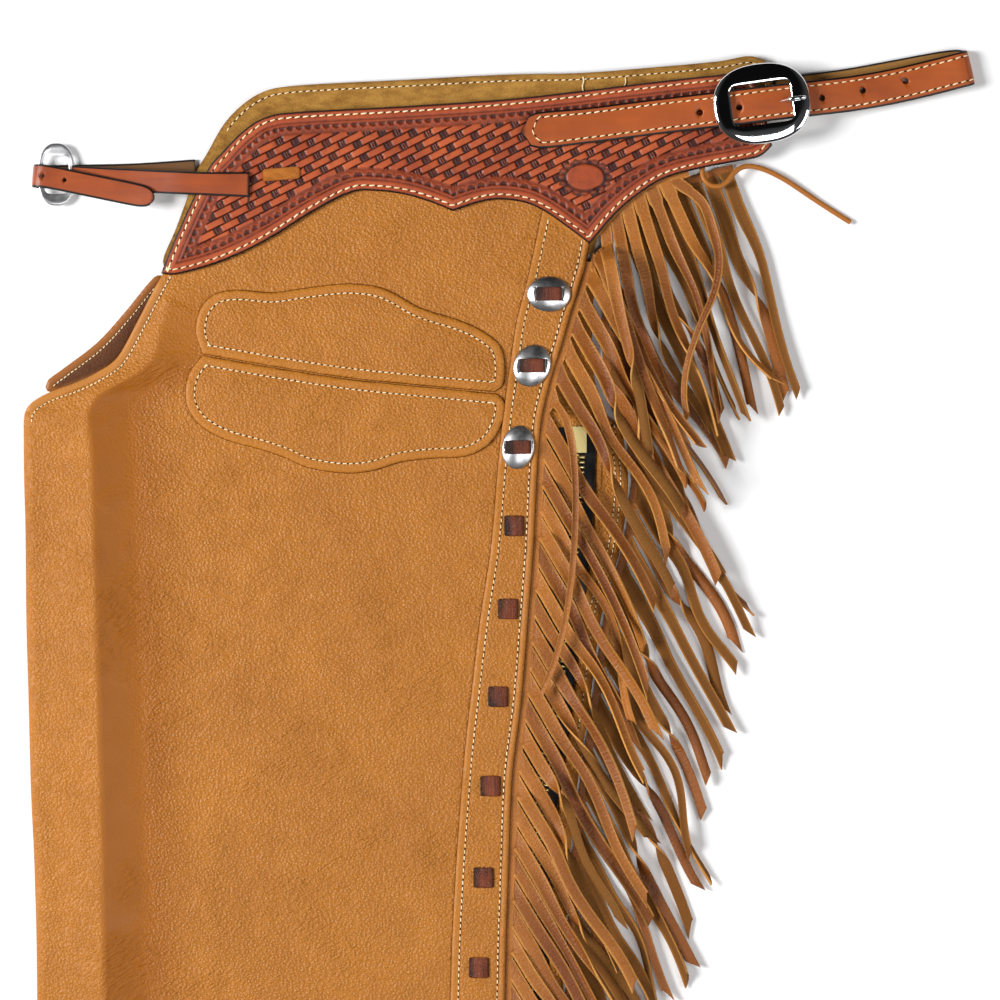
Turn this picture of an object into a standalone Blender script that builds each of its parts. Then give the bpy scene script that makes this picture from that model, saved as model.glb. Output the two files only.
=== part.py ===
"""A pair of fringed leather chaps, folded leg on leg and laid flat on a floor.

The world is in metres with +Z up, the waist towards +Y and the hem towards -Y. All sizes below are in
millimetres, in the pattern's own frame: x runs to the right, y runs up from the near leg's hem, and z is the
height over the floor. at() turns them into metres.
"""

import math
import random
from collections import namedtuple

import bmesh
import bpy
from mathutils import Matrix, Vector

# Where the pattern's x = 0, y = 0 lies in the world, so that the origin is under the middle of the part.
SHIFT_X = -0.27
SHIFT_Y = -463.75

GAP = 0.3  # between two pieces that touch on the real garment

# Heights of the flat-lying layers.
FAR_YOKE_TOP = 3.2
LINING_BOTTOM = FAR_YOKE_TOP + GAP
PILE_TOP = 6.6  # the three hidden layers of leg leather
LEG_BOTTOM = PILE_TOP + GAP
LEG_WALL = 2.0
LEG_TOP = LEG_BOTTOM + LEG_WALL
ON_LEG = LEG_TOP + GAP
POCKET_WALL = 1.8
STRIP_TOP = ON_LEG + 1.8
ON_STRIP = STRIP_TOP + GAP
YOKE_TOP = ON_LEG + 3.2
ON_YOKE = YOKE_TOP + GAP

# The zip lies in a recess between the concho strip and the back panel.
RECESS = 4.0
TAPE_TOP = RECESS + GAP + 1.0
CHAIN_TOP = TAPE_TOP + GAP + 2.0
CHAIN_HALF = 4.5
HEM_TO_SLIDER = 4.0
SLIDER_LONG = 20.0

# Fringe: where a backing ends inside and outside the edge of what it is sewn under.
BACKING_IN = 7.5
BACKING_OUT = 5.0
LEG_IN = 9.0  # how far inside the concho strip's right edge the front panel ends
STRAND_WALL = 1.6
SLIT = 0.7
DROP_SLOPE = 0.35
CELL = 1.5

Finish = namedtuple("Finish", "colour roughness metallic")
FINISHES = {
    "tan_leather": Finish((0.45, 0.20, 0.045), 0.55, 0.0),
    "suede": Finish((0.34, 0.18, 0.045), 0.9, 0.0),
    "tooled_leather": Finish((0.30, 0.09, 0.035), 0.5, 0.0),
    "strap_leather": Finish((0.42, 0.14, 0.045), 0.45, 0.0),
    "lace_leather": Finish((0.10, 0.025, 0.01), 0.5, 0.0),
    "chrome": Finish((0.8, 0.8, 0.82), 0.08, 1.0),
    "brushed_steel": Finish((0.55, 0.55, 0.56), 0.3, 1.0),
    "brass": Finish((0.75, 0.58, 0.28), 0.25, 1.0),
    "zip_tape": Finish((0.01, 0.01, 0.012), 0.85, 0.0),
}

# One row for each section across the leg, from the hem to the waist. x_left and y_left are on the left edge,
# x_strip and y_right on the concho strip's right edge, x_back on the fold of the back panel, x_chain on the
# zip's middle and x_edge on the back panel's turned edge. fold is 1 where the left edge is a fold and 0 where
# it is cut. crest, rise and foot give the soft ridge beside the left edge: how far in its crest is, how high,
# and how far in it ends.
Section = namedtuple(
    "Section", "y_left x_left y_right x_strip x_chain x_edge x_back fold crest rise foot"
)
SECTIONS = [
    Section(0.0, -298.5, 0.0, 2.5, 16.0, 28.0, 38.5, 1.0, 44.0, 5.0, 84.0),
    Section(120.0, -298.5, 120.0, 2.5, 16.0, 28.0, 38.5, 1.0, 46.0, 6.0, 84.0),
    Section(250.0, -299.5, 250.0, 2.5, 16.0, 28.0, 38.5, 1.0, 47.0, 7.0, 82.0),
    Section(341.0, -300.0, 341.0, 3.0, 17.5, 29.0, 39.5, 1.0, 46.0, 7.6, 81.0),
    Section(414.0, -300.5, 414.0, 4.0, 19.5, 32.0, 42.5, 1.0, 44.0, 8.2, 79.0),
    Section(476.5, -302.0, 476.5, 6.0, 23.0, 35.0, 45.5, 1.0, 45.0, 8.6, 78.0),
    Section(532.5, -304.5, 532.5, 8.0, 28.0, 40.5, 51.0, 1.0, 46.0, 8.2, 78.0),
    Section(589.0, -306.0, 589.0, 14.5, 36.5, 48.5, 59.5, 1.0, 46.0, 8.6, 79.0),
    Section(645.0, -307.5, 645.0, 19.0, 43.0, 55.0, 67.0, 1.0, 46.0, 8.6, 79.0),
    Section(699.0, -308.0, 692.0, 22.5, 48.0, 61.0, 80.0, 1.0, 45.0, 8.2, 78.0),
    Section(738.0, -309.0, 731.0, 24.3, 50.5, 63.0, 84.0, 1.0, 45.0, 8.0, 78.0),
    Section(767.0, -309.2, 766.0, 26.8, 52.5, 64.5, 80.0, 1.0, 43.0, 7.8, 77.0),
    Section(774.0, -308.6, 774.0, 28.0, 53.0, 60.0, 72.0, 0.6, 42.0, 7.5, 76.0),
    Section(780.5, -304.5, 781.0, 29.5, 53.0, 58.0, 68.0, 0.15, 40.0, 7.0, 74.0),
    Section(787.0, -294.5, 789.0, 31.5, 53.0, 57.0, 66.5, 0.0, 36.0, 6.5, 68.0),
    Section(794.5, -274.5, 801.5, 35.0, 53.0, 56.0, 64.5, 0.0, 30.0, 6.0, 58.0),
    Section(802.0, -259.5, 812.5, 38.5, 53.0, 55.0, 63.5, 0.0, 27.0, 5.5, 54.0),
    Section(809.0, -249.5, 822.0, 41.5, 53.0, 55.0, 63.5, 0.0, 24.0, 4.6, 49.0),
    Section(834.0, -235.0, 836.5, 45.5, 53.0, 55.5, 63.5, 0.0, 16.0, 3.2, 34.0),
    Section(849.5, -227.0, 853.0, 50.8, 57.0, 58.5, 65.0, 0.0, 12.0, 1.6, 26.0),
    Section(864.5, -219.0, 869.0, 55.6, 61.0, 62.0, 68.5, 0.0, 12.0, 0.0, 26.0),
]
# The front panel goes on under the yoke, to just inside the waist edge.
UNDER_YOKE = [
    Section(879.5, -210.0, 887.0, 60.3, 0, 0, 0, 0.0, 12.0, 0.0, 30.0),
    Section(899.0, -201.0, 903.5, 70.8, 0, 0, 0, 0.0, 12.0, 0.0, 30.0),
    Section(918.5, -192.5, 920.0, 86.3, 0, 0, 0, 0.0, 12.0, 0.0, 30.0),
    Section(936.0, -180.0, 952.0, 115.8, 0, 0, 0, 0.0, 12.0, 0.0, 30.0),
    Section(961.5, -154.0, 983.5, 148.3, 0, 0, 0, 0.0, 12.0, 0.0, 30.0),
]
ZIP_SECTIONS = 12  # the sections, from the hem up, that the zip and the back panel reach

# The wall where it rolls over the left edge: outer and inner points as (in from the edge, height).
Wrap = namedtuple("Wrap", "out_x out_z in_x in_z")
FOLD_WRAP = [
    Wrap(3.0, 4.3, 3.1, 6.3),
    Wrap(1.2, 4.7, 2.5, 6.45),
    Wrap(0.2, 5.8, 2.1, 6.9),
    Wrap(0.0, 7.2, 2.0, 7.5),
    Wrap(0.7, 8.9, 2.2, 8.0),
    Wrap(2.4, 10.3, 3.1, 8.5),
    Wrap(5.0, 11.4, 5.2, 9.4),
]
CUT_WRAP = [
    Wrap(0.3, 6.9, 1.2, 6.9),
    Wrap(0.1, 7.2, 1.7, 6.9),
    Wrap(0.0, 7.6, 2.2, 6.9),
    Wrap(0.0, 8.1, 2.7, 6.9),
    Wrap(0.4, 8.6, 3.2, 6.9),
    Wrap(1.5, 8.8, 3.6, 6.9),
    Wrap(5.0, 8.9, 5.2, 6.9),
]
SHOULDER = FOLD_WRAP[-1].out_z - LEG_TOP
WRAP_END = FOLD_WRAP[-1].out_x

# The hidden pile's left lip, as (in from the edge, height), for a folded and for a cut edge above it.
FOLD_LIP = [(4.4, 0.0), (3.0, 0.4), (2.2, 1.4), (2.2, 2.6), (2.9, 3.5), (4.0, 3.9)]
CUT_LIP = [(9.6, 0.0), (9.1, 0.4), (9.0, 1.4), (9.0, 2.6), (9.0, 3.5), (9.0, 3.9)]
FAR_LEG_IN = 8.4  # how far the far leg's crescent reaches under the near leg's cut edge

Point = namedtuple("Point", "x y kind")
YOKE = [
    Point(-219.5, 865.5, "corner"), Point(-208.5, 892.5, "smooth"), Point(-190.0, 931.5, "smooth"),
    Point(-179.5, 944.5, "smooth"), Point(-165.0, 959.0, "smooth"), Point(-150.0, 967.5, "smooth"),
    Point(-128.5, 970.5, "smooth"), Point(-63.0, 974.0, "smooth"), Point(3.0, 978.5, "smooth"),
    Point(53.0, 984.0, "smooth"), Point(98.0, 989.5, "smooth"), Point(138.5, 994.0, "smooth"),
    Point(155.5, 995.0, "smooth"), Point(167.0, 988.0, "smooth"), Point(172.0, 972.0, "smooth"),
    Point(177.5, 948.5, "corner"), Point(169.5, 941.5, "smooth"), Point(156.0, 938.5, "smooth"),
    Point(134.5, 934.5, "smooth"), Point(112.5, 929.0, "smooth"), Point(98.0, 922.0, "smooth"),
    Point(78.0, 906.5, "smooth"), Point(59.0, 886.5, "corner"), Point(45.0, 895.0, "smooth"),
    Point(30.0, 905.5, "smooth"), Point(16.5, 911.5, "smooth"), Point(0.0, 913.5, "smooth"),
    Point(-13.5, 911.5, "smooth"), Point(-30.0, 906.0, "corner"), Point(-46.5, 912.5, "smooth"),
    Point(-63.0, 917.0, "smooth"), Point(-80.0, 919.0, "smooth"), Point(-96.0, 918.0, "smooth"),
    Point(-121.0, 905.5, "smooth"), Point(-150.0, 887.5, "smooth"), Point(-179.5, 873.5, "smooth"),
    Point(-208.5, 865.0, "smooth"),
]
LINING = [
    Point(-216.5, 867.5, "corner"), Point(-218.5, 875.0, "smooth"), Point(-210.5, 894.0, "smooth"),
    Point(-203.5, 913.0, "smooth"), Point(-197.0, 931.5, "smooth"), Point(-189.5, 944.5, "smooth"),
    Point(-179.5, 962.0, "smooth"), Point(-167.5, 975.0, "smooth"), Point(-153.0, 984.0, "smooth"),
    Point(-136.0, 987.5, "smooth"), Point(-96.0, 990.0, "smooth"), Point(-63.0, 991.5, "smooth"),
    Point(3.0, 995.0, "smooth"), Point(52.5, 996.0, "smooth"), Point(98.0, 999.5, "smooth"),
    Point(141.5, 1003.5, "smooth"), Point(161.0, 1007.0, "smooth"), Point(169.5, 1005.5, "smooth"),
    Point(175.5, 1001.5, "smooth"), Point(178.0, 991.0, "smooth"), Point(174.0, 968.0, "smooth"),
    Point(166.5, 955.5, "smooth"), Point(130.5, 945.5, "smooth"), Point(84.0, 918.0, "smooth"),
    Point(68.0, 898.0, "smooth"), Point(61.0, 878.0, "corner"),
]
POCKET_UPPER = [
    Point(-192.5, 813.5, "corner"), Point(-197.0, 828.0, "smooth"), Point(-193.5, 843.0, "smooth"),
    Point(-184.0, 852.0, "smooth"), Point(-169.0, 854.5, "smooth"), Point(-147.5, 852.8, "smooth"),
    Point(-127.5, 855.5, "smooth"), Point(-101.0, 858.5, "smooth"), Point(-81.0, 857.0, "smooth"),
    Point(-67.5, 852.0, "smooth"), Point(-51.5, 843.0, "smooth"), Point(-28.0, 835.5, "smooth"),
    Point(-13.0, 829.0, "smooth"), Point(0.0, 819.0, "smooth"), Point(3.5, 806.5, "smooth"),
    Point(2.5, 794.0, "smooth"), Point(-3.0, 789.0, "corner"), Point(-28.0, 791.0, "smooth"),
    Point(-94.0, 797.5, "smooth"), Point(-144.0, 805.0, "smooth"),
]
POCKET_LOWER = [
    Point(-192.5, 812.0, "corner"), Point(-200.5, 801.5, "smooth"), Point(-203.5, 790.0, "smooth"),
    Point(-202.0, 778.0, "smooth"), Point(-193.5, 766.5, "smooth"), Point(-177.0, 757.5, "smooth"),
    Point(-155.5, 751.5, "smooth"), Point(-139.0, 746.0, "smooth"), Point(-124.0, 739.5, "smooth"),
    Point(-101.0, 736.0, "smooth"), Point(-82.5, 737.5, "smooth"), Point(-64.5, 743.0, "smooth"),
    Point(-44.5, 745.5, "smooth"), Point(-21.5, 747.0, "smooth"), Point(-6.5, 755.0, "smooth"),
    Point(1.5, 768.0, "smooth"), Point(3.5, 781.0, "smooth"), Point(-1.5, 787.0, "corner"),
    Point(-28.0, 789.5, "smooth"), Point(-94.0, 796.0, "smooth"), Point(-144.0, 803.5, "smooth"),
]
FAR_LEG_EDGE = [(-223.5, 864.5), (-230.0, 857.5), (-245.0, 839.0), (-262.0, 820.5), (-283.5, 804.0),
                (-294.0, 796.0), (-295.5, 789.5)]

# The concho strip's left edge as (x, y); its right edge is x_strip and y_right of the sections.
STRIP_LEFT = [(-32.5, 0.0), (-32.5, 250.0), (-32.0, 361.0), (-30.5, 426.5), (-28.0, 476.5), (-24.5, 526.0),
              (-22.0, 556.0), (-17.5, 595.5), (-12.0, 641.5), (-5.0, 688.5), (0.5, 751.5), (5.0, 789.0),
              (8.5, 814.0), (11.5, 834.0), (18.0, 858.5), (27.5, 902.5)]
STRIP_TOP_CUT = [(44.0, 892.0), (58.2, 884.2)]

Concho = namedtuple("Concho", "x y long_half short_half turn")
CONCHOS = [
    Concho(32.5, 852.0, 14.3, 11.6, 0.0),
    Concho(21.5, 805.5, 14.1, 11.9, 62.0),
    Concho(12.5, 752.5, 14.3, 10.6, 80.0),
]
CONCHO_RISE = 4.0
LACE_WALL = 1.2
Lace = namedtuple("Lace", "x y")
LACES = [Lace(10.0, 701.5), Lace(6.0, 647.5), Lace(-0.5, 590.5), Lace(-5.5, 532.5), Lace(-10.0, 473.0),
         Lace(-13.0, 414.5), Lace(-14.0, 357.0), Lace(-14.8, 299.5), Lace(-15.0, 242.0),
         Lace(-15.0, 184.5), Lace(-15.0, 127.0), Lace(-15.0, 69.5)]

# Straps: a row for each station, with its middle, its width and the direction of its length in the plan.
Station = namedtuple("Station", "x y z width heading")
BELT_WALL = 3.0
BELT_WIDE = 23.0
BELT = [
    Station(14.5, 957.3, 14.3, 2.0, 3.0), Station(18.0, 957.6, 14.3, 12.0, 4.0),
    Station(24.5, 958.0, 14.3, BELT_WIDE, 5.0), Station(59.0, 961.5, 14.3, BELT_WIDE, 7.0),
    Station(98.0, 966.5, 14.3, BELT_WIDE, 6.5), Station(126.0, 969.8, 15.0, BELT_WIDE, 7.0),
    Station(150.0, 972.5, 17.0, BELT_WIDE, 7.0), Station(172.0, 975.2, 17.0, BELT_WIDE, 7.0),
    Station(199.5, 978.5, 14.0, BELT_WIDE, 7.5), Station(229.0, 982.3, 9.0, BELT_WIDE, 9.0),
    Station(257.5, 987.5, 6.6, BELT_WIDE, 11.5), Station(284.5, 993.8, 6.8, BELT_WIDE, 13.0),
    Station(299.5, 997.6, 8.4, BELT_WIDE, 13.0), Station(304.1, 998.8, 7.6, BELT_WIDE, 13.0),
    Station(305.7, 999.4, 5.2, BELT_WIDE, 13.0), Station(304.1, 999.8, 2.6, BELT_WIDE, 13.0),
    Station(299.5, 1000.2, 1.8, BELT_WIDE, 12.0), Station(286.5, 998.6, 1.8, BELT_WIDE, 11.0),
    Station(257.5, 993.2, 1.8, BELT_WIDE, 10.0), Station(229.0, 988.0, 1.8, BELT_WIDE, 8.5),
    Station(204.0, 984.6, 1.8, BELT_WIDE, 7.5), Station(180.0, 981.8, 1.8, BELT_WIDE, 6.5),
]
STRAP_WALL = 2.0
STRAP_WIDE = 15.0
FRONT_STRAP = [
    Station(-162.5, 923.0, 13.7, STRAP_WIDE + 1.2, -1.0), Station(-190.0, 923.6, 13.7, STRAP_WIDE, -1.0),
    Station(-206.0, 924.2, 13.3, STRAP_WIDE, -2.0), Station(-222.0, 925.0, 11.2, STRAP_WIDE, -3.0),
    Station(-240.0, 926.0, 9.2, STRAP_WIDE, -3.0), Station(-258.0, 927.0, 8.0, STRAP_WIDE, -3.0),
    Station(-278.0, 928.3, 7.3, STRAP_WIDE, -3.0),
]
BILLET = [
    Station(-197.5, 932.6, 1.6, STRAP_WIDE, 3.5), Station(-237.0, 930.0, 1.6, STRAP_WIDE, 3.0),
    Station(-270.0, 929.2, 1.6, STRAP_WIDE, 1.0), Station(-296.9, 928.8, 1.6, STRAP_WIDE, -1.0),
    Station(-300.9, 928.9, 3.4, STRAP_WIDE, -3.0), Station(-302.2, 929.0, 6.95, STRAP_WIDE, -5.0),
    Station(-300.9, 929.0, 10.5, STRAP_WIDE, -7.0), Station(-296.9, 928.7, 12.3, STRAP_WIDE, -9.0),
    Station(-285.0, 926.6, 12.1, STRAP_WIDE, -11.0), Station(-270.0, 923.5, 11.6, STRAP_WIDE, -11.5),
    Station(-255.0, 920.4, 11.7, STRAP_WIDE, -11.5), Station(-240.0, 917.3, 12.5, STRAP_WIDE, -11.5),
    Station(-231.0, 915.4, 13.4, STRAP_WIDE - 1.0, -11.5), Station(-226.0, 914.4, 14.0, 10.0, -11.5),
    Station(-223.8, 914.0, 14.3, 3.0, -11.5),
]

# Buckles, as rings round a window.
BELT_BUCKLE_AT = (170.3, 975.2)
BELT_BUCKLE_TURN = 8.0
BELT_BUCKLE_HALF = (31.5, 26.0)
BELT_WINDOW_HALF = (19.8, 13.4)
BELT_BUCKLE_WALL = 3.6
BELT_BUCKLE_BOTTOM = 18.9
HEEL_BAR = 2.2
HEEL_BAR_IN = 17.6  # from the buckle's middle to its bar
SMALL_BUCKLE_AT = (-287.9, 930.0)
SMALL_BUCKLE_HALF = (12.0, 20.5)
SMALL_WINDOW_HALF = (8.2, 12.6)
SMALL_BUCKLE_WALL = 2.2
SMALL_BUCKLE_HIGH = (7.0, 4.6)  # the middle's height at its left and at its right

KEEPER = [(-153.5, 933.0), (-129.5, 935.0), (-129.5, 927.0), (-153.5, 925.0)]
KEEPER_WALL = 0.9

# The thong's free run, chosen by hand, as (x, y, z).
THONG_RADIUS = 1.6
THONG = [(133.5, 939.0, 6.6), (132.2, 932.5, 7.2), (133.6, 926.4, 8.4), (138.2, 922.6, 9.2), (144.0, 922.4, 9.2),
         (148.8, 925.6, 8.8), (152.6, 930.6, 8.0), (157.6, 934.4, 7.0), (163.8, 935.4, 6.2), (170.4, 934.0, 5.4),
         (178.0, 931.0, 4.6), (186.4, 926.6, 3.6), (195.2, 921.0, 2.8), (204.4, 914.8, 2.2), (213.2, 909.0, 2.0),
         (221.4, 903.8, 2.0), (229.0, 899.0, 2.0)]
THONG_STEP = 7.0  # between the points of the thong's solid

# Zip furniture.
BOX_WIDE, BOX_LONG, BOX_HIGH = 10.0, 17.0, 3.2
SLIDER_WIDE, SLIDER_HIGH = 12.0, 4.2
LUG_GAP, LUG_THICK, LUG_RADIUS, LUG_RISE = 6.4, 1.4, 1.9, 2.2
PIN_RADIUS, EYE_INSIDE, EYE_RADIUS = 0.6, 0.9, 1.8
PULL_WIDE, PULL_LONG, PULL_THICK = 5.8, 28.0, 1.4

# Fringe groups. Each runs up its root line, and its strands leave to the right of that way. first and last
# give the strands' heading at the root in degrees, at the line's start and end, and turn what they add on
# the way to the tip.
Fringe = namedtuple(
    "Fringe", "name finish root_z pitch width length first last turn spread clump roll seed"
)
FRINGES = [
    Fringe("fringe_far_leg", "suede", 1.4, 17.6, 9.4, 141.0, -62.0, -58.0, -4.0, 3.0, 2.5, 12.0, 11),
    Fringe("fringe_far_yoke", "suede", 1.4, 10.9, 9.4, 152.0, -66.0, -70.0, -1.0, 2.0, 1.5, 8.0, 23),
    Fringe("fringe_near_yoke", "tan_leather", 8.0, 10.4, 8.2, 150.0, -84.0, -63.0, 4.0, 5.0, 4.0, 26.0, 37),
    Fringe("fringe_near_leg", "tan_leather", 8.0, 16.9, 9.3, 150.0, -57.0, -60.0, -3.0, 4.0, 3.0, 30.0, 58),
]
CLUMP_STEP = 1.25  # how far, in radians, each strand is on from its neighbour in the swing that gathers strands
# Strands that stray: the fringe, the strand's number from the start of its root line, its width and its route.
Stray = namedtuple("Stray", "fringe number width route")
STRAYS = [
    Stray("fringe_near_leg", 42, 5.2, [(43.0, 771.0), (47.6, 752.0), (49.6, 722.0), (48.8, 690.0), (46.6, 664.0),
                                       (42.2, 636.0), (35.6, 612.0), (29.6, 598.0), (26.0, 590.0)]),
    Stray("fringe_near_yoke", 6, 6.6, [(132.5, 911.0), (139.0, 893.0), (143.0, 874.0), (140.0, 853.0),
                                       (130.0, 829.0), (122.5, 806.0), (120.5, 786.0), (123.0, 770.0)]),
]
FAR_LEG_ROOT = [(44.5, 30.0), (44.5, 250.0), (45.5, 341.0), (48.5, 414.0), (51.5, 476.5), (57.0, 532.5),
                (65.5, 589.0), (73.5, 645.0), (86.5, 692.0), (91.0, 731.0), (86.5, 766.0), (79.5, 774.0),
                (74.5, 789.0), (71.0, 822.0), (72.5, 853.0), (76.5, 872.0)]
FAR_YOKE_ROOT = [(80.5, 889.0), (92.5, 905.0), (112.5, 919.0), (138.5, 928.5), (153.5, 932.5)]
NEAR_YOKE_ROOT = [(66.6, 882.8), (85.0, 901.0), (98.0, 911.0), (112.5, 918.0), (132.0, 924.5)]
NEAR_LEG_ROOT_FIRST = 66.0  # how far over the hem the near leg's fringe starts, clear of the zip's pull
NEAR_LEG_ROOT_END = (64.5, 881.0)
RING_AT = (0.0, 10.0, 26.0, 48.0, 72.0, 97.0, 122.0, 148.0, 174.0)  # then the tip
SAMPLE = 4.0


def at(x, y, z):
    """The world position, in metres, of a point of the pattern."""
    return Vector(((x + SHIFT_X) / 1000, (y + SHIFT_Y) / 1000, z / 1000))


def material(name):
    """The material of this name, made from its finish the first time."""
    found = bpy.data.materials.get(name)
    if found:
        return found
    made = bpy.data.materials.new(name)
    made.use_nodes = True
    finish = FINISHES[name]
    shader = made.node_tree.nodes["Principled BSDF"]
    shader.inputs["Base Color"].default_value = (*finish.colour, 1.0)
    shader.inputs["Roughness"].default_value = finish.roughness
    shader.inputs["Metallic"].default_value = finish.metallic
    made.diffuse_color = (*finish.colour, 1.0)
    return made


def solid(name, points, faces, finish):
    """A closed mesh object from points in millimetres, with its faces turned outwards."""
    mesh = bpy.data.meshes.new(name)
    mesh.from_pydata([at(*p) for p in points], [], faces)
    shape = bmesh.new()
    shape.from_mesh(mesh)
    bmesh.ops.recalc_face_normals(shape, faces=shape.faces)
    shape.to_mesh(mesh)
    shape.free()
    mesh.materials.append(material(finish))
    made = bpy.data.objects.new(name, mesh)
    bpy.context.scene.collection.objects.link(made)
    return made


def loft(name, loops, finish, strip_caps=False):
    """Joins closed loops of the same length, one after the other, and caps both ends."""
    count = len(loops[0])
    points = [p for loop in loops for p in loop]
    faces = []
    for i in range(len(loops) - 1):
        for j in range(count):
            k = (j + 1) % count
            faces.append((i * count + j, i * count + k, (i + 1) * count + k, (i + 1) * count + j))
    for base in (0, (len(loops) - 1) * count):
        if strip_caps:
            for j in range(count // 2 - 1):
                faces.append((base + j, base + j + 1, base + count - 2 - j, base + count - 1 - j))
        else:
            faces.append(tuple(range(base, base + count)))
    return solid(name, points, faces, finish)


def smooth_outline(rows, steps=3):
    """The outline as (x, y), with Catmull-Rom curves between the rows and sharp corners kept."""
    count = len(rows)
    made = []
    for i, row in enumerate(rows):
        after = rows[(i + 1) % count]
        before = rows[i - 1] if row.kind == "smooth" else row
        beyond = rows[(i + 2) % count] if after.kind == "smooth" else after
        for k in range(steps):
            t = k / steps
            made.append(tuple(
                catmull(before[axis], row[axis], after[axis], beyond[axis], t) for axis in (0, 1)
            ))
    return made


def catmull(a, b, c, d, t):
    """The Catmull-Rom curve from b to c."""
    return 0.5 * (2 * b + (c - a) * t + (2 * a - 5 * b + 4 * c - d) * t * t + (3 * b - a - 3 * c + d) * t ** 3)


def inset(outline, amount):
    """The outline moved in by this amount, for an outline that runs clockwise or anticlockwise."""
    count = len(outline)
    area = sum(
        outline[i][0] * outline[(i + 1) % count][1] - outline[(i + 1) % count][0] * outline[i][1]
        for i in range(count)
    )
    side = 1 if area > 0 else -1
    moved = []
    for i, (x, y) in enumerate(outline):
        before, after = outline[i - 1], outline[(i + 1) % count]
        normals = []
        for a, b in ((before, (x, y)), ((x, y), after)):
            way = math.hypot(b[0] - a[0], b[1] - a[1])
            normals.append((-(b[1] - a[1]) / way * side, (b[0] - a[0]) / way * side))
        nx, ny = normals[0][0] + normals[1][0], normals[0][1] + normals[1][1]
        size = max(math.hypot(nx, ny), 1.2)
        moved.append((x + 2 * amount * nx / size ** 2, y + 2 * amount * ny / size ** 2))
    return moved


def slab(name, outline, low, high, finish, soft=0.5):
    """A flat piece of leather with its upper edge rounded off by the amount soft."""
    upper = inset(outline, soft)
    loops = [
        [(x, y, low) for x, y in outline],
        [(x, y, high - soft) for x, y in outline],
        [(x, y, high) for x, y in upper],
    ]
    return loft(name, loops, finish)


def ribbon(name, stations, wall, finish):
    """A strap through its stations, as wide as each says and lying square to its own run."""
    loops = []
    for i, s in enumerate(stations):
        before, after = stations[max(i - 1, 0)], stations[min(i + 1, len(stations) - 1)]
        along = Vector((after.x - before.x, after.y - before.y, after.z - before.z)).normalized()
        across = Vector((-math.sin(math.radians(s.heading)), math.cos(math.radians(s.heading)), 0.0))
        up = along.cross(across).normalized() * (wall / 2)
        across = across * (s.width / 2)
        middle = Vector((s.x, s.y, s.z))
        loops.append([
            tuple(middle + across + up), tuple(middle - across + up),
            tuple(middle - across - up), tuple(middle + across - up),
        ])
    return loft(name, loops, finish)


def unite(target, *others):
    """Joins the other objects to the target with exact Booleans and removes them."""
    combine(target, others, "UNION")


def cut(target, *others):
    """Cuts the other objects out of the target and removes them."""
    combine(target, others, "DIFFERENCE")


def combine(target, others, operation):
    """Applies one Boolean for each of the other objects."""
    for other in others:
        step = target.modifiers.new(operation.lower(), "BOOLEAN")
        step.operation = operation
        step.object = other
        step.solver = "EXACT"
        bpy.context.view_layer.update()
        graph = bpy.context.evaluated_depsgraph_get()
        result = bpy.data.meshes.new_from_object(target.evaluated_get(graph))
        target.modifiers.remove(step)
        target.data = result
        bpy.data.objects.remove(other)


def block(name, low, high, finish):
    """A box between two corners."""
    corners = [
        [(low[0], low[1], z), (high[0], low[1], z), (high[0], high[1], z), (low[0], high[1], z)]
        for z in (low[2], high[2])
    ]
    return loft(name, corners, finish)


def rod(name, middle, radius, x_low, x_high, finish, sides=20):
    """A cylinder along X round the middle (y, z)."""
    loops = []
    for x in (x_low, x_high):
        loops.append([
            (x, middle[0] + radius * math.cos(2 * math.pi * k / sides),
             middle[1] + radius * math.sin(2 * math.pi * k / sides))
            for k in range(sides)
        ])
    return loft(name, loops, finish)


def ridge(section, inward):
    """How far the soft ridge lifts the leg's wall at this distance in from its left edge."""
    shoulder = SHOULDER * section.fold
    if inward <= WRAP_END:
        return shoulder
    if inward < section.crest:
        way = math.sin(math.pi / 2 * (inward - WRAP_END) / (section.crest - WRAP_END))
        return shoulder + (section.rise - shoulder) * way if section.rise > shoulder else shoulder
    if inward < section.foot:
        way = (inward - section.crest) / (section.foot - section.crest)
        return max(section.rise, shoulder) * (1 + math.cos(math.pi * way)) / 2
    return 0.0


def row_y(section, x):
    """The section's y at this x: it runs straight from its left end to the strip, then level."""
    way = min((x - section.x_left) / (section.x_strip - section.x_left), 1.0)
    return section.y_left + (section.y_right - section.y_left) * way


def leg_columns(section):
    """The wall's points across the leg as (x, outer z, inner x, inner z)."""
    columns = []
    for fold, edge in zip(FOLD_WRAP, CUT_WRAP):
        mixed = [f * section.fold + e * (1 - section.fold) for f, e in zip(fold, edge)]
        columns.append((section.x_left + mixed[0], mixed[1], section.x_left + mixed[2], mixed[3]))
    front_end = section.x_strip - LEG_IN
    span = front_end - section.x_left
    inwards = [WRAP_END + (section.crest - WRAP_END) * t for t in (0.25, 0.5, 0.75, 1.0)]
    inwards += [section.crest + (section.foot - section.crest) * t for t in (0.2, 0.4, 0.6, 0.8, 1.0)]
    inwards += [(section.foot + span) / 2, span]
    for inward in inwards:
        lift = ridge(section, inward)
        x = section.x_left + inward
        columns.append((x, LEG_TOP + lift, x, LEG_BOTTOM + lift))
    return columns


def near_leg():
    """The near leg's front panel: one wall that rolls over the left fold and rises in a soft ridge."""
    loops = []
    for section in SECTIONS + UNDER_YOKE:
        columns = leg_columns(section)
        outer = [(x, row_y(section, x), z) for x, z, _, _ in columns]
        inner = [(x, row_y(section, x), z) for _, _, x, z in columns]
        loops.append(outer + inner[::-1])
    return loft("near_leg", loops, "tan_leather", strip_caps=True)


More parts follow.
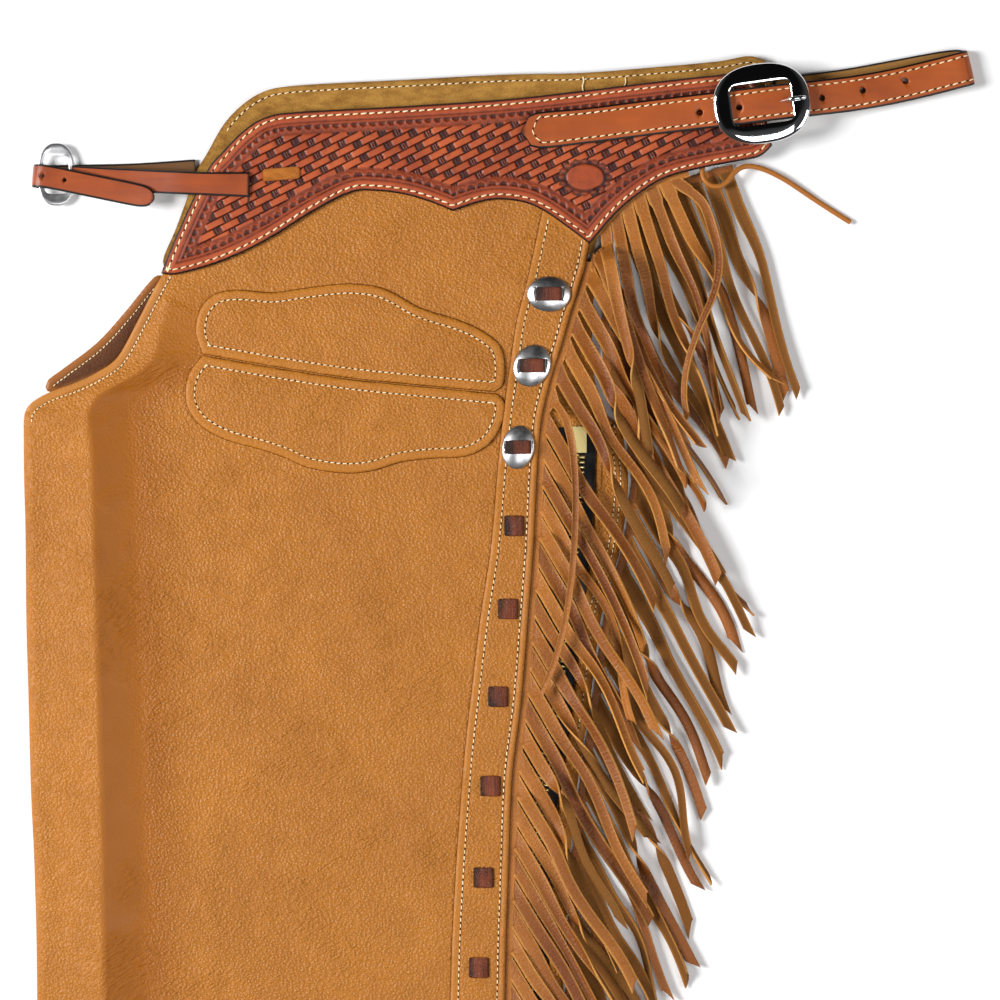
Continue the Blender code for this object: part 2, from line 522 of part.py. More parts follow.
def hidden_layers():
    """The layers folded away under the near leg, as one rounded solid with grooves at its hem."""
    loops = []
    for index, section in enumerate(SECTIONS):
        loop = []
        for folded, edge in zip(FOLD_LIP, CUT_LIP):
            inward = folded[0] * section.fold + edge[0] * (1 - section.fold)
            height = folded[1] * section.fold + edge[1] * (1 - section.fold)
            loop.append((section.x_left + inward, height))
        columns = [c for c in leg_columns(section)[len(FOLD_WRAP):] if c[2] > loop[-1][0] + 1]
        start = loop[-1][0]
        loop.append((start, LEG_BOTTOM - GAP - 0.1 + (ridge(section, 4.0) - 0.5) * section.fold))
        count = len(leg_columns(section)) - len(FOLD_WRAP)
        while len(columns) < count:
            columns.insert(0, (0, 0, start + (columns[0][2] - start) / 2, None))
        for _, _, x, z in columns:
            if z is None:
                z = LEG_BOTTOM + ridge(section, x - section.x_left) * section.fold
            loop.append((x, z - GAP))
        recess = RECESS if index < ZIP_SECTIONS else PILE_TOP - 0.01
        tape_left = section.x_strip + BACKING_OUT + GAP
        back = section.x_back
        loop += [
            (tape_left, PILE_TOP), (tape_left + 0.3, recess), (section.x_edge - 0.6, recess),
            (section.x_edge - 0.3, PILE_TOP), (back - 5.2, PILE_TOP), (back - 3.7, 6.1), (back - 2.8, 5.3),
            (back - 2.45, 4.9), (back - 2.8, 4.1), (back - 2.6, 3.7), (back - 0.8, 2.8), (back - 0.3, 1.8),
            (back - 0.6, 0.7), (back - 1.8, 0.0),
        ]
        loops.append([(x, row_y(section, x), z) for x, z in loop])
    made = loft("hidden_layers", loops, "tan_leather")
    for low in (2.0, 4.4):
        groove = block("groove", (-320.0, -5.0, low), (60.0, 4.0, low + 0.4), "tan_leather")
        cut(made, groove)
    return made


def near_back_panel():
    """The back panel's visible strip: its turned edge beside the zip and its roll over the right fold."""
    loops = []
    for section in SECTIONS[:ZIP_SECTIONS]:
        edge, back = section.x_edge, section.x_back
        outer = [
            (edge, 7.4), (edge + 0.4, 8.8), (edge + 1.6, 9.6), (edge + 3.2, 9.5), (edge + 4.8, 8.9),
            (back - 4.6, 8.8), (back - 2.2, 8.0), (back - 0.6, 6.3), (back, 4.7), (back - 0.6, 3.2),
        ]
        inner = [
            (edge + 0.2, 6.9), (edge + 1.0, 6.9), (edge + 1.9, 6.9), (edge + 3.2, 6.9), (edge + 4.8, 6.9),
            (back - 5.0, 6.9), (back - 3.3, 6.4), (back - 2.3, 5.6), (back - 2.0, 4.9), (back - 2.3, 4.2),
        ]
        loops.append([(x, section.y_right, z) for x, z in outer + inner[::-1]])
    return loft("near_back_panel", loops, "tan_leather", strip_caps=True)


def far_leg():
    """The far leg's edge, which shows as a crescent at the crotch."""
    inner = []
    for section in SECTIONS:
        if section.fold == 0.0:
            x = section.x_left + FAR_LEG_IN
            inner.append((x, row_y(section, x)))
    return slab("far_leg", FAR_LEG_EDGE + inner, 0.4, 2.4, "tan_leather", soft=0.4)


def zip_parts():
    """The zip's tape, chain, box and slider, and the pull tab on its hinge."""
    rows = SECTIONS[:ZIP_SECTIONS]
    loops = []
    for section in rows:
        left, right = section.x_strip + BACKING_OUT + GAP + 0.6, section.x_edge - 0.9
        low, high = RECESS + GAP, TAPE_TOP
        loops.append([(x, section.y_right, z) for x, z in ((left, low), (right, low), (right, high), (left, high))])
    loft("zip_tape", loops, "zip_tape")
    bottom = HEM_TO_SLIDER + SLIDER_LONG + GAP
    top = rows[-1].y_right - BOX_LONG - GAP
    ends = [(chain_x(bottom), bottom)] + [(s.x_chain, s.y_right) for s in rows if bottom < s.y_right < top]
    loops = []
    for x, y in ends + [(chain_x(top), top)]:
        sides = ((-CHAIN_HALF, TAPE_TOP + GAP), (CHAIN_HALF, TAPE_TOP + GAP), (CHAIN_HALF, CHAIN_TOP),
                 (-CHAIN_HALF, CHAIN_TOP))
        loops.append([(x + dx, y, z) for dx, z in sides])
    loft("zip_chain", loops, "brass")
    low = TAPE_TOP + GAP
    box_x, box_y = chain_x(top + 8.0), rows[-1].y_right
    block("zip_box", (box_x - BOX_WIDE / 2, box_y - BOX_LONG, low), (box_x + BOX_WIDE / 2, box_y, low + BOX_HIGH),
          "brass")
    middle = chain_x(0.0)
    slider = block("zip_slider", (middle - SLIDER_WIDE / 2, HEM_TO_SLIDER, low),
                   (middle + SLIDER_WIDE / 2, HEM_TO_SLIDER + SLIDER_LONG, low + SLIDER_HIGH), "brass")
    hinge = (hinge_y(), hinge_z())
    for side in (-1, 1):
        x_in = middle + side * LUG_GAP / 2
        x_out = x_in + side * LUG_THICK
        low_x, high_x = min(x_in, x_out), max(x_in, x_out)
        foot = block("foot", (low_x, hinge[0] - LUG_RADIUS, hinge[1] - LUG_RISE - 0.5),
                     (high_x, hinge[0] + LUG_RADIUS, hinge[1]), "brass")
        unite(slider, foot, rod("lug", hinge, LUG_RADIUS, low_x, high_x, "brass"))
    unite(slider, rod("pin", hinge, PIN_RADIUS, middle - LUG_GAP / 2 - 0.7, middle + LUG_GAP / 2 + 0.7, "brass"))
    pull = rod("zip_pull", hinge, EYE_RADIUS, middle - PULL_WIDE / 2, middle + PULL_WIDE / 2, "brass")
    plate = block("plate", (middle - PULL_WIDE / 2, hinge[0] - PULL_LONG, hinge[1] - PULL_THICK / 2),
                  (middle + PULL_WIDE / 2, hinge[0] - 0.5, hinge[1] + PULL_THICK / 2), "brass")
    unite(pull, plate)
    cut(pull, rod("eye", hinge, EYE_INSIDE, middle - PULL_WIDE, middle + PULL_WIDE, "brass"))


def hinge_y():
    """How far over the hem the pull tab's hinge lies."""
    return HEM_TO_SLIDER + SLIDER_LONG / 2


def hinge_z():
    """The height of the pull tab's hinge."""
    return TAPE_TOP + GAP + SLIDER_HIGH + LUG_RISE


def between(rows, y, column):
    """The column's value at this y, from straight lines between the sections' right ends."""
    if y <= rows[0].y_right:
        return getattr(rows[0], column)
    for a, b in zip(rows, rows[1:]):
        if y <= b.y_right:
            way = (y - a.y_right) / (b.y_right - a.y_right)
            return getattr(a, column) + (getattr(b, column) - getattr(a, column)) * way
    return getattr(rows[-1], column)


def chain_x(y):
    """The zip's middle at this y."""
    return between(SECTIONS, y, "x_chain")


def yokes():
    """The near yoke, and the far yoke with its lining under it."""
    slab("near_yoke", smooth_outline(YOKE), ON_LEG, YOKE_TOP, "tooled_leather")
    lining = smooth_outline(LINING)
    slab("far_lining", lining, LINING_BOTTOM, PILE_TOP, "suede")
    slab("far_yoke", inset(lining, 3.0), 0.0, FAR_YOKE_TOP, "tooled_leather")
    slab("keeper_tab", KEEPER, ON_YOKE, ON_YOKE + KEEPER_WALL, "suede", soft=0.2)


def concho_strip():
    """The strip down the outer leg, over the near panel's edge and the fringe's backing."""
    right = [(s.x_strip, s.y_right) for s in SECTIONS]
    outline = STRIP_LEFT + STRIP_TOP_CUT + right[::-1]
    slab("concho_strip", outline, ON_LEG, STRIP_TOP, "tan_leather")


def conchos():
    """Three domed conchos, each with its lace over the middle."""
    sides = 24
    for number, concho in enumerate(CONCHOS, 1):
        turn = math.radians(concho.turn)
        loops = []
        for size, height in ((0.96, 0.0), (1.0, 0.5), (0.9, 1.6), (0.62, 3.1), (0.3, CONCHO_RISE)):
            ring = []
            for k in range(sides):
                angle = 2 * math.pi * k / sides
                u, v = concho.long_half * size * math.cos(angle), concho.short_half * size * math.sin(angle)
                ring.append((
                    concho.x + u * math.cos(turn) - v * math.sin(turn),
                    concho.y + u * math.sin(turn) + v * math.cos(turn),
                    ON_STRIP + height,
                ))
            loops.append(ring)
        loft(f"concho_{number}", loops, "brushed_steel")
        arch("concho_lace_" + str(number), concho.x, concho.y, 8.0, 8.6, ON_STRIP + CONCHO_RISE + 0.1, 0.9)


def arch(name, x, y, half, wide, base, drop):
    """A short lace that bends down towards both of its slots."""
    stations = []
    for step in range(5):
        away = (step - 2) / 2
        stations.append(Station(x + half * away, y, base + LACE_WALL / 2 + drop * (1 - away * away), wide, 0.0))
    ribbon(name, stations, LACE_WALL, "lace_leather")


def laces():
    """The lace that shows in the windows down the strip."""
    for number, lace in enumerate(LACES, 1):
        arch(f"lace_{number:02d}", lace.x, lace.y, 6.4, 12.6, ON_STRIP + 0.1, 1.1)


def ring_plate(name, middle, turn, halves, window, low, wall, finish, tilt=0.0):
    """An oval frame round a window with rounded corners, tilted about its own Y by tilt radians."""
    sides = 40
    profile = [(1.0, 0.0, "out"), (1.0, 0.45, "out"), (0.93, 0.85, "out"), (0.8, 1.0, "out"),
               (1.0, 0.95, "in"), (1.0, 0.0, "in")]
    loops = []
    for k in range(sides):
        angle = 2 * math.pi * k / sides
        c, s = math.cos(angle), math.sin(angle)
        soft_x = math.copysign(abs(c) ** 0.85, c)
        soft_y = math.copysign(abs(s) ** 0.85, s)
        square_x = math.copysign(abs(c) ** 0.4, c)
        square_y = math.copysign(abs(s) ** 0.4, s)
        loop = []
        for size, height, side in profile:
            outer = (halves[0] * soft_x, halves[1] * soft_y)
            inner = (window[0] * square_x, window[1] * square_y)
            share = size if side == "out" else 0.0
            u = inner[0] + (outer[0] - inner[0]) * share
            v = inner[1] + (outer[1] - inner[1]) * share
            z = low + wall * height - u * math.tan(tilt)
            x = middle[0] + u * math.cos(turn) - v * math.sin(turn)
            y = middle[1] + u * math.sin(turn) + v * math.cos(turn)
            loop.append((x, y, z))
        loops.append(loop)
    count = len(profile)
    points = [p for loop in loops for p in loop]
    faces = []
    for k in range(sides):
        after = (k + 1) % sides
        for j in range(count):
            nxt = (j + 1) % count
            faces.append((k * count + j, k * count + nxt, after * count + nxt, after * count + j))
    return solid(name, points, faces, finish)


def belt_buckle():
    """The big buckle with its heel bar under the belt, and the tongue's end over its right side."""
    turn = math.radians(BELT_BUCKLE_TURN)
    frame = ring_plate("belt_buckle", BELT_BUCKLE_AT, turn, BELT_BUCKLE_HALF, BELT_WINDOW_HALF,
                       BELT_BUCKLE_BOTTOM, BELT_BUCKLE_WALL, "chrome")
    reach = BELT_WIDE / 2 + 0.9 + HEEL_BAR / 2
    bar_z = ON_YOKE + 0.1 + HEEL_BAR / 2
    high = BELT_BUCKLE_BOTTOM + 1.2
    loops = []
    for v, z, mitre in ((-reach, high, 0.0), (-reach, bar_z, 1.0), (reach, bar_z, -1.0), (reach, high, 0.0)):
        half = HEEL_BAR / 2
        inner_v = v + half if v < 0 else v - half
        outer_v = v - half if v < 0 else v + half
        rise = 0.0 if mitre == 0.0 else half
        loop = []
        for u, side in ((-half, "out"), (half, "out"), (half, "in"), (-half, "in")):
            across = outer_v if side == "out" else inner_v
            level = z - rise if side == "out" else z + rise
            du = u - HEEL_BAR_IN
            x = BELT_BUCKLE_AT[0] + du * math.cos(turn) - across * math.sin(turn)
            y = BELT_BUCKLE_AT[1] + du * math.sin(turn) + across * math.cos(turn)
            loop.append((x, y, level))
        loops.append(loop)
    unite(frame, loft("bar", loops, "chrome"))
    top = BELT_BUCKLE_BOTTOM + BELT_BUCKLE_WALL
    tongue = [
        Station(186.0, 977.4, 17.6, 2.6, 8.0), Station(187.4, 977.6, 20.6, 2.6, 8.0),
        Station(189.2, 977.9, top + 1.5, 2.8, 8.0), Station(194.0, 978.6, top + 1.5, 3.0, 8.0),
        Station(198.0, 979.1, top + 1.1, 2.0, 8.0),
    ]
    ribbon("belt_tongue", tongue, 1.8, "chrome")


def straps():
    """The belt, the front strap and the billet that wraps the small buckle's left side."""
    ribbon("belt", BELT, BELT_WALL, "strap_leather")
    ribbon("front_strap", FRONT_STRAP, STRAP_WALL, "strap_leather")
    ribbon("front_billet", BILLET, STRAP_WALL, "strap_leather")
    left, right = SMALL_BUCKLE_HIGH
    tilt = math.atan((left - right) / (2 * SMALL_BUCKLE_HALF[0]))
    low = (left + right) / 2 - SMALL_BUCKLE_WALL / 2
    ring_plate("front_buckle", SMALL_BUCKLE_AT, 0.0, SMALL_BUCKLE_HALF, SMALL_WINDOW_HALF, low,
               SMALL_BUCKLE_WALL, "brushed_steel", tilt)


def through(places):
    """A smooth curve through these places, as many short steps."""
    made = []
    for i in range(len(places) - 1):
        a, b = places[max(i - 1, 0)], places[i]
        c, d = places[i + 1], places[min(i + 2, len(places) - 1)]
        for k in range(12):
            made.append(tuple(catmull(a[n], b[n], c[n], d[n], k / 12) for n in range(len(b))))
    return made + [tuple(places[-1])]


def evenly(line, spacing):
    """The line again, with points at nearly this spacing along it."""
    before = [0.0]
    for a, b in zip(line, line[1:]):
        before.append(before[-1] + math.dist(a, b))
    count = max(1, round(before[-1] / spacing))
    made = []
    for k in range(count + 1):
        reached = before[-1] * k / count
        i = min(max(j for j in range(len(before)) if before[j] <= reached), len(line) - 2)
        part = (reached - before[i]) / (before[i + 1] - before[i])
        made.append(tuple(a + (b - a) * part for a, b in zip(line[i], line[i + 1])))
    return made


def thong():
    """The thong that hangs from under the yoke, with its free end on the floor."""
    curve = bpy.data.curves.new("thong", "CURVE")
    curve.dimensions = "3D"
    curve.bevel_depth = THONG_RADIUS / 1000
    curve.bevel_resolution = 2
    curve.use_fill_caps = True
    places = evenly(through(THONG), THONG_STEP)
    line = curve.splines.new("POLY")
    line.points.add(len(places) - 1)
    for point, place in zip(line.points, places):
        point.co = (*at(*place), 1.0)
    curve.materials.append(material("tan_leather"))
    made = bpy.data.objects.new("thong", curve)
    bpy.context.scene.collection.objects.link(made)


class HeightMap:
    """The height of what lies on the floor already, in small cells, for laying strands over it."""

    def __init__(self, ground):
        self.ground = ground
        self.cells = {}

    def read(self, x, y):
        key = (round(x / CELL), round(y / CELL))
        return max(self.cells.get(key, 0.0), self.ground(x, y))

    def raise_to(self, x, y, height):
        key = (round(x / CELL), round(y / CELL))
        self.cells[key] = max(self.cells.get(key, 0.0), height)


def ground(x, y):
    """The top of the pieces that lie under the fringe, with a little to spare."""
    if y > 872.0:
        under_lining = x < 84.0 or y > 918.0 + (x - 84.0) * 0.6
        return PILE_TOP if under_lining else 0.2
    back = between(SECTIONS, y, "x_back")
    if x > back + 1.0:
        return 0.2
    if y > SECTIONS[ZIP_SECTIONS - 1].y_right + 6.0:
        return PILE_TOP
    if x > between(SECTIONS, y, "x_edge") - 1.5:
        return 9.6
    if abs(x - chain_x(y)) < CHAIN_HALF + 1.5:
        return CHAIN_TOP + (1.2 if y > 740.0 else 0.0)
    return TAPE_TOP


class Strand:
    """One strand: its root on the backing, its line in the plan, its roll and its height."""

    def __init__(self, fringe, number, root_low, root_high, heading, dice):
        self.low, self.high = root_low, root_high
        self.length = fringe.length * dice.uniform(0.9, 1.1)
        self.width = fringe.width * dice.uniform(0.9, 1.04)
        self.heading = heading + fringe.turn * 0.2
        self.turn = fringe.turn + dice.uniform(-1, 1) * fringe.spread + fringe.clump * math.sin(number * CLUMP_STEP)
        self.sway = dice.uniform(-1, 1) * fringe.spread * 0.9
        self.phase = dice.uniform(0.0, 2 * math.pi)
        self.roll = fringe.roll * dice.choice((-1.0, -0.4, 0.0, 0.0, 0.3, 1.0))
        self.cut = dice.uniform(4.0, 11.0) * dice.choice((-1, 1))
        self.root_z = fringe.root_z
        self.heights = []
        self.reach = 0.5
        self.walk()
        for stray in STRAYS:
            if (stray.fringe, stray.number) == (fringe.name, number):
                self.follow(stray)

    def walk(self):
        """Steps the middle line from the root to the tip."""
        x, y = (self.low[0] + self.high[0]) / 2, (self.low[1] + self.high[1]) / 2
        self.line = [(x, y, self.heading_at(0.0))]
        count = int(self.length / SAMPLE)
        for k in range(1, count + 1):
            angle = self.heading_at(k / count)
            step = self.length / count
            x += step * math.cos(math.radians(angle))
            y += step * math.sin(math.radians(angle))
            self.line.append((x, y, angle))

    def follow(self, stray):
        """Takes the stray's own route and width, over the neighbours' roots as well."""
        places = evenly(through([self.line[0][:2]] + stray.route), SAMPLE)
        self.length = SAMPLE * (len(places) - 1)
        self.width, self.reach = stray.width, 9.0
        self.line = []
        for k, (x, y) in enumerate(places):
            a, b = places[max(k - 1, 0)], places[min(k + 1, len(places) - 1)]
            self.line.append((x, y, math.degrees(math.atan2(b[1] - a[1], b[0] - a[0]))))

    def heading_at(self, way):
        """The heading in degrees at this share of the length."""
        ease = max(0.0, way - 0.1) / 0.9
        wave = math.sin(self.phase + 5.0 * ease) - math.sin(self.phase)
        return self.heading + self.turn * ease ** 1.3 * 1.6 + self.sway * wave * ease

    def roll_at(self, way):
        """The strand's roll about its own line, in radians."""
        ease = min(max((way - 0.22) / 0.5, 0.0), 1.0)
        return math.radians(self.roll) * ease * ease * (3 - 2 * ease)

    def width_at(self, way):
        """The strand's width, a little narrower towards the tip."""
        return self.width * (1 - 0.12 * way)

    def half_high(self, way):
        """Half of the height that the rolled section takes."""
        roll = self.roll_at(way)
        return abs(math.sin(roll)) * self.width_at(way) / 2 + math.cos(roll) * STRAND_WALL / 2

    def footprint(self, index, margin):
        """Points across the strand at one sample of its line."""
        x, y, angle = self.line[index]
        way = index / (len(self.line) - 1)
        half = self.width_at(way) / 2 * math.cos(self.roll_at(way)) + 0.3 + margin
        nx, ny = -math.sin(math.radians(angle)), math.cos(math.radians(angle))
        count = 7
        for along in (-0.5, 0.0, 0.5):
            ax, ay = along * SAMPLE * ny, -along * SAMPLE * nx
            for k in range(count):
                side = half * (2 * k / (count - 1) - 1)
                yield x + nx * side + ax, y + ny * side + ay

    def lay(self, heights):
        """Finds the strand's height over what is already there, then adds the strand to it."""
        last = len(self.line) - 1
        needed = []
        for k in range(last + 1):
            if k * SAMPLE < 13.0:
                needed.append(0.0)
                continue
            below = max(heights.read(px, py) for px, py in self.footprint(k, self.reach))
            needed.append(below + GAP + 0.15 + self.half_high(k / last))
        needed[0] = self.root_z
        levels = [
            max(need - DROP_SLOPE * SAMPLE * abs(k - j) for j, need in enumerate(needed))
            for k in range(last + 1)
        ]
        places = self.ring_places()
        self.heights = [self.root_z]
        for i in range(1, len(places)):
            low = places[i] if i == 1 else places[i - 1]
            self.heights.append(self.highest(levels, low, places[min(i + 1, len(places) - 1)]))
        for k in range(last + 1):
            distance = k * self.length / last
            if distance < 9.0:
                continue
            for px, py in self.footprint(k, 0.5):
                heights.raise_to(px, py, self.top_at(distance))

    def highest(self, levels, low, high):
        """The highest level between two distances from the root."""
        spacing = self.length / (len(self.line) - 1)
        first, final = max(int(low / spacing), 0), min(int(math.ceil(high / spacing)), len(self.line) - 1)
        return max(levels[first:final + 1])

    def top_at(self, distance):
        """The height of the strand's top at a distance from the root, between its rings."""
        places = self.ring_places()
        i = max(k for k in range(len(places)) if places[k] <= distance or k == 0)
        j = min(i + 1, len(places) - 1)
        way = (distance - places[i]) / (places[j] - places[i]) if j > i else 0.0
        middle = self.heights[i] + (self.heights[j] - self.heights[i]) * min(way, 1.0)
        return middle + max(self.half_high(places[i] / self.length), self.half_high(places[j] / self.length))

    def ring_places(self):
        """The distances from the root at which the strand has a ring, the tip last."""
        return [s for s in RING_AT if s < self.length - 16.0] + [self.length - abs(self.cut) / 2]

    def sample(self, distance):
        """The middle and heading at a distance from the root, off the stepped line."""
        spacing = self.length / (len(self.line) - 1)
        place = min(distance / spacing, len(self.line) - 1.001)
        k, part = int(place), place - int(place)
        a, b = self.line[k], self.line[k + 1]
        return tuple(a[i] + (b[i] - a[i]) * part for i in range(3))

    def rings(self):
        """Rings of four corners: left top, right top, right bottom, left bottom."""
        places = self.ring_places()
        half = STRAND_WALL / 2
        made = [[
            (*self.high, self.root_z + half), (*self.low, self.root_z + half),
            (*self.low, self.root_z - half), (*self.high, self.root_z - half),
        ]]
        for i in range(1, len(places)):
            s = places[i]
            x, y, angle = self.sample(s)
            way = s / self.length
            z = self.heights[i]
            roll = self.roll_at(way)
            left = (-math.sin(math.radians(angle)), math.cos(math.radians(angle)))
            ahead = (left[1], -left[0])
            wide = self.width_at(way) / 2
            slant = self.cut / 2 if i == len(places) - 1 else 0.0
            ring = []
            for side, up in ((1, 1), (-1, 1), (-1, -1), (1, -1)):
                across = side * wide * math.cos(roll) - up * half * math.sin(roll)
                rise = side * wide * math.sin(roll) + up * half * math.cos(roll)
                ring.append((
                    x + left[0] * across + ahead[0] * slant * side,
                    y + left[1] * across + ahead[1] * slant * side,
                    z + rise,
                ))
            made.append(ring)
        return made


def along_line(line, spacing):
    """Points at this spacing along a line of straight pieces, from its start."""
    points, reached = [line[0]], 0.0
    for a, b in zip(line, line[1:]):
        run = math.hypot(b[0] - a[0], b[1] - a[1])
        while reached + run >= spacing * len(points):
            part = (spacing * len(points) - reached) / run
            points.append((a[0] + (b[0] - a[0]) * part, a[1] + (b[1] - a[1]) * part))
        reached += run
    return points


def near_leg_root():
    """The near leg's root line: just outside the concho strip's right edge."""
    line = []
    for section in SECTIONS:
        if section.y_right > NEAR_LEG_ROOT_FIRST:
            line.append((section.x_strip + BACKING_OUT, section.y_right))
    first = (SECTIONS[0].x_strip + BACKING_OUT, NEAR_LEG_ROOT_FIRST)
    return [first] + line + [NEAR_LEG_ROOT_END]


def root_line(fringe):
    """The line that a fringe's strands leave from."""
    lines = {
        "fringe_far_leg": FAR_LEG_ROOT,
        "fringe_far_yoke": FAR_YOKE_ROOT,
        "fringe_near_yoke": NEAR_YOKE_ROOT,
        "fringe_near_leg": near_leg_root(),
    }
    return lines[fringe.name]


def backing_width(fringe):
    """How wide the fringe's backing is."""
    return BACKING_IN + BACKING_OUT if fringe.name.startswith("fringe_near") else BACKING_OUT - 0.4


def strands_of(fringe, heights):
    """All strands of a fringe, laid over what is already there: every second one first."""
    dice = random.Random(fringe.seed)
    marks = along_line(root_line(fringe), fringe.pitch)
    made = []
    for i, (a, b) in enumerate(zip(marks, marks[1:])):
        run = math.hypot(b[0] - a[0], b[1] - a[1])
        ux, uy = (b[0] - a[0]) / run, (b[1] - a[1]) / run
        low = (a[0] + ux * SLIT / 2, a[1] + uy * SLIT / 2)
        high = (b[0] - ux * SLIT / 2, b[1] - uy * SLIT / 2)
        way = i / (len(marks) - 2)
        heading = fringe.first + (fringe.last - fringe.first) * way
        made.append(Strand(fringe, i, low, high, heading, dice))
    for strand in sorted(made[::2] + made[1::2], key=lambda strand: strand.reach):
        strand.lay(heights)
    return marks, made


def fringe_solid(fringe, heights):
    """One fringe: its backing strip with every strand grown out of the strip's outer side."""
    marks, strands = strands_of(fringe, heights)
    wide, half = backing_width(fringe), STRAND_WALL / 2
    inner = []
    for i, mark in enumerate(marks):
        a, b = marks[max(i - 1, 0)], marks[min(i + 1, len(marks) - 1)]
        run = math.hypot(b[0] - a[0], b[1] - a[1])
        inner.append((mark[0] - (b[1] - a[1]) / run * wide, mark[1] + (b[0] - a[0]) / run * wide))
    points, faces = [], []
    top = [len(points) + k for k in range(len(inner))]
    points += [(x, y, fringe.root_z + half) for x, y in inner]
    bottom = [len(points) + k for k in range(len(inner))]
    points += [(x, y, fringe.root_z - half) for x, y in inner]
    roots = []
    for strand in strands:
        rings = strand.rings()
        base = len(points)
        points += [corner for ring in rings for corner in ring]
        roots.append(base)
        for r in range(len(rings) - 1):
            for j in range(4):
                k = (j + 1) % 4
                faces.append((base + 4 * r + j, base + 4 * r + k, base + 4 * r + 4 + k, base + 4 * r + 4 + j))
        end = base + 4 * (len(rings) - 1)
        faces.append((end, end + 1, end + 2, end + 3))
    for i, base in enumerate(roots):
        high_top, low_top, low_bottom, high_bottom = base, base + 1, base + 2, base + 3
        if i + 1 < len(roots):
            after = roots[i + 1]
            faces.append((top[i], low_top, high_top, after + 1, top[i + 1]))
            faces.append((bottom[i + 1], after + 2, high_bottom, low_bottom, bottom[i]))
            faces.append((high_top, high_bottom, after + 2, after + 1))
        else:
            faces.append((top[i], low_top, high_top, top[i + 1]))
            faces.append((bottom[i + 1], high_bottom, low_bottom, bottom[i]))
        faces.append((top[i], top[i + 1], bottom[i + 1], bottom[i]))
    first, last = roots[0], roots[-1]
    faces.append((top[0], bottom[0], first + 2, first + 1))
    faces.append((top[-1], last, last + 3, bottom[-1]))
    return solid(fringe.name, points, faces, fringe.finish)


def fringes():
    """Every fringe, the lowest first, so that each lies over the ones under it."""
    heights = HeightMap(ground)
    for fringe in FRINGES:
        fringe_solid(fringe, heights)


def clear_scene():
    """Removes every object of the starting scene."""
    for old in list(bpy.data.objects):
        bpy.data.objects.remove(old)


def main():
    clear_scene()
    near_leg()
    hidden_layers()
    near_back_panel()
    far_leg()
    yokes()
    concho_strip()
    conchos()
    laces()
    slab("pocket_upper", smooth_outline(POCKET_UPPER, 2), ON_LEG, ON_LEG + POCKET_WALL, "tan_leather", soft=0.7)
    slab("pocket_lower", smooth_outline(POCKET_LOWER, 2), ON_LEG, ON_LEG + POCKET_WALL + 0.3, "tan_leather", soft=0.7)
    belt_buckle()
    straps()
    zip_parts()
    fringes()
    thong()


main()
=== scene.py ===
"""The looks of a pair of fringed leather chaps, folded leg on leg and laid flat on a pale floor.

Sizes and places are in millimetres in the pattern's own frame: x runs to the right, y runs up from the near
leg's hem and z is the height over the floor. Pattern turns them into the world's metres, from the place where
the frame has the near leg.
"""

from __future__ import annotations

import logging
import math
import random
from dataclasses import dataclass, field
from enum import Enum
from functools import cache
from typing import Callable, NamedTuple, Sequence

import bmesh
import bpy
import numpy as np
from mathutils import Matrix, Vector, kdtree, noise


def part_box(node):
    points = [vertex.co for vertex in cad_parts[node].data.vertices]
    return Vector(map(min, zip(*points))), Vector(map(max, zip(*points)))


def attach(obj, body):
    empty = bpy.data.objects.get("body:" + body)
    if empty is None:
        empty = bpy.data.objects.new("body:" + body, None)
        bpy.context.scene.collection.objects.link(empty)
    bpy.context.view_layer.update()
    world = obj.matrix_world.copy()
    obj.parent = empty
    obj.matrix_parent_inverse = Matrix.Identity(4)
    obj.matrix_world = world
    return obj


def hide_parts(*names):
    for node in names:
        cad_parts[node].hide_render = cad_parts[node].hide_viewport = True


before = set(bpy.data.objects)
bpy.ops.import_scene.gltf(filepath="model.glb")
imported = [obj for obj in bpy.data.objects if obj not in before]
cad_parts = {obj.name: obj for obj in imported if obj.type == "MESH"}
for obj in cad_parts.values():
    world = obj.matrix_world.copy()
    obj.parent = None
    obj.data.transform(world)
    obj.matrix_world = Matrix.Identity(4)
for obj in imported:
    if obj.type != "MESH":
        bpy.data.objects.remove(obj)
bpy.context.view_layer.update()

LOG = logging.getLogger("chaps")
GARMENT = "garment"
Colour = tuple[float, float, float, float]
Line = Sequence[Sequence[float]]

# Heights of the flat-lying layers.
GAP = 0.3
FAR_YOKE_TOP = 3.2
LINING_BOTTOM = FAR_YOKE_TOP + GAP
PILE_TOP = 6.6
LEG_BOTTOM = PILE_TOP + GAP
LEG_TOP = LEG_BOTTOM + 2.0
ON_LEG = LEG_TOP + GAP
STRIP_TOP = ON_LEG + 1.8
ON_STRIP = STRIP_TOP + GAP
POCKET_TOP = ON_LEG + 1.8
YOKE_TOP = ON_LEG + 3.2
ON_YOKE = YOKE_TOP + GAP
RECESS = 4.0
TAPE_LOW = RECESS + GAP
TAPE_TOP = TAPE_LOW + 1.0
CHAIN_LOW = TAPE_TOP + GAP
CHAIN_HALF = 4.5
CHAIN_TOP = CHAIN_LOW + 2.0
BACKING_IN = 7.5
BACKING_OUT = 5.0
LEG_IN = 9.0

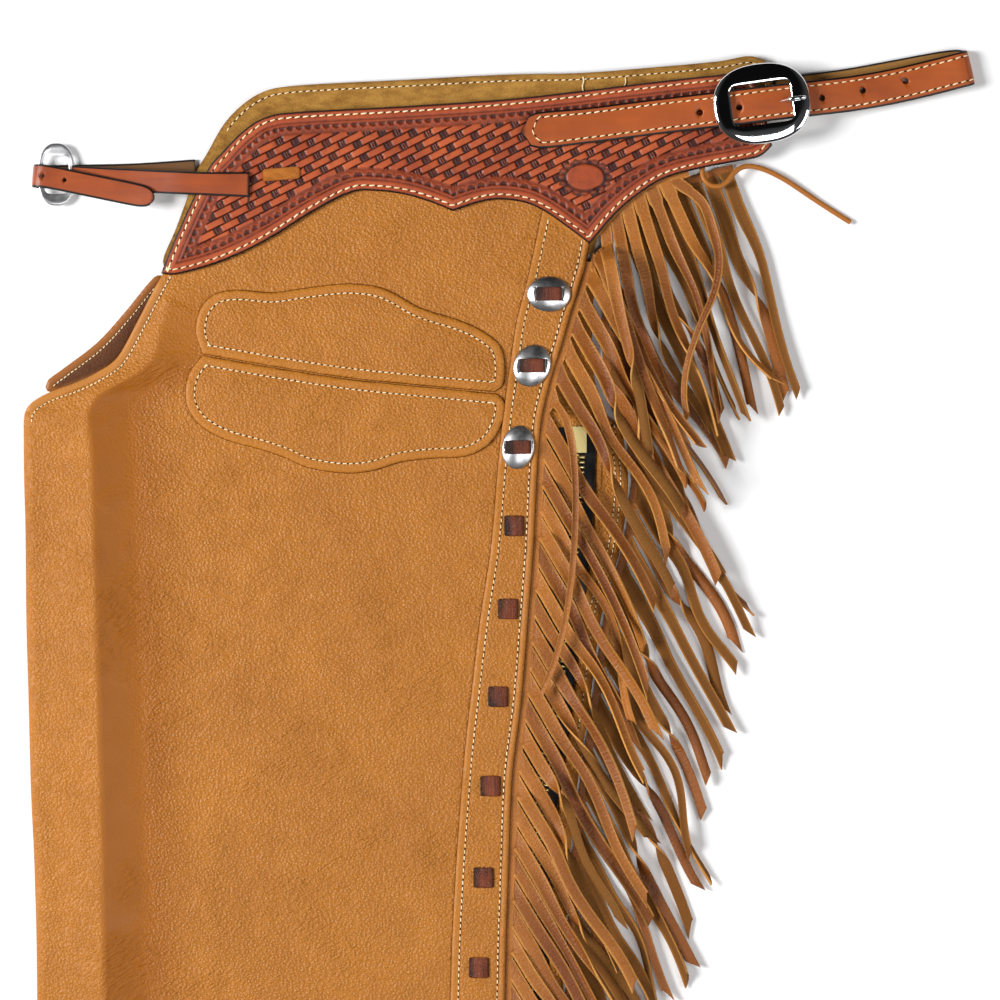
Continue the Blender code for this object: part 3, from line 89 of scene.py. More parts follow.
# One row for each section across the leg, from the hem to the waist: the left edge, the concho strip's
# right edge, the zip's middle, the back panel's turned edge and its fold. fold is 1 where the left edge is
# a fold and 0 where it is cut. crest, rise and foot give the soft ridge beside the left edge.
Section = NamedTuple("Section", [(name, float) for name in (
    "y_left", "x_left", "y_right", "x_strip", "x_chain", "x_edge", "x_back", "fold", "crest", "rise",
    "foot")])
SECTIONS = [
    Section(0.0, -298.5, 0.0, 2.5, 16.0, 28.0, 38.5, 1.0, 44.0, 5.0, 84.0),
    Section(120.0, -298.5, 120.0, 2.5, 16.0, 28.0, 38.5, 1.0, 46.0, 6.0, 84.0),
    Section(250.0, -299.5, 250.0, 2.5, 16.0, 28.0, 38.5, 1.0, 47.0, 7.0, 82.0),
    Section(341.0, -300.0, 341.0, 3.0, 17.5, 29.0, 39.5, 1.0, 46.0, 7.6, 81.0),
    Section(414.0, -300.5, 414.0, 4.0, 19.5, 32.0, 42.5, 1.0, 44.0, 8.2, 79.0),
    Section(476.5, -302.0, 476.5, 6.0, 23.0, 35.0, 45.5, 1.0, 45.0, 8.6, 78.0),
    Section(532.5, -304.5, 532.5, 8.0, 28.0, 40.5, 51.0, 1.0, 46.0, 8.2, 78.0),
    Section(589.0, -306.0, 589.0, 14.5, 36.5, 48.5, 59.5, 1.0, 46.0, 8.6, 79.0),
    Section(645.0, -307.5, 645.0, 19.0, 43.0, 55.0, 67.0, 1.0, 46.0, 8.6, 79.0),
    Section(699.0, -308.0, 692.0, 22.5, 48.0, 61.0, 80.0, 1.0, 45.0, 8.2, 78.0),
    Section(738.0, -309.0, 731.0, 24.3, 50.5, 63.0, 84.0, 1.0, 45.0, 8.0, 78.0),
    Section(767.0, -309.2, 766.0, 26.8, 52.5, 64.5, 80.0, 1.0, 43.0, 7.8, 77.0),
    Section(774.0, -308.6, 774.0, 28.0, 53.0, 60.0, 72.0, 0.6, 42.0, 7.5, 76.0),
    Section(780.5, -304.5, 781.0, 29.5, 53.0, 58.0, 68.0, 0.15, 40.0, 7.0, 74.0),
    Section(787.0, -294.5, 789.0, 31.5, 53.0, 57.0, 66.5, 0.0, 36.0, 6.5, 68.0),
    Section(794.5, -274.5, 801.5, 35.0, 53.0, 56.0, 64.5, 0.0, 30.0, 6.0, 58.0),
    Section(802.0, -259.5, 812.5, 38.5, 53.0, 55.0, 63.5, 0.0, 27.0, 5.5, 54.0),
    Section(809.0, -249.5, 822.0, 41.5, 53.0, 55.0, 63.5, 0.0, 24.0, 4.6, 49.0),
    Section(834.0, -235.0, 836.5, 45.5, 53.0, 55.5, 63.5, 0.0, 16.0, 3.2, 34.0),
    Section(849.5, -227.0, 853.0, 50.8, 57.0, 58.5, 65.0, 0.0, 12.0, 1.6, 26.0),
    Section(864.5, -219.0, 869.0, 55.6, 61.0, 62.0, 68.5, 0.0, 12.0, 0.0, 26.0),
]
UNDER_YOKE = [
    Section(879.5, -210.0, 887.0, 60.3, 0, 0, 0, 0.0, 12.0, 0.0, 30.0),
    Section(899.0, -201.0, 903.5, 70.8, 0, 0, 0, 0.0, 12.0, 0.0, 30.0),
    Section(918.5, -192.5, 920.0, 86.3, 0, 0, 0, 0.0, 12.0, 0.0, 30.0),
    Section(936.0, -180.0, 952.0, 115.8, 0, 0, 0, 0.0, 12.0, 0.0, 30.0),
    Section(961.5, -154.0, 983.5, 148.3, 0, 0, 0, 0.0, 12.0, 0.0, 30.0),
]
ZIP_SECTIONS = 12
CROTCH_FROM = 11  # the section where the left edge turns from a fold to a cut

Wrap = NamedTuple("Wrap", [("out_x", float), ("out_z", float), ("in_x", float), ("in_z", float)])
FOLD_WRAP = [Wrap(3.0, 4.3, 3.1, 6.3), Wrap(1.2, 4.7, 2.5, 6.45), Wrap(0.2, 5.8, 2.1, 6.9),
             Wrap(0.0, 7.2, 2.0, 7.5), Wrap(0.7, 8.9, 2.2, 8.0), Wrap(2.4, 10.3, 3.1, 8.5),
             Wrap(5.0, 11.4, 5.2, 9.4)]
CUT_WRAP = [Wrap(0.3, 6.9, 1.2, 6.9), Wrap(0.1, 7.2, 1.7, 6.9), Wrap(0.0, 7.6, 2.2, 6.9),
            Wrap(0.0, 8.1, 2.7, 6.9), Wrap(0.4, 8.6, 3.2, 6.9), Wrap(1.5, 8.8, 3.6, 6.9),
            Wrap(5.0, 8.9, 5.2, 6.9)]
WRAP_END = 5.0
SHOULDER = 2.5

Point = NamedTuple("Point", [("x", float), ("y", float), ("kind", str)])
YOKE = [
    Point(-219.5, 865.5, "corner"), Point(-208.5, 892.5, "smooth"), Point(-190.0, 931.5, "smooth"),
    Point(-179.5, 944.5, "smooth"), Point(-165.0, 959.0, "smooth"), Point(-150.0, 967.5, "smooth"),
    Point(-128.5, 970.5, "smooth"), Point(-63.0, 974.0, "smooth"), Point(3.0, 978.5, "smooth"),
    Point(53.0, 984.0, "smooth"), Point(98.0, 989.5, "smooth"), Point(138.5, 994.0, "smooth"),
    Point(155.5, 995.0, "smooth"), Point(167.0, 988.0, "smooth"), Point(172.0, 972.0, "smooth"),
    Point(177.5, 948.5, "corner"), Point(169.5, 941.5, "smooth"), Point(156.0, 938.5, "smooth"),
    Point(134.5, 934.5, "smooth"), Point(112.5, 929.0, "smooth"), Point(98.0, 922.0, "smooth"),
    Point(78.0, 906.5, "smooth"), Point(58.8, 884.6, "corner"), Point(45.0, 895.0, "smooth"),
    Point(30.0, 905.5, "smooth"), Point(16.5, 911.5, "smooth"), Point(0.0, 913.5, "smooth"),
    Point(-13.5, 911.5, "smooth"), Point(-30.0, 906.0, "corner"), Point(-46.5, 912.5, "smooth"),
    Point(-63.0, 917.0, "smooth"), Point(-80.0, 919.0, "smooth"), Point(-96.0, 918.0, "smooth"),
    Point(-121.0, 905.5, "smooth"), Point(-150.0, 887.5, "smooth"), Point(-179.5, 873.5, "smooth"),
    Point(-208.5, 865.0, "smooth"),
]
LINING = [
    Point(-216.5, 867.5, "corner"), Point(-218.5, 875.0, "smooth"), Point(-210.5, 894.0, "smooth"),
    Point(-203.5, 913.0, "smooth"), Point(-197.0, 931.5, "smooth"), Point(-189.5, 944.5, "smooth"),
    Point(-179.5, 962.0, "smooth"), Point(-167.5, 975.0, "smooth"), Point(-153.0, 984.0, "smooth"),
    Point(-136.0, 987.5, "smooth"), Point(-96.0, 990.0, "smooth"), Point(-63.0, 991.5, "smooth"),
    Point(3.0, 995.0, "smooth"), Point(52.5, 996.0, "smooth"), Point(98.0, 999.5, "smooth"),
    Point(141.5, 1003.5, "smooth"), Point(161.0, 1007.0, "smooth"), Point(169.5, 1005.5, "smooth"),
    Point(175.5, 1001.5, "smooth"), Point(178.0, 991.0, "smooth"), Point(174.0, 968.0, "smooth"),
    Point(166.5, 955.5, "smooth"), Point(130.5, 945.5, "smooth"), Point(84.0, 918.0, "smooth"),
    Point(68.0, 898.0, "smooth"), Point(61.0, 878.0, "corner"),
]
POCKET_UPPER = [
    Point(-192.5, 813.5, "corner"), Point(-197.0, 828.0, "smooth"), Point(-193.5, 843.0, "smooth"),
    Point(-184.0, 852.0, "smooth"), Point(-169.0, 854.5, "smooth"), Point(-147.5, 852.8, "smooth"),
    Point(-127.5, 855.5, "smooth"), Point(-101.0, 858.5, "smooth"), Point(-81.0, 857.0, "smooth"),
    Point(-67.5, 852.0, "smooth"), Point(-51.5, 843.0, "smooth"), Point(-28.0, 835.5, "smooth"),
    Point(-13.0, 829.0, "smooth"), Point(0.0, 819.0, "smooth"), Point(3.5, 806.5, "smooth"),
    Point(2.5, 794.0, "smooth"), Point(-3.0, 789.0, "corner"), Point(-28.0, 791.0, "smooth"),
    Point(-94.0, 797.5, "smooth"), Point(-144.0, 805.0, "smooth"),
]
POCKET_LOWER = [
    Point(-192.5, 812.0, "corner"), Point(-200.5, 801.5, "smooth"), Point(-203.5, 790.0, "smooth"),
    Point(-202.0, 778.0, "smooth"), Point(-193.5, 766.5, "smooth"), Point(-177.0, 757.5, "smooth"),
    Point(-155.5, 751.5, "smooth"), Point(-139.0, 746.0, "smooth"), Point(-124.0, 739.5, "smooth"),
    Point(-101.0, 736.0, "smooth"), Point(-82.5, 737.5, "smooth"), Point(-64.5, 743.0, "smooth"),
    Point(-44.5, 745.5, "smooth"), Point(-21.5, 747.0, "smooth"), Point(-6.5, 755.0, "smooth"),
    Point(1.5, 768.0, "smooth"), Point(3.5, 781.0, "smooth"), Point(-1.5, 787.0, "corner"),
    Point(-28.0, 789.5, "smooth"), Point(-94.0, 796.0, "smooth"), Point(-144.0, 803.5, "smooth"),
]
FAR_LEG_EDGE = [(-223.5, 864.5), (-230.0, 857.5), (-245.0, 839.0), (-262.0, 820.5), (-283.5, 804.0),
                (-294.0, 796.0), (-295.5, 789.5)]
STRIP_LEFT = [(-32.5, 0.0), (-32.5, 250.0), (-32.0, 361.0), (-30.5, 426.5), (-28.0, 476.5), (-24.5, 526.0),
              (-22.0, 556.0), (-17.5, 595.5), (-12.0, 641.5), (-5.0, 688.5), (0.5, 751.5), (5.0, 789.0),
              (8.5, 814.0), (11.5, 834.0), (18.0, 858.5), (28.8, 908.5)]
STRIP_TOP_CUT = [(45.6, 898.0), (59.2, 887.6)]
STRIP_POINT = (58.5, 884.6)

Concho = NamedTuple("Concho", [("x", float), ("y", float), ("long_half", float), ("short_half", float),
                               ("turn", float)])
CONCHOS = [Concho(32.5, 852.0, 14.3, 11.6, 0.0), Concho(21.5, 805.5, 14.1, 11.9, 62.0),
           Concho(12.5, 752.5, 14.3, 10.6, 80.0)]
CONCHO_RISE = 4.0
LACES = [(10.0, 701.5), (6.0, 647.5), (-0.5, 590.5), (-5.5, 532.5), (-10.0, 473.0), (-13.0, 414.5),
         (-14.0, 357.0), (-14.8, 299.5), (-15.0, 242.0), (-15.0, 184.5), (-15.0, 127.0), (-15.0, 69.5)]

Station = NamedTuple("Station",
                     [("x", float), ("y", float), ("z", float), ("width", float), ("heading", float)])
BELT_WIDE = 23.0
BELT = [
    Station(14.5, 957.3, 14.3, 2.0, 3.0), Station(18.0, 957.6, 14.3, 12.0, 4.0),
    Station(24.5, 958.0, 14.3, BELT_WIDE, 5.0), Station(59.0, 961.5, 14.3, BELT_WIDE, 7.0),
    Station(98.0, 966.5, 14.3, BELT_WIDE, 6.5), Station(126.0, 969.8, 15.0, BELT_WIDE, 7.0),
    Station(150.0, 972.5, 17.0, BELT_WIDE, 7.0), Station(172.0, 975.2, 17.0, BELT_WIDE, 7.0),
    Station(199.5, 978.5, 14.0, BELT_WIDE, 7.5), Station(229.0, 982.3, 9.0, BELT_WIDE, 9.0),
    Station(257.5, 987.5, 6.6, BELT_WIDE, 11.5), Station(284.5, 993.8, 6.8, BELT_WIDE, 13.0),
    Station(299.5, 997.6, 8.4, BELT_WIDE, 13.0), Station(304.1, 998.8, 7.6, BELT_WIDE, 13.0),
    Station(305.7, 999.4, 5.2, BELT_WIDE, 13.0), Station(304.1, 999.8, 2.6, BELT_WIDE, 13.0),
    Station(299.5, 1000.2, 1.8, BELT_WIDE, 12.0), Station(286.5, 998.6, 1.8, BELT_WIDE, 11.0),
    Station(257.5, 993.2, 1.8, BELT_WIDE, 10.0), Station(229.0, 988.0, 1.8, BELT_WIDE, 8.5),
    Station(204.0, 984.6, 1.8, BELT_WIDE, 7.5), Station(180.0, 981.8, 1.8, BELT_WIDE, 6.5),
]
STRAP_WIDE = 15.0
FRONT_STRAP = [
    Station(-162.5, 923.0, 13.7, STRAP_WIDE + 1.2, -1.0), Station(-190.0, 923.6, 13.7, STRAP_WIDE, -1.0),
    Station(-206.0, 924.2, 13.3, STRAP_WIDE, -2.0), Station(-222.0, 925.0, 11.2, STRAP_WIDE, -3.0),
    Station(-240.0, 926.0, 9.2, STRAP_WIDE, -3.0), Station(-258.0, 927.0, 8.0, STRAP_WIDE, -3.0),
    Station(-278.0, 928.3, 7.3, STRAP_WIDE, -3.0),
]
BILLET = [
    Station(-197.5, 932.6, 1.6, STRAP_WIDE, 3.5), Station(-237.0, 930.0, 1.6, STRAP_WIDE, 3.0),
    Station(-270.0, 929.2, 1.6, STRAP_WIDE, 1.0), Station(-296.9, 928.8, 1.6, STRAP_WIDE, -1.0),
    Station(-300.9, 928.9, 3.4, STRAP_WIDE, -3.0), Station(-302.2, 929.0, 6.95, STRAP_WIDE, -5.0),
    Station(-300.9, 929.0, 10.5, STRAP_WIDE, -7.0), Station(-296.9, 928.7, 12.3, STRAP_WIDE, -9.0),
    Station(-285.0, 926.6, 12.1, STRAP_WIDE, -11.0), Station(-270.0, 923.5, 11.6, STRAP_WIDE, -11.5),
    Station(-255.0, 920.4, 11.7, STRAP_WIDE, -11.5), Station(-240.0, 917.3, 12.5, STRAP_WIDE, -11.5),
    Station(-231.0, 915.4, 13.4, STRAP_WIDE - 1.0, -11.5), Station(-226.0, 914.4, 14.0, 10.0, -11.5),
    Station(-223.8, 914.0, 14.3, 3.0, -11.5),
]
BELT_HOLES = [(130.2, 969.6), (155.7, 972.7), (209.8, 979.3), (236.5, 984.5), (264.3, 990.7)]
BILLET_HOLES = [(-282.0, 926.0), (-296.4, 928.6)]

KEEPER = [(-153.5, 933.0), (-129.5, 935.0), (-129.5, 927.0), (-153.5, 925.0)]
THONG = [(133.5, 939.0, 6.6), (132.2, 932.5, 7.2), (133.6, 926.4, 8.4), (138.2, 922.6, 9.2),
         (144.0, 922.4, 9.2), (148.8, 925.6, 8.8), (152.6, 930.6, 8.0), (157.6, 934.4, 7.0),
         (163.8, 935.4, 6.2), (170.4, 934.0, 5.4), (178.0, 931.0, 4.6), (186.4, 926.6, 3.6),
         (195.2, 921.0, 2.8), (204.4, 914.8, 2.2), (213.2, 909.0, 2.0), (221.4, 903.8, 2.0),
         (229.0, 899.0, 2.0)]
THONG_RADIUS = 1.6

FAR_LEG_ROOT = [(44.5, 30.0), (44.5, 250.0), (45.5, 341.0), (48.5, 414.0), (51.5, 476.5), (57.0, 532.5),
                (65.5, 589.0), (73.5, 645.0), (86.5, 692.0), (91.0, 731.0), (86.5, 766.0), (79.5, 774.0),
                (74.5, 789.0), (71.0, 822.0), (72.5, 853.0), (76.5, 872.0)]
FAR_YOKE_ROOT = [(80.5, 889.0), (92.5, 905.0), (112.5, 919.0), (138.5, 928.5), (153.5, 932.5)]
NEAR_YOKE_ROOT = [(66.6, 882.8), (85.0, 901.0), (98.0, 911.0), (112.5, 918.0), (132.0, 924.5)]
NEAR_LEG_ROOT_FIRST = 66.0
NEAR_LEG_ROOT_END = (64.5, 881.0)


# ----------------------------------------------------------------------------------------------------------
# Places and lines
# ----------------------------------------------------------------------------------------------------------


@dataclass(frozen=True)
class Pattern:
    """Where the pattern's millimetres lie in the world."""

    shift_x: float
    shift_y: float

    @classmethod
    def from_frame(cls) -> Pattern:
        """Finds the shift from the near leg, whose left edge and hem the sections give."""
        low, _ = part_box("near_leg")
        return cls(low.x * 1000 - min(row.x_left for row in SECTIONS), low.y * 1000)

    def world(self, points: Line | np.ndarray) -> np.ndarray:
        """Turns points of the pattern into metres.

        Args:
            points: rows of x, y and z in millimetres.

        Returns:
            The same rows in the world's metres.
        """
        return (np.asarray(points, dtype=float) + (self.shift_x, self.shift_y, 0.0)) / 1000.0


PATTERN = Pattern.from_frame()


def catmull(a: np.ndarray, b: np.ndarray, c: np.ndarray, d: np.ndarray, t: float) -> np.ndarray:
    """The Catmull-Rom curve from b to c at the share t."""
    return (0.5 * (2 * b + (c - a) * t + (2 * a - 5 * b + 4 * c - d) * t * t
                   + (3 * b - a - 3 * c + d) * t ** 3))


def smooth_outline(rows: Sequence[Point], steps: int) -> np.ndarray:
    """The closed outline through the rows, curved between them, with its corners kept.

    Args:
        rows: the outline's points.
        steps: how many points each row's stretch gets.

    Returns:
        An array of x and y.
    """
    count = len(rows)
    place = [np.array((row.x, row.y)) for row in rows]
    made = []
    for i in range(count):
        j = (i + 1) % count
        before = place[i - 1] if rows[i].kind == "smooth" else place[i]
        beyond = place[(i + 2) % count] if rows[j].kind == "smooth" else place[j]
        made += [catmull(before, place[i], place[j], beyond, k / steps) for k in range(steps)]
    return np.array(made)


def smooth_line(points: Line, spacing: float) -> np.ndarray:
    """A Catmull-Rom curve through an open line's points, at about this spacing.

    Args:
        points: rows of equal length, of which the first two or three are a place.
        spacing: the distance between the points that come back, in millimetres.

    Returns:
        An array with a row for each point.
    """
    place = np.asarray(points, dtype=float)
    made = []
    for i in range(len(place) - 1):
        before = place[max(i - 1, 0)]
        beyond = place[min(i + 2, len(place) - 1)]
        steps = max(1, round(float(np.linalg.norm(place[i + 1][:2] - place[i][:2])) / spacing))
        made += [catmull(before, place[i], place[i + 1], beyond, k / steps) for k in range(steps)]
    return np.array(made + [place[-1]])


def through(places: Line, steps: int = 12) -> list[tuple[float, ...]]:
    """A smooth curve through these places, with this many steps from each to the next."""
    place = [np.array(p, dtype=float) for p in places]
    made = []
    for i in range(len(place) - 1):
        before, beyond = place[max(i - 1, 0)], place[min(i + 2, len(place) - 1)]
        made += [tuple(catmull(before, place[i], place[i + 1], beyond, k / steps)) for k in range(steps)]
    return made + [tuple(place[-1])]


def evenly(line: Line, spacing: float) -> list[tuple[float, ...]]:
    """The line again, with points at nearly this spacing along it."""
    place = np.asarray(line, dtype=float)
    before = np.concatenate([[0.0], np.cumsum(np.linalg.norm(np.diff(place, axis=0), axis=1))])
    reached = np.linspace(0.0, before[-1], max(1, round(before[-1] / spacing)) + 1)
    return [tuple(p) for p in np.stack([np.interp(reached, before, column) for column in place.T], axis=1)]


def soft_curve(knots: Sequence[float], values: Sequence[float], places: np.ndarray) -> np.ndarray:
    """A smooth curve through the values that doesn't overshoot between them.

    Args:
        knots: rising places of the values.
        values: one value for each knot.
        places: where to read the curve.

    Returns:
        The curve's values there.
    """
    at, value = np.asarray(knots, dtype=float), np.asarray(values, dtype=float)
    step = np.diff(at)
    slope = np.diff(value) / step
    rate = np.zeros_like(value)
    product = slope[:-1] * slope[1:]
    total = np.where(np.abs(slope[:-1] + slope[1:]) < 1e-12, 1.0, slope[:-1] + slope[1:])
    rate[1:-1] = np.where(product > 0, 2 * product / total, 0.0)
    rate[0], rate[-1] = slope[0], slope[-1]
    i = np.clip(np.searchsorted(at, places, side="right") - 1, 0, len(step) - 1)
    t = np.clip((places - at[i]) / step[i], 0.0, 1.0)
    rise = value[i] * (1 + 2 * t) * (1 - t) ** 2 + value[i + 1] * t * t * (3 - 2 * t)
    return rise + step[i] * t * (1 - t) * (rate[i] * (1 - t) - rate[i + 1] * t)


def shifted(line: Line, amount: float, closed: bool) -> np.ndarray:
    """The line moved to its left by this amount, along its own normals.

    Args:
        line: rows of x and y.
        amount: how far, in millimetres; to the left of the line's own way.
        closed: whether the last point runs on to the first.

    Returns:
        The moved x and y.
    """
    place = np.asarray(line, dtype=float)[:, :2]
    if closed:
        ahead, behind = np.roll(place, -1, axis=0), np.roll(place, 1, axis=0)
    else:
        ahead, behind = np.vstack([place[1:], place[-1:]]), np.vstack([place[:1], place[:-1]])
    normals = []
    for way in (place - behind, ahead - place):
        size = np.maximum(np.linalg.norm(way, axis=1, keepdims=True), 1e-9)
        normals.append(np.stack([-way[:, 1], way[:, 0]], axis=1) / size * (size > 1e-8))
    total = normals[0] + normals[1]
    size = np.maximum(np.linalg.norm(total, axis=1, keepdims=True), 1.1)
    lone = np.linalg.norm(normals[0], axis=1, keepdims=True) < 0.5
    lone |= np.linalg.norm(normals[1], axis=1, keepdims=True) < 0.5
    return place + np.where(lone, total * amount, 2 * amount * total / size ** 2)


def inward(outline: np.ndarray, amount: float) -> np.ndarray:
    """A closed outline moved in by this amount, whichever way round it runs."""
    x, y = outline[:, 0], outline[:, 1]
    area = float(np.sum(x * np.roll(y, -1) - np.roll(x, -1) * y))
    return shifted(outline, amount if area > 0 else -amount, closed=True)


def read_outline(points: np.ndarray, outline: np.ndarray) -> tuple[np.ndarray, np.ndarray, np.ndarray]:
    """How each point lies to a closed outline.

    Args:
        points: rows of x and y.
        outline: the closed outline.

    Returns:
        Each point's distance from the outline, the nearest point's place along it, and whether it is
            inside.
    """
    start, end = outline, np.roll(outline, -1, axis=0)
    way = end - start
    long = np.maximum(np.linalg.norm(way, axis=1), 1e-9)
    before = np.concatenate([[0.0], np.cumsum(long)[:-1]])
    distance, along, inside = [], [], []
    for chunk in np.array_split(points, max(1, len(points) // 3000)):
        gap = chunk[:, None, :] - start[None]
        share = np.clip((gap * way).sum(2) / long ** 2, 0.0, 1.0)
        miss = np.linalg.norm(gap - share[..., None] * way[None], axis=2)
        best = miss.argmin(1)
        row = np.arange(len(chunk))
        distance.append(miss[row, best])
        along.append(before[best] + share[row, best] * long[best])
        above = (start[None, :, 1] > chunk[:, None, 1]) != (end[None, :, 1] > chunk[:, None, 1])
        rise = np.where(np.abs(way[:, 1]) < 1e-12, 1e-12, way[:, 1])
        cross = start[None, :, 0] + (chunk[:, None, 1] - start[None, :, 1]) / rise * way[None, :, 0]
        inside.append(((above & (chunk[:, None, 0] < cross)).sum(1) % 2) == 1)
    return np.concatenate(distance), np.concatenate(along), np.concatenate(inside)


def ease(value: np.ndarray | float) -> np.ndarray:
    """Goes smoothly from 0 to 1 while the value does."""
    t = np.clip(value, 0.0, 1.0)
    return t * t * (3 - 2 * t)


def hollow(distance: np.ndarray, middle: float, half: float) -> np.ndarray:
    """1 in the middle of a soft band round this distance, fading to 0 on both sides."""
    return np.exp(-(((distance - middle) / half) ** 2))


def waves(x: np.ndarray, y: np.ndarray, size: float, seed: float) -> np.ndarray:
    """Smooth random values from about -1 to 1 over the plan.

    Args:
        x: the places across.
        y: the places up, of the same shape.
        size: how wide a wave is, in millimetres.
        seed: which of many such surfaces this one is.

    Returns:
        The values, of the same shape.
    """
    flat = zip(np.ravel(x) / size, np.ravel(y) / size)
    return np.array([noise.noise((a, b, seed)) for a, b in flat]).reshape(np.shape(x))


# ----------------------------------------------------------------------------------------------------------
# Finishes
# ----------------------------------------------------------------------------------------------------------


class Slot(Enum):
    """The record's material slots."""

    LEATHER = "tan_leather"
    SUEDE = "suede"
    TOOLED = "tooled_leather"
    STRAP = "strap_leather"
    LACE = "lace_leather"
    CHROME = "chrome"
    STEEL = "brushed_steel"
    BRASS = "brass"
    TAPE = "zip_tape"


class Mark(Enum):
    """Values that a mesh may carry at its points, for its finish to read."""

    # tone is the leather's own tone on some pieces and painted shade on others: the leg's slope past its
    # crest, the far leg's edge, the strip's groove, the laces and the strands' painted shadow.
    TONE_AND_SHADE = "tone"      # 1 where the surface is darkest
    # paint also draws the thin dark line round the feet of the pockets and the strip.
    PAINT = "paint"    # 1 on a painted or burnished edge
    FLESH = "flesh"    # 1 on the suede side
    CUT = "cut"        # 1 on a freshly cut edge
    PLAIN = "plain"    # 1 where the grain is smoothed out
    DEEP = "deep"      # 1 at the bottom of the tooling
    RUN = "run"        # how far along its strand a place is, in millimetres
    SIDE = "side"      # how far across its strand a place is, in millimetres


def shade(red: int, green: int, blue: int) -> Colour:
    """A colour given by its screen values from 0 to 255, as linear light."""
    linear = [v / 255 / 12.92 if v <= 10 else ((v / 255 + 0.055) / 1.055) ** 2.4 for v in (red, green, blue)]
    return (linear[0], linear[1], linear[2], 1.0)


class Nodes:
    """A node tree, drawn with short calls."""

    def __init__(self, tree: bpy.types.NodeTree) -> None:
        """Takes the tree that the nodes go into."""
        self.tree = tree

    def add(self, kind: str, sockets: dict, **settings: object) -> bpy.types.Node:
        """Adds a node.

        Args:
            kind: the node's type.
            sockets: a value or another node's socket for each input, by its name or number.
            settings: the node's own properties.

        Returns:
            The node.
        """
        node = self.tree.nodes.new(kind)
        for key, value in settings.items():
            setattr(node, key, value)
        for key, value in sockets.items():
            if isinstance(value, bpy.types.NodeSocket):
                self.tree.links.new(value, node.inputs[key])
            else:
                node.inputs[key].default_value = value
        return node

    def number(self, operation: str, a: object, b: object = 0.0, clamp: bool = False) -> bpy.types.NodeSocket:
        """One step of arithmetic on two numbers."""
        return self.add("ShaderNodeMath", {0: a, 1: b}, operation=operation, use_clamp=clamp).outputs[0]

    def mix(self, factor: object, a: object, b: object) -> bpy.types.NodeSocket:
        """A colour between a and b."""
        node = self.add("ShaderNodeMix", {0: factor, 6: a, 7: b}, data_type="RGBA")
        return node.outputs[2]

    def between(self, value: object, low: float, high: float, out_low: float = 0.0,
                out_high: float = 1.0) -> bpy.types.NodeSocket:
        """The value's place between low and high, clamped, as a number between out_low and out_high."""
        sockets = {0: value, 1: low, 2: high, 3: out_low, 4: out_high}
        return self.add("ShaderNodeMapRange", sockets).outputs[0]


class Sketch(Nodes):
    """A material's node tree."""

    def __init__(self, name: str) -> None:
        """Starts a material with a Principled shader.

        Args:
            name: the material's name.
        """
        self.material = bpy.data.materials.new(name)
        self.material.use_nodes = True
        super().__init__(self.material.node_tree)
        self.tree.nodes.clear()
        self.shader = self.tree.nodes.new("ShaderNodeBsdfPrincipled")
        out = self.tree.nodes.new("ShaderNodeOutputMaterial")
        self.tree.links.new(self.shader.outputs[0], out.inputs[0])
        self.place = self.add("ShaderNodeTexCoord", {}).outputs["Object"]

    def mark(self, mark: Mark) -> bpy.types.NodeSocket:
        """The mesh's own value of this kind."""
        return self.add("ShaderNodeAttribute", {}, attribute_name=mark.value).outputs["Fac"]

    def stretched(self, x: float, y: float, z: float, turn: float = 0.0) -> bpy.types.NodeSocket:
        """The place, scaled along each axis and turned about Z in radians."""
        mapping = {"Vector": self.place, "Scale": (x, y, z), "Rotation": (0.0, 0.0, turn)}
        return self.add("ShaderNodeMapping", mapping).outputs[0]

    def turned(self, x: float, y: float, turn: float) -> bpy.types.NodeSocket:
        """The place in axes turned about Z in radians, with patches drawn out x and y times along them."""
        mapping = {"Vector": self.place, "Scale": (x, y, 1.0), "Rotation": (0.0, 0.0, turn)}
        return self.add("ShaderNodeMapping", mapping, vector_type="TEXTURE").outputs[0]

    def noise(self, size: float, detail: float = 3.0, place: object = None) -> bpy.types.NodeSocket:
        """Noise whose patches are about this many millimetres wide."""
        sockets = {"Vector": place or self.place, "Scale": 1000.0 / size, "Detail": detail}
        return self.add("ShaderNodeTexNoise", sockets).outputs[0]

    def cells(self, size: float, feature: str, place: object = None) -> bpy.types.NodeSocket:
        """Cells about this many millimetres wide: the distance that the feature names."""
        sockets = {"Vector": place or self.place, "Scale": 1000.0 / size}
        return self.add("ShaderNodeTexVoronoi", sockets, feature=feature).outputs["Distance"]

    def bump(self, height: object, depth: float, below: object = None) -> bpy.types.NodeSocket:
        """Relief of this depth in millimetres where the height goes from 0 to 1."""
        sockets = {"Height": height, "Distance": depth / 1000.0, "Strength": 1.0}
        if below is not None:
            sockets["Normal"] = below
        return self.add("ShaderNodeBump", sockets).outputs[0]

    def wobbled(self, size: float, amount: float) -> bpy.types.NodeSocket:
        """The place, pushed about by noise of this size by this many millimetres."""
        texture = self.add("ShaderNodeTexNoise",
                           {"Vector": self.place, "Scale": 1000.0 / size, "Detail": 2.0})
        push = self.add("ShaderNodeVectorMath", {0: texture.outputs["Color"], 1: (0.5, 0.5, 0.5)},
                        operation="SUBTRACT").outputs[0]
        push = self.add("ShaderNodeVectorMath", {0: push, "Scale": amount / 1000.0},
                        operation="SCALE").outputs[0]
        return self.add("ShaderNodeVectorMath", {0: self.place, 1: push}, operation="ADD").outputs[0]

    def finish(self, colour: object, roughness: object, normal: object = None, **constants: object) -> None:
        """Feeds the shader.

        Args:
            colour: the base colour.
            roughness: the roughness.
            normal: the bumped normal, if any.
            constants: values set on the shader's own sockets, by the socket's name with _ for a blank.
        """
        for name, value in (("Base Color", colour), ("Roughness", roughness), ("Normal", normal)):
            if isinstance(value, bpy.types.NodeSocket):
                self.tree.links.new(value, self.shader.inputs[name])
            elif value is not None:
                self.shader.inputs[name].default_value = value
        for name, value in constants.items():
            self.shader.inputs[name.replace("_", " ")].default_value = value


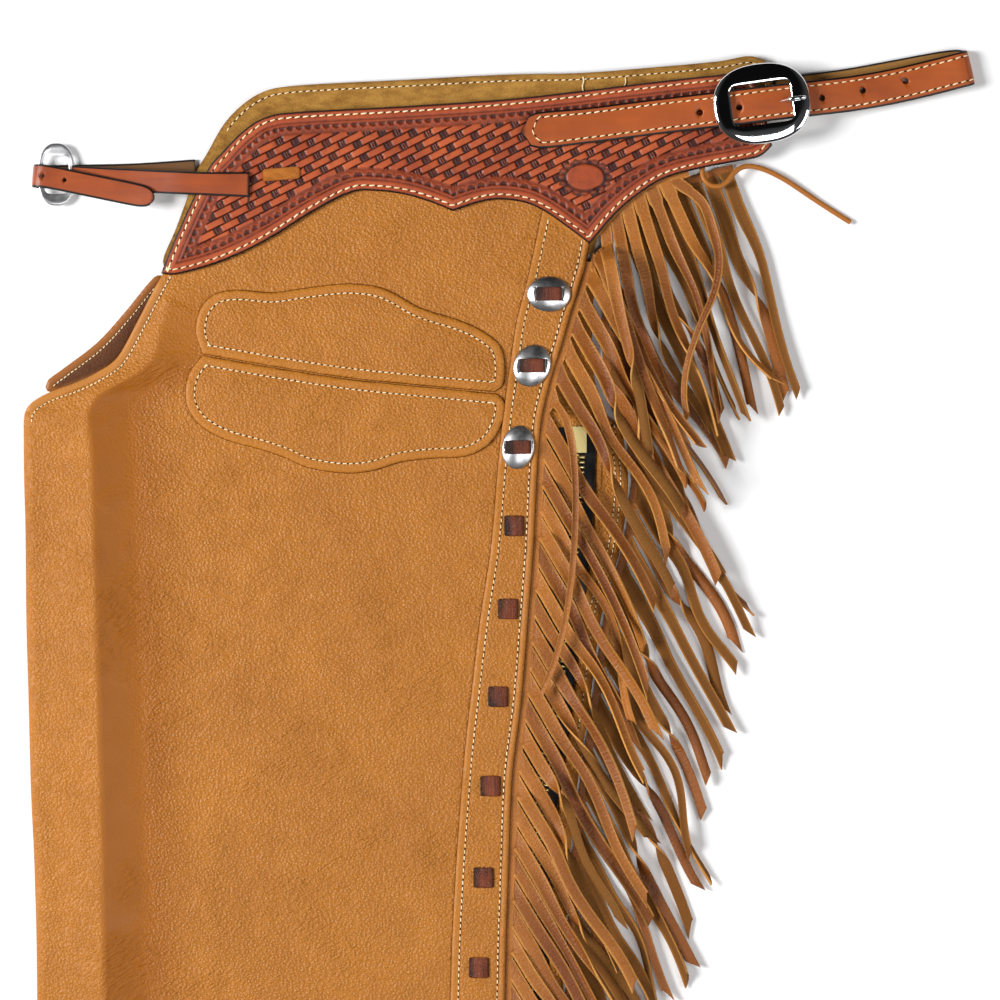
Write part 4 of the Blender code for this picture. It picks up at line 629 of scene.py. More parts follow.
@dataclass(frozen=True)
class Hide:
    """Chrome-tanned leather with a pebbled grain, its suede side and its cut edges."""

    name: str
    slot: Slot
    colour: Colour = shade(178, 112, 36)
    # The darker colour that the tone mark leads to: painted shade on the leg's slope and on the far leg's
    # edge, and the strands' own tone and painted shadow.
    shade_and_tone: Colour = shade(154, 88, 10)
    seam: Colour = shade(118, 64, 16)
    flesh: Colour = shade(142, 100, 40)
    cut: Colour = shade(202, 142, 70)
    paint: Colour = shade(92, 50, 18)
    grain: float = 1.75
    relief: float = 0.6
    roughness: float = 0.44
    wrinkle: float = 0.0
    drawn: float = 0.7

    def build(self) -> bpy.types.Material:
        """Makes the material."""
        sketch = Sketch(self.name)
        plain, flesh = sketch.mark(Mark.PLAIN), sketch.mark(Mark.FLESH)
        place = sketch.wobbled(self.grain * 2.6, self.grain * 0.9)
        grains = sketch.cells(self.grain, "F1", place)
        seams = sketch.between(sketch.cells(self.grain, "DISTANCE_TO_EDGE", place), 0.0, 0.16, 1.0, 0.0)
        fine = sketch.noise(0.5, 2.0)
        patches = sketch.noise(70.0, 3.0)
        clouds = sketch.noise(14.0, 4.0)
        seam_show = sketch.number("MULTIPLY", seams, sketch.between(clouds, 0.35, 0.65, 0.10, 0.42))
        worn = sketch.number("ADD", seam_show, sketch.between(patches, 0.35, 0.7, 0.0, 0.16))
        worn = sketch.number("MULTIPLY", worn, sketch.between(plain, 0.0, 1.0, 1.0, 0.35))
        # Towards the darker colour where the tone mark is high: painted shade on some pieces, the leather's
        # own tone on others.
        colour = sketch.mix(sketch.mark(Mark.TONE_AND_SHADE), self.colour, self.shade_and_tone)
        colour = sketch.mix(worn, colour, self.seam)
        nap = sketch.mix(sketch.noise(1.1, 4.0), self.flesh, tuple(v * 0.62 for v in self.flesh[:3]) + (1.0,))
        colour = sketch.mix(flesh, colour, nap)
        colour = sketch.mix(sketch.mark(Mark.CUT), colour, self.cut)
        colour = sketch.mix(sketch.mark(Mark.PAINT), colour, self.paint)
        dome = sketch.number("MULTIPLY", sketch.between(grains, 0.0, 0.75, 1.0, 0.0),
                             sketch.between(plain, 0.0, 1.0, 1.0, 0.12))
        dome = sketch.number("MULTIPLY", dome, sketch.between(flesh, 0.0, 1.0, 1.0, 0.0))
        height = sketch.number("ADD", dome, sketch.number("MULTIPLY", fine, 0.22))
        height = sketch.number("ADD", height, self.drawn_lines(sketch))
        normal = sketch.bump(height, self.relief)
        if self.wrinkle:
            normal = sketch.bump(self.cross_wrinkles(sketch), self.wrinkle, normal)
        rough = sketch.number("ADD", sketch.between(flesh, 0.0, 1.0, self.roughness, 0.95),
                              sketch.between(clouds, 0.3, 0.7, -0.05, 0.06))
        sketch.finish(colour, rough, normal, Specular_IOR_Level=0.3)
        return sketch.material

    def drawn_lines(self, sketch: Sketch) -> bpy.types.NodeSocket:
        """Fine slanting lines, in patches, where the hide was pulled."""
        lines = sketch.noise(1.5, 3.0, sketch.turned(5.0, 1.0, 0.5))
        where = sketch.between(sketch.noise(52.0, 2.0), 0.5, 0.62)
        shown = sketch.number("MULTIPLY", sketch.number("MULTIPLY", lines, where), self.drawn * 3.0)
        return sketch.number("MULTIPLY", shown, sketch.between(sketch.mark(Mark.FLESH), 0.0, 1.0, 1.0, 0.0))

    @staticmethod
    def cross_wrinkles(sketch: Sketch) -> bpy.types.NodeSocket:
        """Wrinkles across a strand."""
        place = sketch.add("ShaderNodeCombineXYZ", {0: sketch.mark(Mark.RUN),
                                                    1: sketch.number("MULTIPLY", sketch.mark(Mark.SIDE),
                                                                     0.22)})
        sockets = {"Vector": place.outputs[0], "Scale": 0.62, "Detail": 4.0, "Distortion": 0.4}
        return sketch.add("ShaderNodeTexNoise", sockets).outputs[0]


@dataclass(frozen=True)
class Suede:
    """Split leather with a short nap."""

    name: str
    slot: Slot
    colour: Colour = shade(176, 131, 62)
    dark: Colour = shade(122, 82, 34)
    paint: Colour = shade(80, 52, 26)

    def build(self) -> bpy.types.Material:
        """Makes the material."""
        sketch = Sketch(self.name)
        nap = sketch.noise(0.9, 5.0)
        brushed = sketch.noise(9.0, 4.0, sketch.stretched(1.0, 2.2, 1.0, 0.5))
        blotch = sketch.number("ADD", sketch.between(nap, 0.3, 0.7, 0.0, 0.5),
                               sketch.between(brushed, 0.35, 0.65, 0.0, 0.5))
        blotch = sketch.number("ADD", blotch, sketch.number("MULTIPLY", sketch.mark(Mark.TONE_AND_SHADE), 0.8),
                               clamp=True)
        colour = sketch.mix(blotch, self.colour, self.dark)
        colour = sketch.mix(sketch.mark(Mark.PAINT), colour, self.paint)
        sketch.finish(colour, 0.95, sketch.bump(nap, 0.3), Specular_IOR_Level=0.15, Sheen_Weight=0.25,
                      Sheen_Roughness=0.5, Sheen_Tint=self.colour)
        return sketch.material


@dataclass(frozen=True)
class Tooled:
    """Vegetable-tanned leather, stamped and stained, with a painted edge."""

    name: str
    slot: Slot
    colour: Colour = shade(188, 90, 46)
    border: Colour = shade(154, 66, 34)
    stain: Colour = shade(44, 10, 8)
    paint: Colour = shade(16, 9, 8)

    def build(self) -> bpy.types.Material:
        """Makes the material."""
        sketch = Sketch(self.name)
        mottle = sketch.noise(5.0, 5.0)
        clouds = sketch.noise(38.0, 3.0)
        base = sketch.mix(sketch.between(clouds, 0.35, 0.68), self.colour, self.border)
        base = sketch.mix(sketch.number("MULTIPLY", sketch.mark(Mark.TONE_AND_SHADE), 0.9), base, self.border)
        deep = sketch.number("ADD", sketch.mark(Mark.DEEP), sketch.between(mottle, 0.42, 0.75, 0.0, 0.3),
                             clamp=True)
        colour = sketch.mix(deep, base, self.stain)
        colour = sketch.mix(sketch.mark(Mark.PAINT), colour, self.paint)
        height = sketch.number("ADD", sketch.noise(0.6, 3.0), sketch.number("MULTIPLY", mottle, 0.6))
        sketch.finish(colour, sketch.between(mottle, 0.3, 0.7, 0.38, 0.54), sketch.bump(height, 0.12),
                      Specular_IOR_Level=0.34)
        return sketch.material


@dataclass(frozen=True)
class Strap:
    """Smooth bridle leather with painted edges, its flesh side dark."""

    name: str
    slot: Slot
    colour: Colour = shade(172, 88, 40)
    worn: Colour = shade(146, 68, 28)
    flesh: Colour = shade(118, 80, 46)
    paint: Colour = shade(16, 9, 8)
    across: tuple[float, float, float] = (0.12, 1.0, 1.0)
    roughness: float = 0.38
    relief: float = 0.08

    def build(self) -> bpy.types.Material:
        """Makes the material."""
        sketch = Sketch(self.name)
        streaks = sketch.noise(5.0, 5.0, sketch.stretched(*self.across, 0.13))
        clouds = sketch.noise(24.0, 4.0)
        pores = sketch.noise(0.45, 2.0)
        amount = sketch.number("ADD", sketch.between(streaks, 0.35, 0.7, 0.0, 0.45),
                               sketch.between(clouds, 0.35, 0.65, 0.0, 0.5))
        # The tone mark paints shade on the laces, towards the worn colour; the streaks and clouds are the
        # leather's own wear.
        amount = sketch.number("ADD", amount, sketch.number("MULTIPLY", sketch.mark(Mark.TONE_AND_SHADE), 0.7),
                               clamp=True)
        colour = sketch.mix(amount, self.colour, self.worn)
        nap = sketch.mix(pores, self.flesh, tuple(v * 0.6 for v in self.flesh[:3]) + (1.0,))
        colour = sketch.mix(sketch.mark(Mark.FLESH), colour, nap)
        colour = sketch.mix(sketch.mark(Mark.PAINT), colour, self.paint)
        rough = sketch.number("ADD",
                              sketch.between(streaks, 0.3, 0.7, self.roughness - 0.05, self.roughness + 0.08),
                              sketch.number("MULTIPLY", sketch.mark(Mark.FLESH), 0.4))
        height = sketch.number("ADD", pores, sketch.number("MULTIPLY", streaks, 0.8))
        sketch.finish(colour, rough, sketch.bump(height, self.relief), Specular_IOR_Level=0.34)
        return sketch.material


@dataclass(frozen=True)
class Metal:
    """A metal, polished or brushed."""

    name: str
    slot: Slot
    colour: Colour
    roughness: float
    brushed: float = 0.0

    def build(self) -> bpy.types.Material:
        """Makes the material."""
        sketch = Sketch(self.name)
        scratches = sketch.noise(0.5, 3.0, sketch.stretched(0.05, 1.0, 1.0, 0.35))
        smudges = sketch.noise(9.0, 3.0)
        rough = sketch.number("ADD",
                              sketch.between(scratches, 0.35, 0.65, self.roughness,
                                             self.roughness + self.brushed),
                                             sketch.between(smudges, 0.45, 0.75, 0.0, self.roughness * 0.5))
        colour = sketch.mix(sketch.between(smudges, 0.4, 0.8, 0.0, 0.25), self.colour,
                            tuple(v * 0.72 for v in self.colour[:3]) + (1.0,))
        sketch.finish(colour, rough, sketch.bump(scratches, 0.004 + 0.03 * self.brushed), Metallic=1.0)
        return sketch.material


@dataclass(frozen=True)
class Thread:
    """Waxed thread, a little soiled."""

    name: str
    slot: Slot
    colour: Colour = shade(250, 232, 190)
    soiled: Colour = shade(226, 198, 144)

    def build(self) -> bpy.types.Material:
        """Makes the material."""
        sketch = Sketch(self.name)
        twist = sketch.noise(0.5, 2.0, sketch.stretched(1.0, 0.4, 1.0, 0.6))
        colour = sketch.mix(sketch.between(sketch.noise(22.0, 3.0), 0.35, 0.7), self.colour, self.soiled)
        sketch.finish(colour, 0.6, sketch.bump(twist, 0.15), Specular_IOR_Level=0.3)
        return sketch.material


@dataclass(frozen=True)
class Tape:
    """Black woven zip tape."""

    name: str
    slot: Slot
    colour: Colour = shade(20, 20, 23)
    thread: Colour = shade(48, 48, 52)

    def build(self) -> bpy.types.Material:
        """Makes the material."""
        sketch = Sketch(self.name)
        weave = sketch.add("ShaderNodeTexWave",
                           {"Vector": sketch.stretched(1.0, 1.0, 1.0, 0.6), "Scale": 320.0,
                                                "Distortion": 0.4}).outputs["Fac"]
        cross = sketch.add("ShaderNodeTexWave",
                           {"Vector": sketch.stretched(1.0, 1.0, 1.0, -0.6), "Scale": 320.0,
                                                "Distortion": 0.4}).outputs["Fac"]
        height = sketch.number("MAXIMUM", weave, cross)
        colour = sketch.mix(height, self.colour, self.thread)
        sketch.finish(colour, 0.85, sketch.bump(height, 0.15), Specular_IOR_Level=0.2)
        return sketch.material


@dataclass(frozen=True)
class Backdrop:
    """The pale floor."""

    name: str
    colour: Colour = shade(248, 248, 248)

    def build(self) -> bpy.types.Material:
        """Makes the material."""
        sketch = Sketch(self.name)
        faint = sketch.mix(sketch.noise(400.0, 2.0), self.colour, shade(244, 244, 245))
        sketch.finish(faint, 0.9, None, Specular_IOR_Level=0.1)
        return sketch.material


TAN = Hide("tan_hide", Slot.LEATHER)
ROLLED = Hide("rolled_hide", Slot.LEATHER, colour=shade(186, 122, 54), grain=1.3, relief=0.06, roughness=0.42,
              drawn=0.0)
# The far leg's edge: the darker colour that its tone mark leads to paints the shadow under the near leg's
# edge.
INNER = Hide("inner_hide", Slot.LEATHER, colour=shade(146, 88, 36), shade_and_tone=shade(74, 38, 14), grain=1.5,
             relief=0.14)
FRINGE_HIDE = Hide("fringe_hide", Slot.LEATHER, colour=shade(180, 112, 44), shade_and_tone=shade(112, 56, 16),
                   grain=1.3, relief=0.2, cut=shade(216, 154, 78), flesh=shade(130, 84, 34), wrinkle=0.85,
                   drawn=0.0)
SPLIT = Hide("split_hide", Slot.SUEDE, colour=shade(160, 94, 36), shade_and_tone=shade(104, 54, 18), grain=1.3,
             relief=0.2, cut=shade(190, 130, 60), flesh=shade(128, 80, 32), wrinkle=0.6, drawn=0.0)
SUEDE = Suede("suede", Slot.SUEDE)
KEEPER_SUEDE = Suede("keeper_suede", Slot.SUEDE, colour=shade(186, 114, 48), dark=shade(140, 80, 30))
TOOLED = Tooled("tooled_leather", Slot.TOOLED)
BRIDLE = Strap("bridle_leather", Slot.STRAP, colour=shade(158, 76, 38), worn=shade(128, 56, 26))
BELT_HIDE = Strap("belt_hide", Slot.STRAP, colour=shade(170, 84, 36), flesh=shade(158, 112, 52))
# The laces' worn colour is mostly painted shade, which the tone mark puts at their ends and on their left
# side; streaks and clouds take some of it too.
LACE = Strap("lace_leather", Slot.LACE, colour=shade(132, 62, 32), worn=shade(34, 14, 8),
             across=(5.5, 0.3, 1.0), roughness=0.34, relief=0.6)
CHROME = Metal("chrome", Slot.CHROME, shade(232, 233, 236), 0.05)
STEEL = Metal("brushed_steel", Slot.STEEL, shade(214, 214, 216), 0.27, 0.05)
BRASS = Metal("brass", Slot.BRASS, shade(240, 218, 150), 0.36, 0.05)
THREAD = Thread("waxed_thread", Slot.SUEDE)
# Dark discs and blocks that paint the shade in needle holes and slots.
HOLE_SHADE = Strap("needle_hole_shade", Slot.LACE, colour=shade(74, 38, 18), worn=shade(48, 22, 10), roughness=0.8)
ZIP_TAPE = Tape("zip_tape", Slot.TAPE)
FLOOR = Backdrop("pale_floor")
Finish = Hide | Suede | Tooled | Strap | Metal | Thread | Tape | Backdrop


@cache
def material(finish: Finish) -> bpy.types.Material:
    """The finish's material, made the first time that it is asked for."""
    return finish.build()


# ----------------------------------------------------------------------------------------------------------
# Ways of making a piece
# ----------------------------------------------------------------------------------------------------------

Marks = dict[Mark, np.ndarray]


def dress(obj: bpy.types.Object, finish: Finish, *nodes: str, body: str = GARMENT) -> bpy.types.Object:
    """Gives a finished piece its body, and says which solids it stands for.

    Args:
        obj: the piece.
        finish: its finish; not used.
        nodes: the solids that it replaces.
        body: the body that it moves with.

    Returns:
        The piece.
    """
    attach(obj, body)
    if nodes:
        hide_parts(*nodes)
    LOG.info("%s: %d faces, for %s", obj.name, len(obj.data.polygons), ", ".join(nodes) or "detail")
    return obj


def piece(name: str, points: Line | np.ndarray, faces: Sequence[Sequence[int]], finish: Finish,
          marks: Marks | None = None, sharp: float = 50.0) -> bpy.types.Object:
    """Makes a closed mesh object with its faces turned outwards.

    Args:
        name: the piece's name.
        points: rows of x, y and z in millimetres.
        faces: the points of each face.
        finish: what it is made of.
        marks: values at the points.
        sharp: the angle in degrees from which an edge is drawn sharp.

    Returns:
        The object.
    """
    mesh = bpy.data.meshes.new(name)
    mesh.from_pydata(PATTERN.world(points).tolist(), [], [tuple(f) for f in faces])
    for mark, values in (marks or {}).items():
        layer = mesh.attributes.new(mark.value, "FLOAT", "POINT")
        layer.data.foreach_set("value", np.asarray(values, dtype=np.float32).ravel())
    shape = bmesh.new()
    shape.from_mesh(mesh)
    bmesh.ops.remove_doubles(shape, verts=shape.verts, dist=1e-6)
    bmesh.ops.recalc_face_normals(shape, faces=shape.faces)
    shape.to_mesh(mesh)
    shape.free()
    mesh.materials.append(material(finish))
    mesh.shade_smooth()
    mesh.set_sharp_from_angle(angle=math.radians(sharp))
    made = bpy.data.objects.new(name, mesh)
    bpy.context.scene.collection.objects.link(made)
    return made


def grid_faces(rows: int, columns: int, closed: bool) -> list[tuple[int, ...]]:
    """The faces between rows of points; closed joins each row's last point to its first."""
    index = np.arange(rows * columns).reshape(rows, columns)
    ahead = np.roll(index, -1, axis=1)
    if not closed:
        index, ahead = index[:, :-1], ahead[:, :-1]
    quads = np.stack([index[:-1], ahead[:-1], ahead[1:], index[1:]], axis=-1)
    return [tuple(q) for q in quads.reshape(-1, 4).tolist()]


def tube(name: str, rings: np.ndarray, finish: Finish, marks: Marks | None = None,
         sharp: float = 50.0) -> bpy.types.Object:
    """Joins closed rings of points and caps both ends.

    Args:
        name: the piece's name.
        rings: an array of rings, points and coordinates.
        finish: what it is made of.
        marks: a value for each ring and point.
        sharp: the angle in degrees from which an edge is drawn sharp.

    Returns:
        The object.
    """
    count, size = rings.shape[:2]
    faces = grid_faces(count, size, closed=True)
    faces.append(tuple(range(size)))
    faces.append(tuple(range((count - 1) * size, count * size)))
    return piece(name, rings.reshape(-1, 3), faces, finish, marks, sharp)


Relief = Callable[[np.ndarray, np.ndarray, np.ndarray, np.ndarray], tuple[np.ndarray, Marks]]


@dataclass
class Panel:
    """A flat-lying piece of leather cut to an outline, its upper side a fine lattice with relief."""

    name: str
    outline: np.ndarray
    low: float
    finish: Finish
    cell: tuple[float, float] = (2.0, 2.0)
    turn: float = 0.0
    corners: Sequence[tuple[float, float]] = ()
    foot: float = 0.0

    def lattice(self) -> tuple[np.ndarray, list[tuple[int, ...]]]:
        """Finds the lattice's points and faces that lie inside the outline.

        Returns:
            The points' x and y, and the faces.
        """
        c, s = math.cos(self.turn), math.sin(self.turn)
        turned = np.stack([self.outline @ (c, s), self.outline @ (-s, c)], axis=1)
        low, high = turned.min(0), turned.max(0)
        us, vs = (np.arange(math.floor(low[k] / size), math.ceil(high[k] / size) + 1) * size
                  for k, size in enumerate(self.cell))
        u, v = np.meshgrid(us, vs, indexing="ij")
        place = np.stack([u * c - v * s, u * s + v * c], axis=-1).reshape(-1, 2)
        distance, _, inside = read_outline(place, self.outline)
        good = (inside & (distance > 0.4 * min(self.cell))).reshape(u.shape)
        cells = good[:-1, :-1] & good[1:, :-1] & good[:-1, 1:] & good[1:, 1:]
        cells = self.one_island(cells)
        index = np.arange(u.size).reshape(u.shape)
        corners = [index[:-1, :-1], index[1:, :-1], index[1:, 1:], index[:-1, 1:]]
        quads = np.stack([corner[cells] for corner in corners], axis=-1)
        used, quads = np.unique(quads, return_inverse=True)
        return place[used], [tuple(q) for q in quads.reshape(-1, 4).tolist()]

    @staticmethod
    def one_island(cells: np.ndarray) -> np.ndarray:
        """Keeps the largest group of cells and takes out cells that touch it only at a corner."""
        cells = cells.copy()
        for _ in range(4):
            filled = np.pad(cells, 1)
            beside = (filled[:-2, 1:-1].astype(int) + filled[2:, 1:-1] + filled[1:-1, :-2] + filled[1:-1, 2:])
            cells &= beside >= 2
            across = cells[:-1, :-1] & cells[1:, 1:] & ~cells[1:, :-1] & ~cells[:-1, 1:]
            cells[:-1, :-1] &= ~across
            across = cells[1:, :-1] & cells[:-1, 1:] & ~cells[:-1, :-1] & ~cells[1:, 1:]
            cells[1:, :-1] &= ~across
        label = np.zeros(cells.shape, int)
        best, number = 0, 0
        for seed in zip(*np.nonzero(cells)):
            if label[seed]:
                continue
            number += 1
            stack, size = [seed], 0
            label[seed] = number
            while stack:
                i, j = stack.pop()
                size += 1
                for near in ((i + 1, j), (i - 1, j), (i, j + 1), (i, j - 1)):
                    if cells[near] and not label[near]:
                        label[near] = number
                        stack.append(near)
            if size > (label == best).sum() or best == 0:
                best = number
        return label == best

    @staticmethod
    def rim_of(faces: Sequence[tuple[int, ...]]) -> list[int]:
        """The points round the lattice's edge, in order."""
        sides = {(f[k], f[(k + 1) % 4]) for f in faces for k in range(4)}
        after = {a: b for a, b in sides if (b, a) not in sides}
        loops = []
        while after:
            start, step = after.popitem()
            loop = [start]
            while step != start:
                loop.append(step)
                step = after.pop(step)
            loops.append(loop)
        return max(loops, key=len)

    def build(self, relief: Relief) -> bpy.types.Object:
        """Makes the piece.

        Args:
            relief: gives the upper side's heights and marks from x, y, the distance in from the outline and
                the place along it.

        Returns:
            The object.
        """
        place, faces = self.lattice()
        rim = self.rim_of(faces)
        distance, along, _ = read_outline(place, self.outline)
        total = float(np.linalg.norm(self.outline - np.roll(self.outline, -1, axis=0), axis=1).sum())
        reached = along[rim]
        if np.median(np.mod(np.diff(reached) + total / 2, total) - total / 2) < 0:
            rim = rim[::-1]
            reached = along[rim]
        shift = int(np.argmin(reached))
        rim = rim[shift:] + rim[:shift]
        reached = np.maximum.accumulate(np.clip(along[rim], 0.0, total))
        ring = self.on_outline(reached)
        for corner in self.corners:
            ring[int(np.argmin(np.linalg.norm(ring - corner, axis=1)))] = corner
        count, base = len(rim), len(place)
        plan = np.vstack([place, ring])
        heights, marks = relief(plan[:, 0], plan[:, 1], np.concatenate([distance, np.zeros(count)]),
                                np.concatenate([along, reached]))
        turned = float(np.sign(np.sum(ring[:, 0] * np.roll(ring[:, 1], -1)
                                      - np.roll(ring[:, 0], -1) * ring[:, 1])))
        run = np.roll(ring, -2, axis=0) - np.roll(ring, 2, axis=0)
        run /= np.maximum(np.linalg.norm(run, axis=1, keepdims=True), 1e-9)
        outside = np.stack([run[:, 1], -run[:, 0]], axis=1) * turned
        shoulder = np.maximum(heights[base:] - 0.35, self.low + 0.15)
        waist = np.column_stack([ring + outside * self.foot * 0.15, shoulder])
        ground = np.column_stack([ring + outside * self.foot, np.full(count, self.low)])
        points = np.vstack([np.column_stack([plan, heights]), waist, ground])
        for i in range(count):
            j = (i + 1) % count
            faces.append((rim[i], rim[j], base + j, base + i))
            for row in (0, count):
                faces.append((base + row + i, base + row + j, base + row + count + j, base + row + count + i))
        faces.append(tuple(range(base + 2 * count, base + 3 * count)))
        all_marks = {mark: np.concatenate([v, v[base:], v[base:]]) for mark, v in marks.items()}
        # A foot is drawn in the finish's paint colour: a thin dark line round the piece's edge.
        if self.foot:
            all_marks[Mark.PAINT][base + count:] = 1.0
        return piece(self.name, points, faces, self.finish, all_marks)

    def on_outline(self, reached: np.ndarray) -> np.ndarray:
        """The outline's points at these distances along it."""
        closed = np.vstack([self.outline, self.outline[:1]])
        steps = np.linalg.norm(np.diff(closed, axis=0), axis=1)
        before = np.concatenate([[0.0], np.cumsum(steps)])
        return np.stack([np.interp(reached, before, closed[:, axis]) for axis in (0, 1)], axis=1)


class Repeater(Nodes):
    """Geometry Nodes that set one small item again and again along lines."""

    def __init__(self) -> None:
        """Builds the node tree once, with an input for each size."""
        super().__init__(bpy.data.node_groups.new("set_along_lines", "GeometryNodeTree"))
        self.sockets = {}
        for name, kind, way in (
            ("Lines", "NodeSocketGeometry", "INPUT"), ("Item", "NodeSocketObject", "INPUT"),
            ("Pitch", "NodeSocketFloat", "INPUT"), ("Slant", "NodeSocketFloat", "INPUT"),
            ("Uneven", "NodeSocketFloat", "INPUT"), ("Seed", "NodeSocketInt", "INPUT"),
            ("Finish", "NodeSocketMaterial", "INPUT"), ("Pieces", "NodeSocketGeometry", "OUTPUT"),
        ):
            made = self.tree.interface.new_socket(name=name, in_out=way, socket_type=kind)
            self.sockets[name] = made.identifier
        self.start = self.tree.nodes.new("NodeGroupInput")
        curve = self.add("GeometryNodeMeshToCurve", {0: self.start.outputs["Lines"]})
        spaced = self.add("GeometryNodeResampleCurve", {0: curve.outputs[0], 3: self.start.outputs["Pitch"]},
                           mode="LENGTH")
        way = self.add("GeometryNodeInputTangent", {})
        aim = self.add("FunctionNodeAlignRotationToVector", {2: way.outputs[0]}, axis="X")
        lean = self.random(0.75, 1.25, 0)
        slant = self.add("ShaderNodeMath", {0: self.start.outputs["Slant"], 1: lean}, operation="MULTIPLY")
        euler = self.add("ShaderNodeCombineXYZ", {"Z": slant.outputs[0]})
        turn = self.add("FunctionNodeEulerToRotation", {0: euler.outputs[0]})
        turned = self.add("FunctionNodeRotateRotation", {0: aim.outputs[0], 1: turn.outputs[0]},
                           rotation_space="LOCAL")
        item = self.add("GeometryNodeObjectInfo", {"Object": self.start.outputs["Item"]})
        low = self.add("ShaderNodeMath", {0: 1.0, 1: self.start.outputs["Uneven"]}, operation="SUBTRACT")
        size = self.random(low.outputs[0], 1.0, 1)
        placed = self.add("GeometryNodeInstanceOnPoints", {
            "Points": spaced.outputs[0], "Instance": item.outputs["Geometry"], "Rotation": turned.outputs[0],
            "Scale": size})
        real = self.add("GeometryNodeRealizeInstances", {0: placed.outputs[0]})
        painted = self.add("GeometryNodeSetMaterial",
                           {0: real.outputs[0], "Material": self.start.outputs["Finish"]})
        end = self.tree.nodes.new("NodeGroupOutput")
        self.tree.links.new(painted.outputs[0], end.inputs["Pieces"])

    def random(self, low: object, high: object, step: int) -> bpy.types.NodeSocket:
        """A random number for each item, from the tree's own seed."""
        made = self.tree.nodes.new("FunctionNodeRandomValue")
        made.data_type = "FLOAT"
        for name, value in (("Min", low), ("Max", high)):
            socket = next(s for s in made.inputs if s.name == name and s.enabled)
            if isinstance(value, bpy.types.NodeSocket):
                self.tree.links.new(value, socket)
            else:
                socket.default_value = value
        seed = self.tree.nodes.new("FunctionNodeIntegerMath")
        seed.inputs[1].default_value = step
        self.tree.links.new(self.start.outputs["Seed"], seed.inputs[0])
        self.tree.links.new(seed.outputs[0], next(s for s in made.inputs if s.name == "Seed" and s.enabled))
        return next(s for s in made.outputs if s.enabled)

    def run(self, name: str, lines: Sequence[np.ndarray], item: bpy.types.Object, pitch: float,
            finish: Finish, slant: float = 0.0, uneven: float = 0.08, seed: int = 1) -> bpy.types.Object:
        """Sets the item along the lines and turns the result into a plain mesh.

        Args:
            name: the piece's name.
            lines: rows of x, y and z for each line.
            item: the small object to repeat, modelled in metres about the origin, its length along X.
            pitch: the distance from one item to the next, in millimetres.
            finish: what the items are made of.
            slant: how far each item leans out of the line, in radians.
            uneven: how much smaller the smallest item is.
            seed: the random numbers' seed.

        Returns:
            The object, with no modifier left.
        """
        points, edges = [], []
        for line in lines:
            base = len(points)
            points += PATTERN.world(line).tolist()
            edges += [(base + k, base + k + 1) for k in range(len(line) - 1)]
        mesh = bpy.data.meshes.new(name)
        mesh.from_pydata(points, edges, [])
        made = bpy.data.objects.new(name, mesh)
        bpy.context.scene.collection.objects.link(made)
        modifier = made.modifiers.new("repeat", "NODES")
        modifier.node_group = self.tree
        for key, value in (("Item", item), ("Pitch", pitch / 1000.0), ("Slant", slant), ("Uneven", uneven),
                           ("Seed", seed), ("Finish", material(finish))):
            modifier[self.sockets[key]] = value
        graph = bpy.context.evaluated_depsgraph_get()
        made.data = bpy.data.meshes.new_from_object(made.evaluated_get(graph))
        made.modifiers.clear()
        made.data.name = name
        made.data.shade_smooth()
        return made


def small_item(name: str, rings: Sequence[tuple[float, float, float]], sides: int,
               low: float) -> bpy.types.Object:
    """A small rounded item for the repeater, round about its X axis.

    Args:
        name: its name.
        rings: for each ring its place along X, its half width and its half height, in millimetres.
        sides: how many points each ring has.
        low: how far the item is moved down, in millimetres.

    Returns:
        The object, which isn't linked to the scene.
    """
    points, faces = [], []
    for x, wide, high in rings:
        for k in range(sides):
            angle = 2 * math.pi * (k + 0.5) / sides
            points.append((x / 1000, wide * math.cos(angle) / 1000, (high * math.sin(angle) - low) / 1000))
    faces += grid_faces(len(rings), sides, closed=True)
    faces.append(tuple(reversed(range(sides))))
    faces.append(tuple(range((len(rings) - 1) * sides, len(rings) * sides)))
    mesh = bpy.data.meshes.new(name)
    mesh.from_pydata(points, [], faces)
    shape = bmesh.new()
    shape.from_mesh(mesh)
    bmesh.ops.recalc_face_normals(shape, faces=shape.faces)
    shape.to_mesh(mesh)
    shape.free()
    return bpy.data.objects.new(name, mesh)


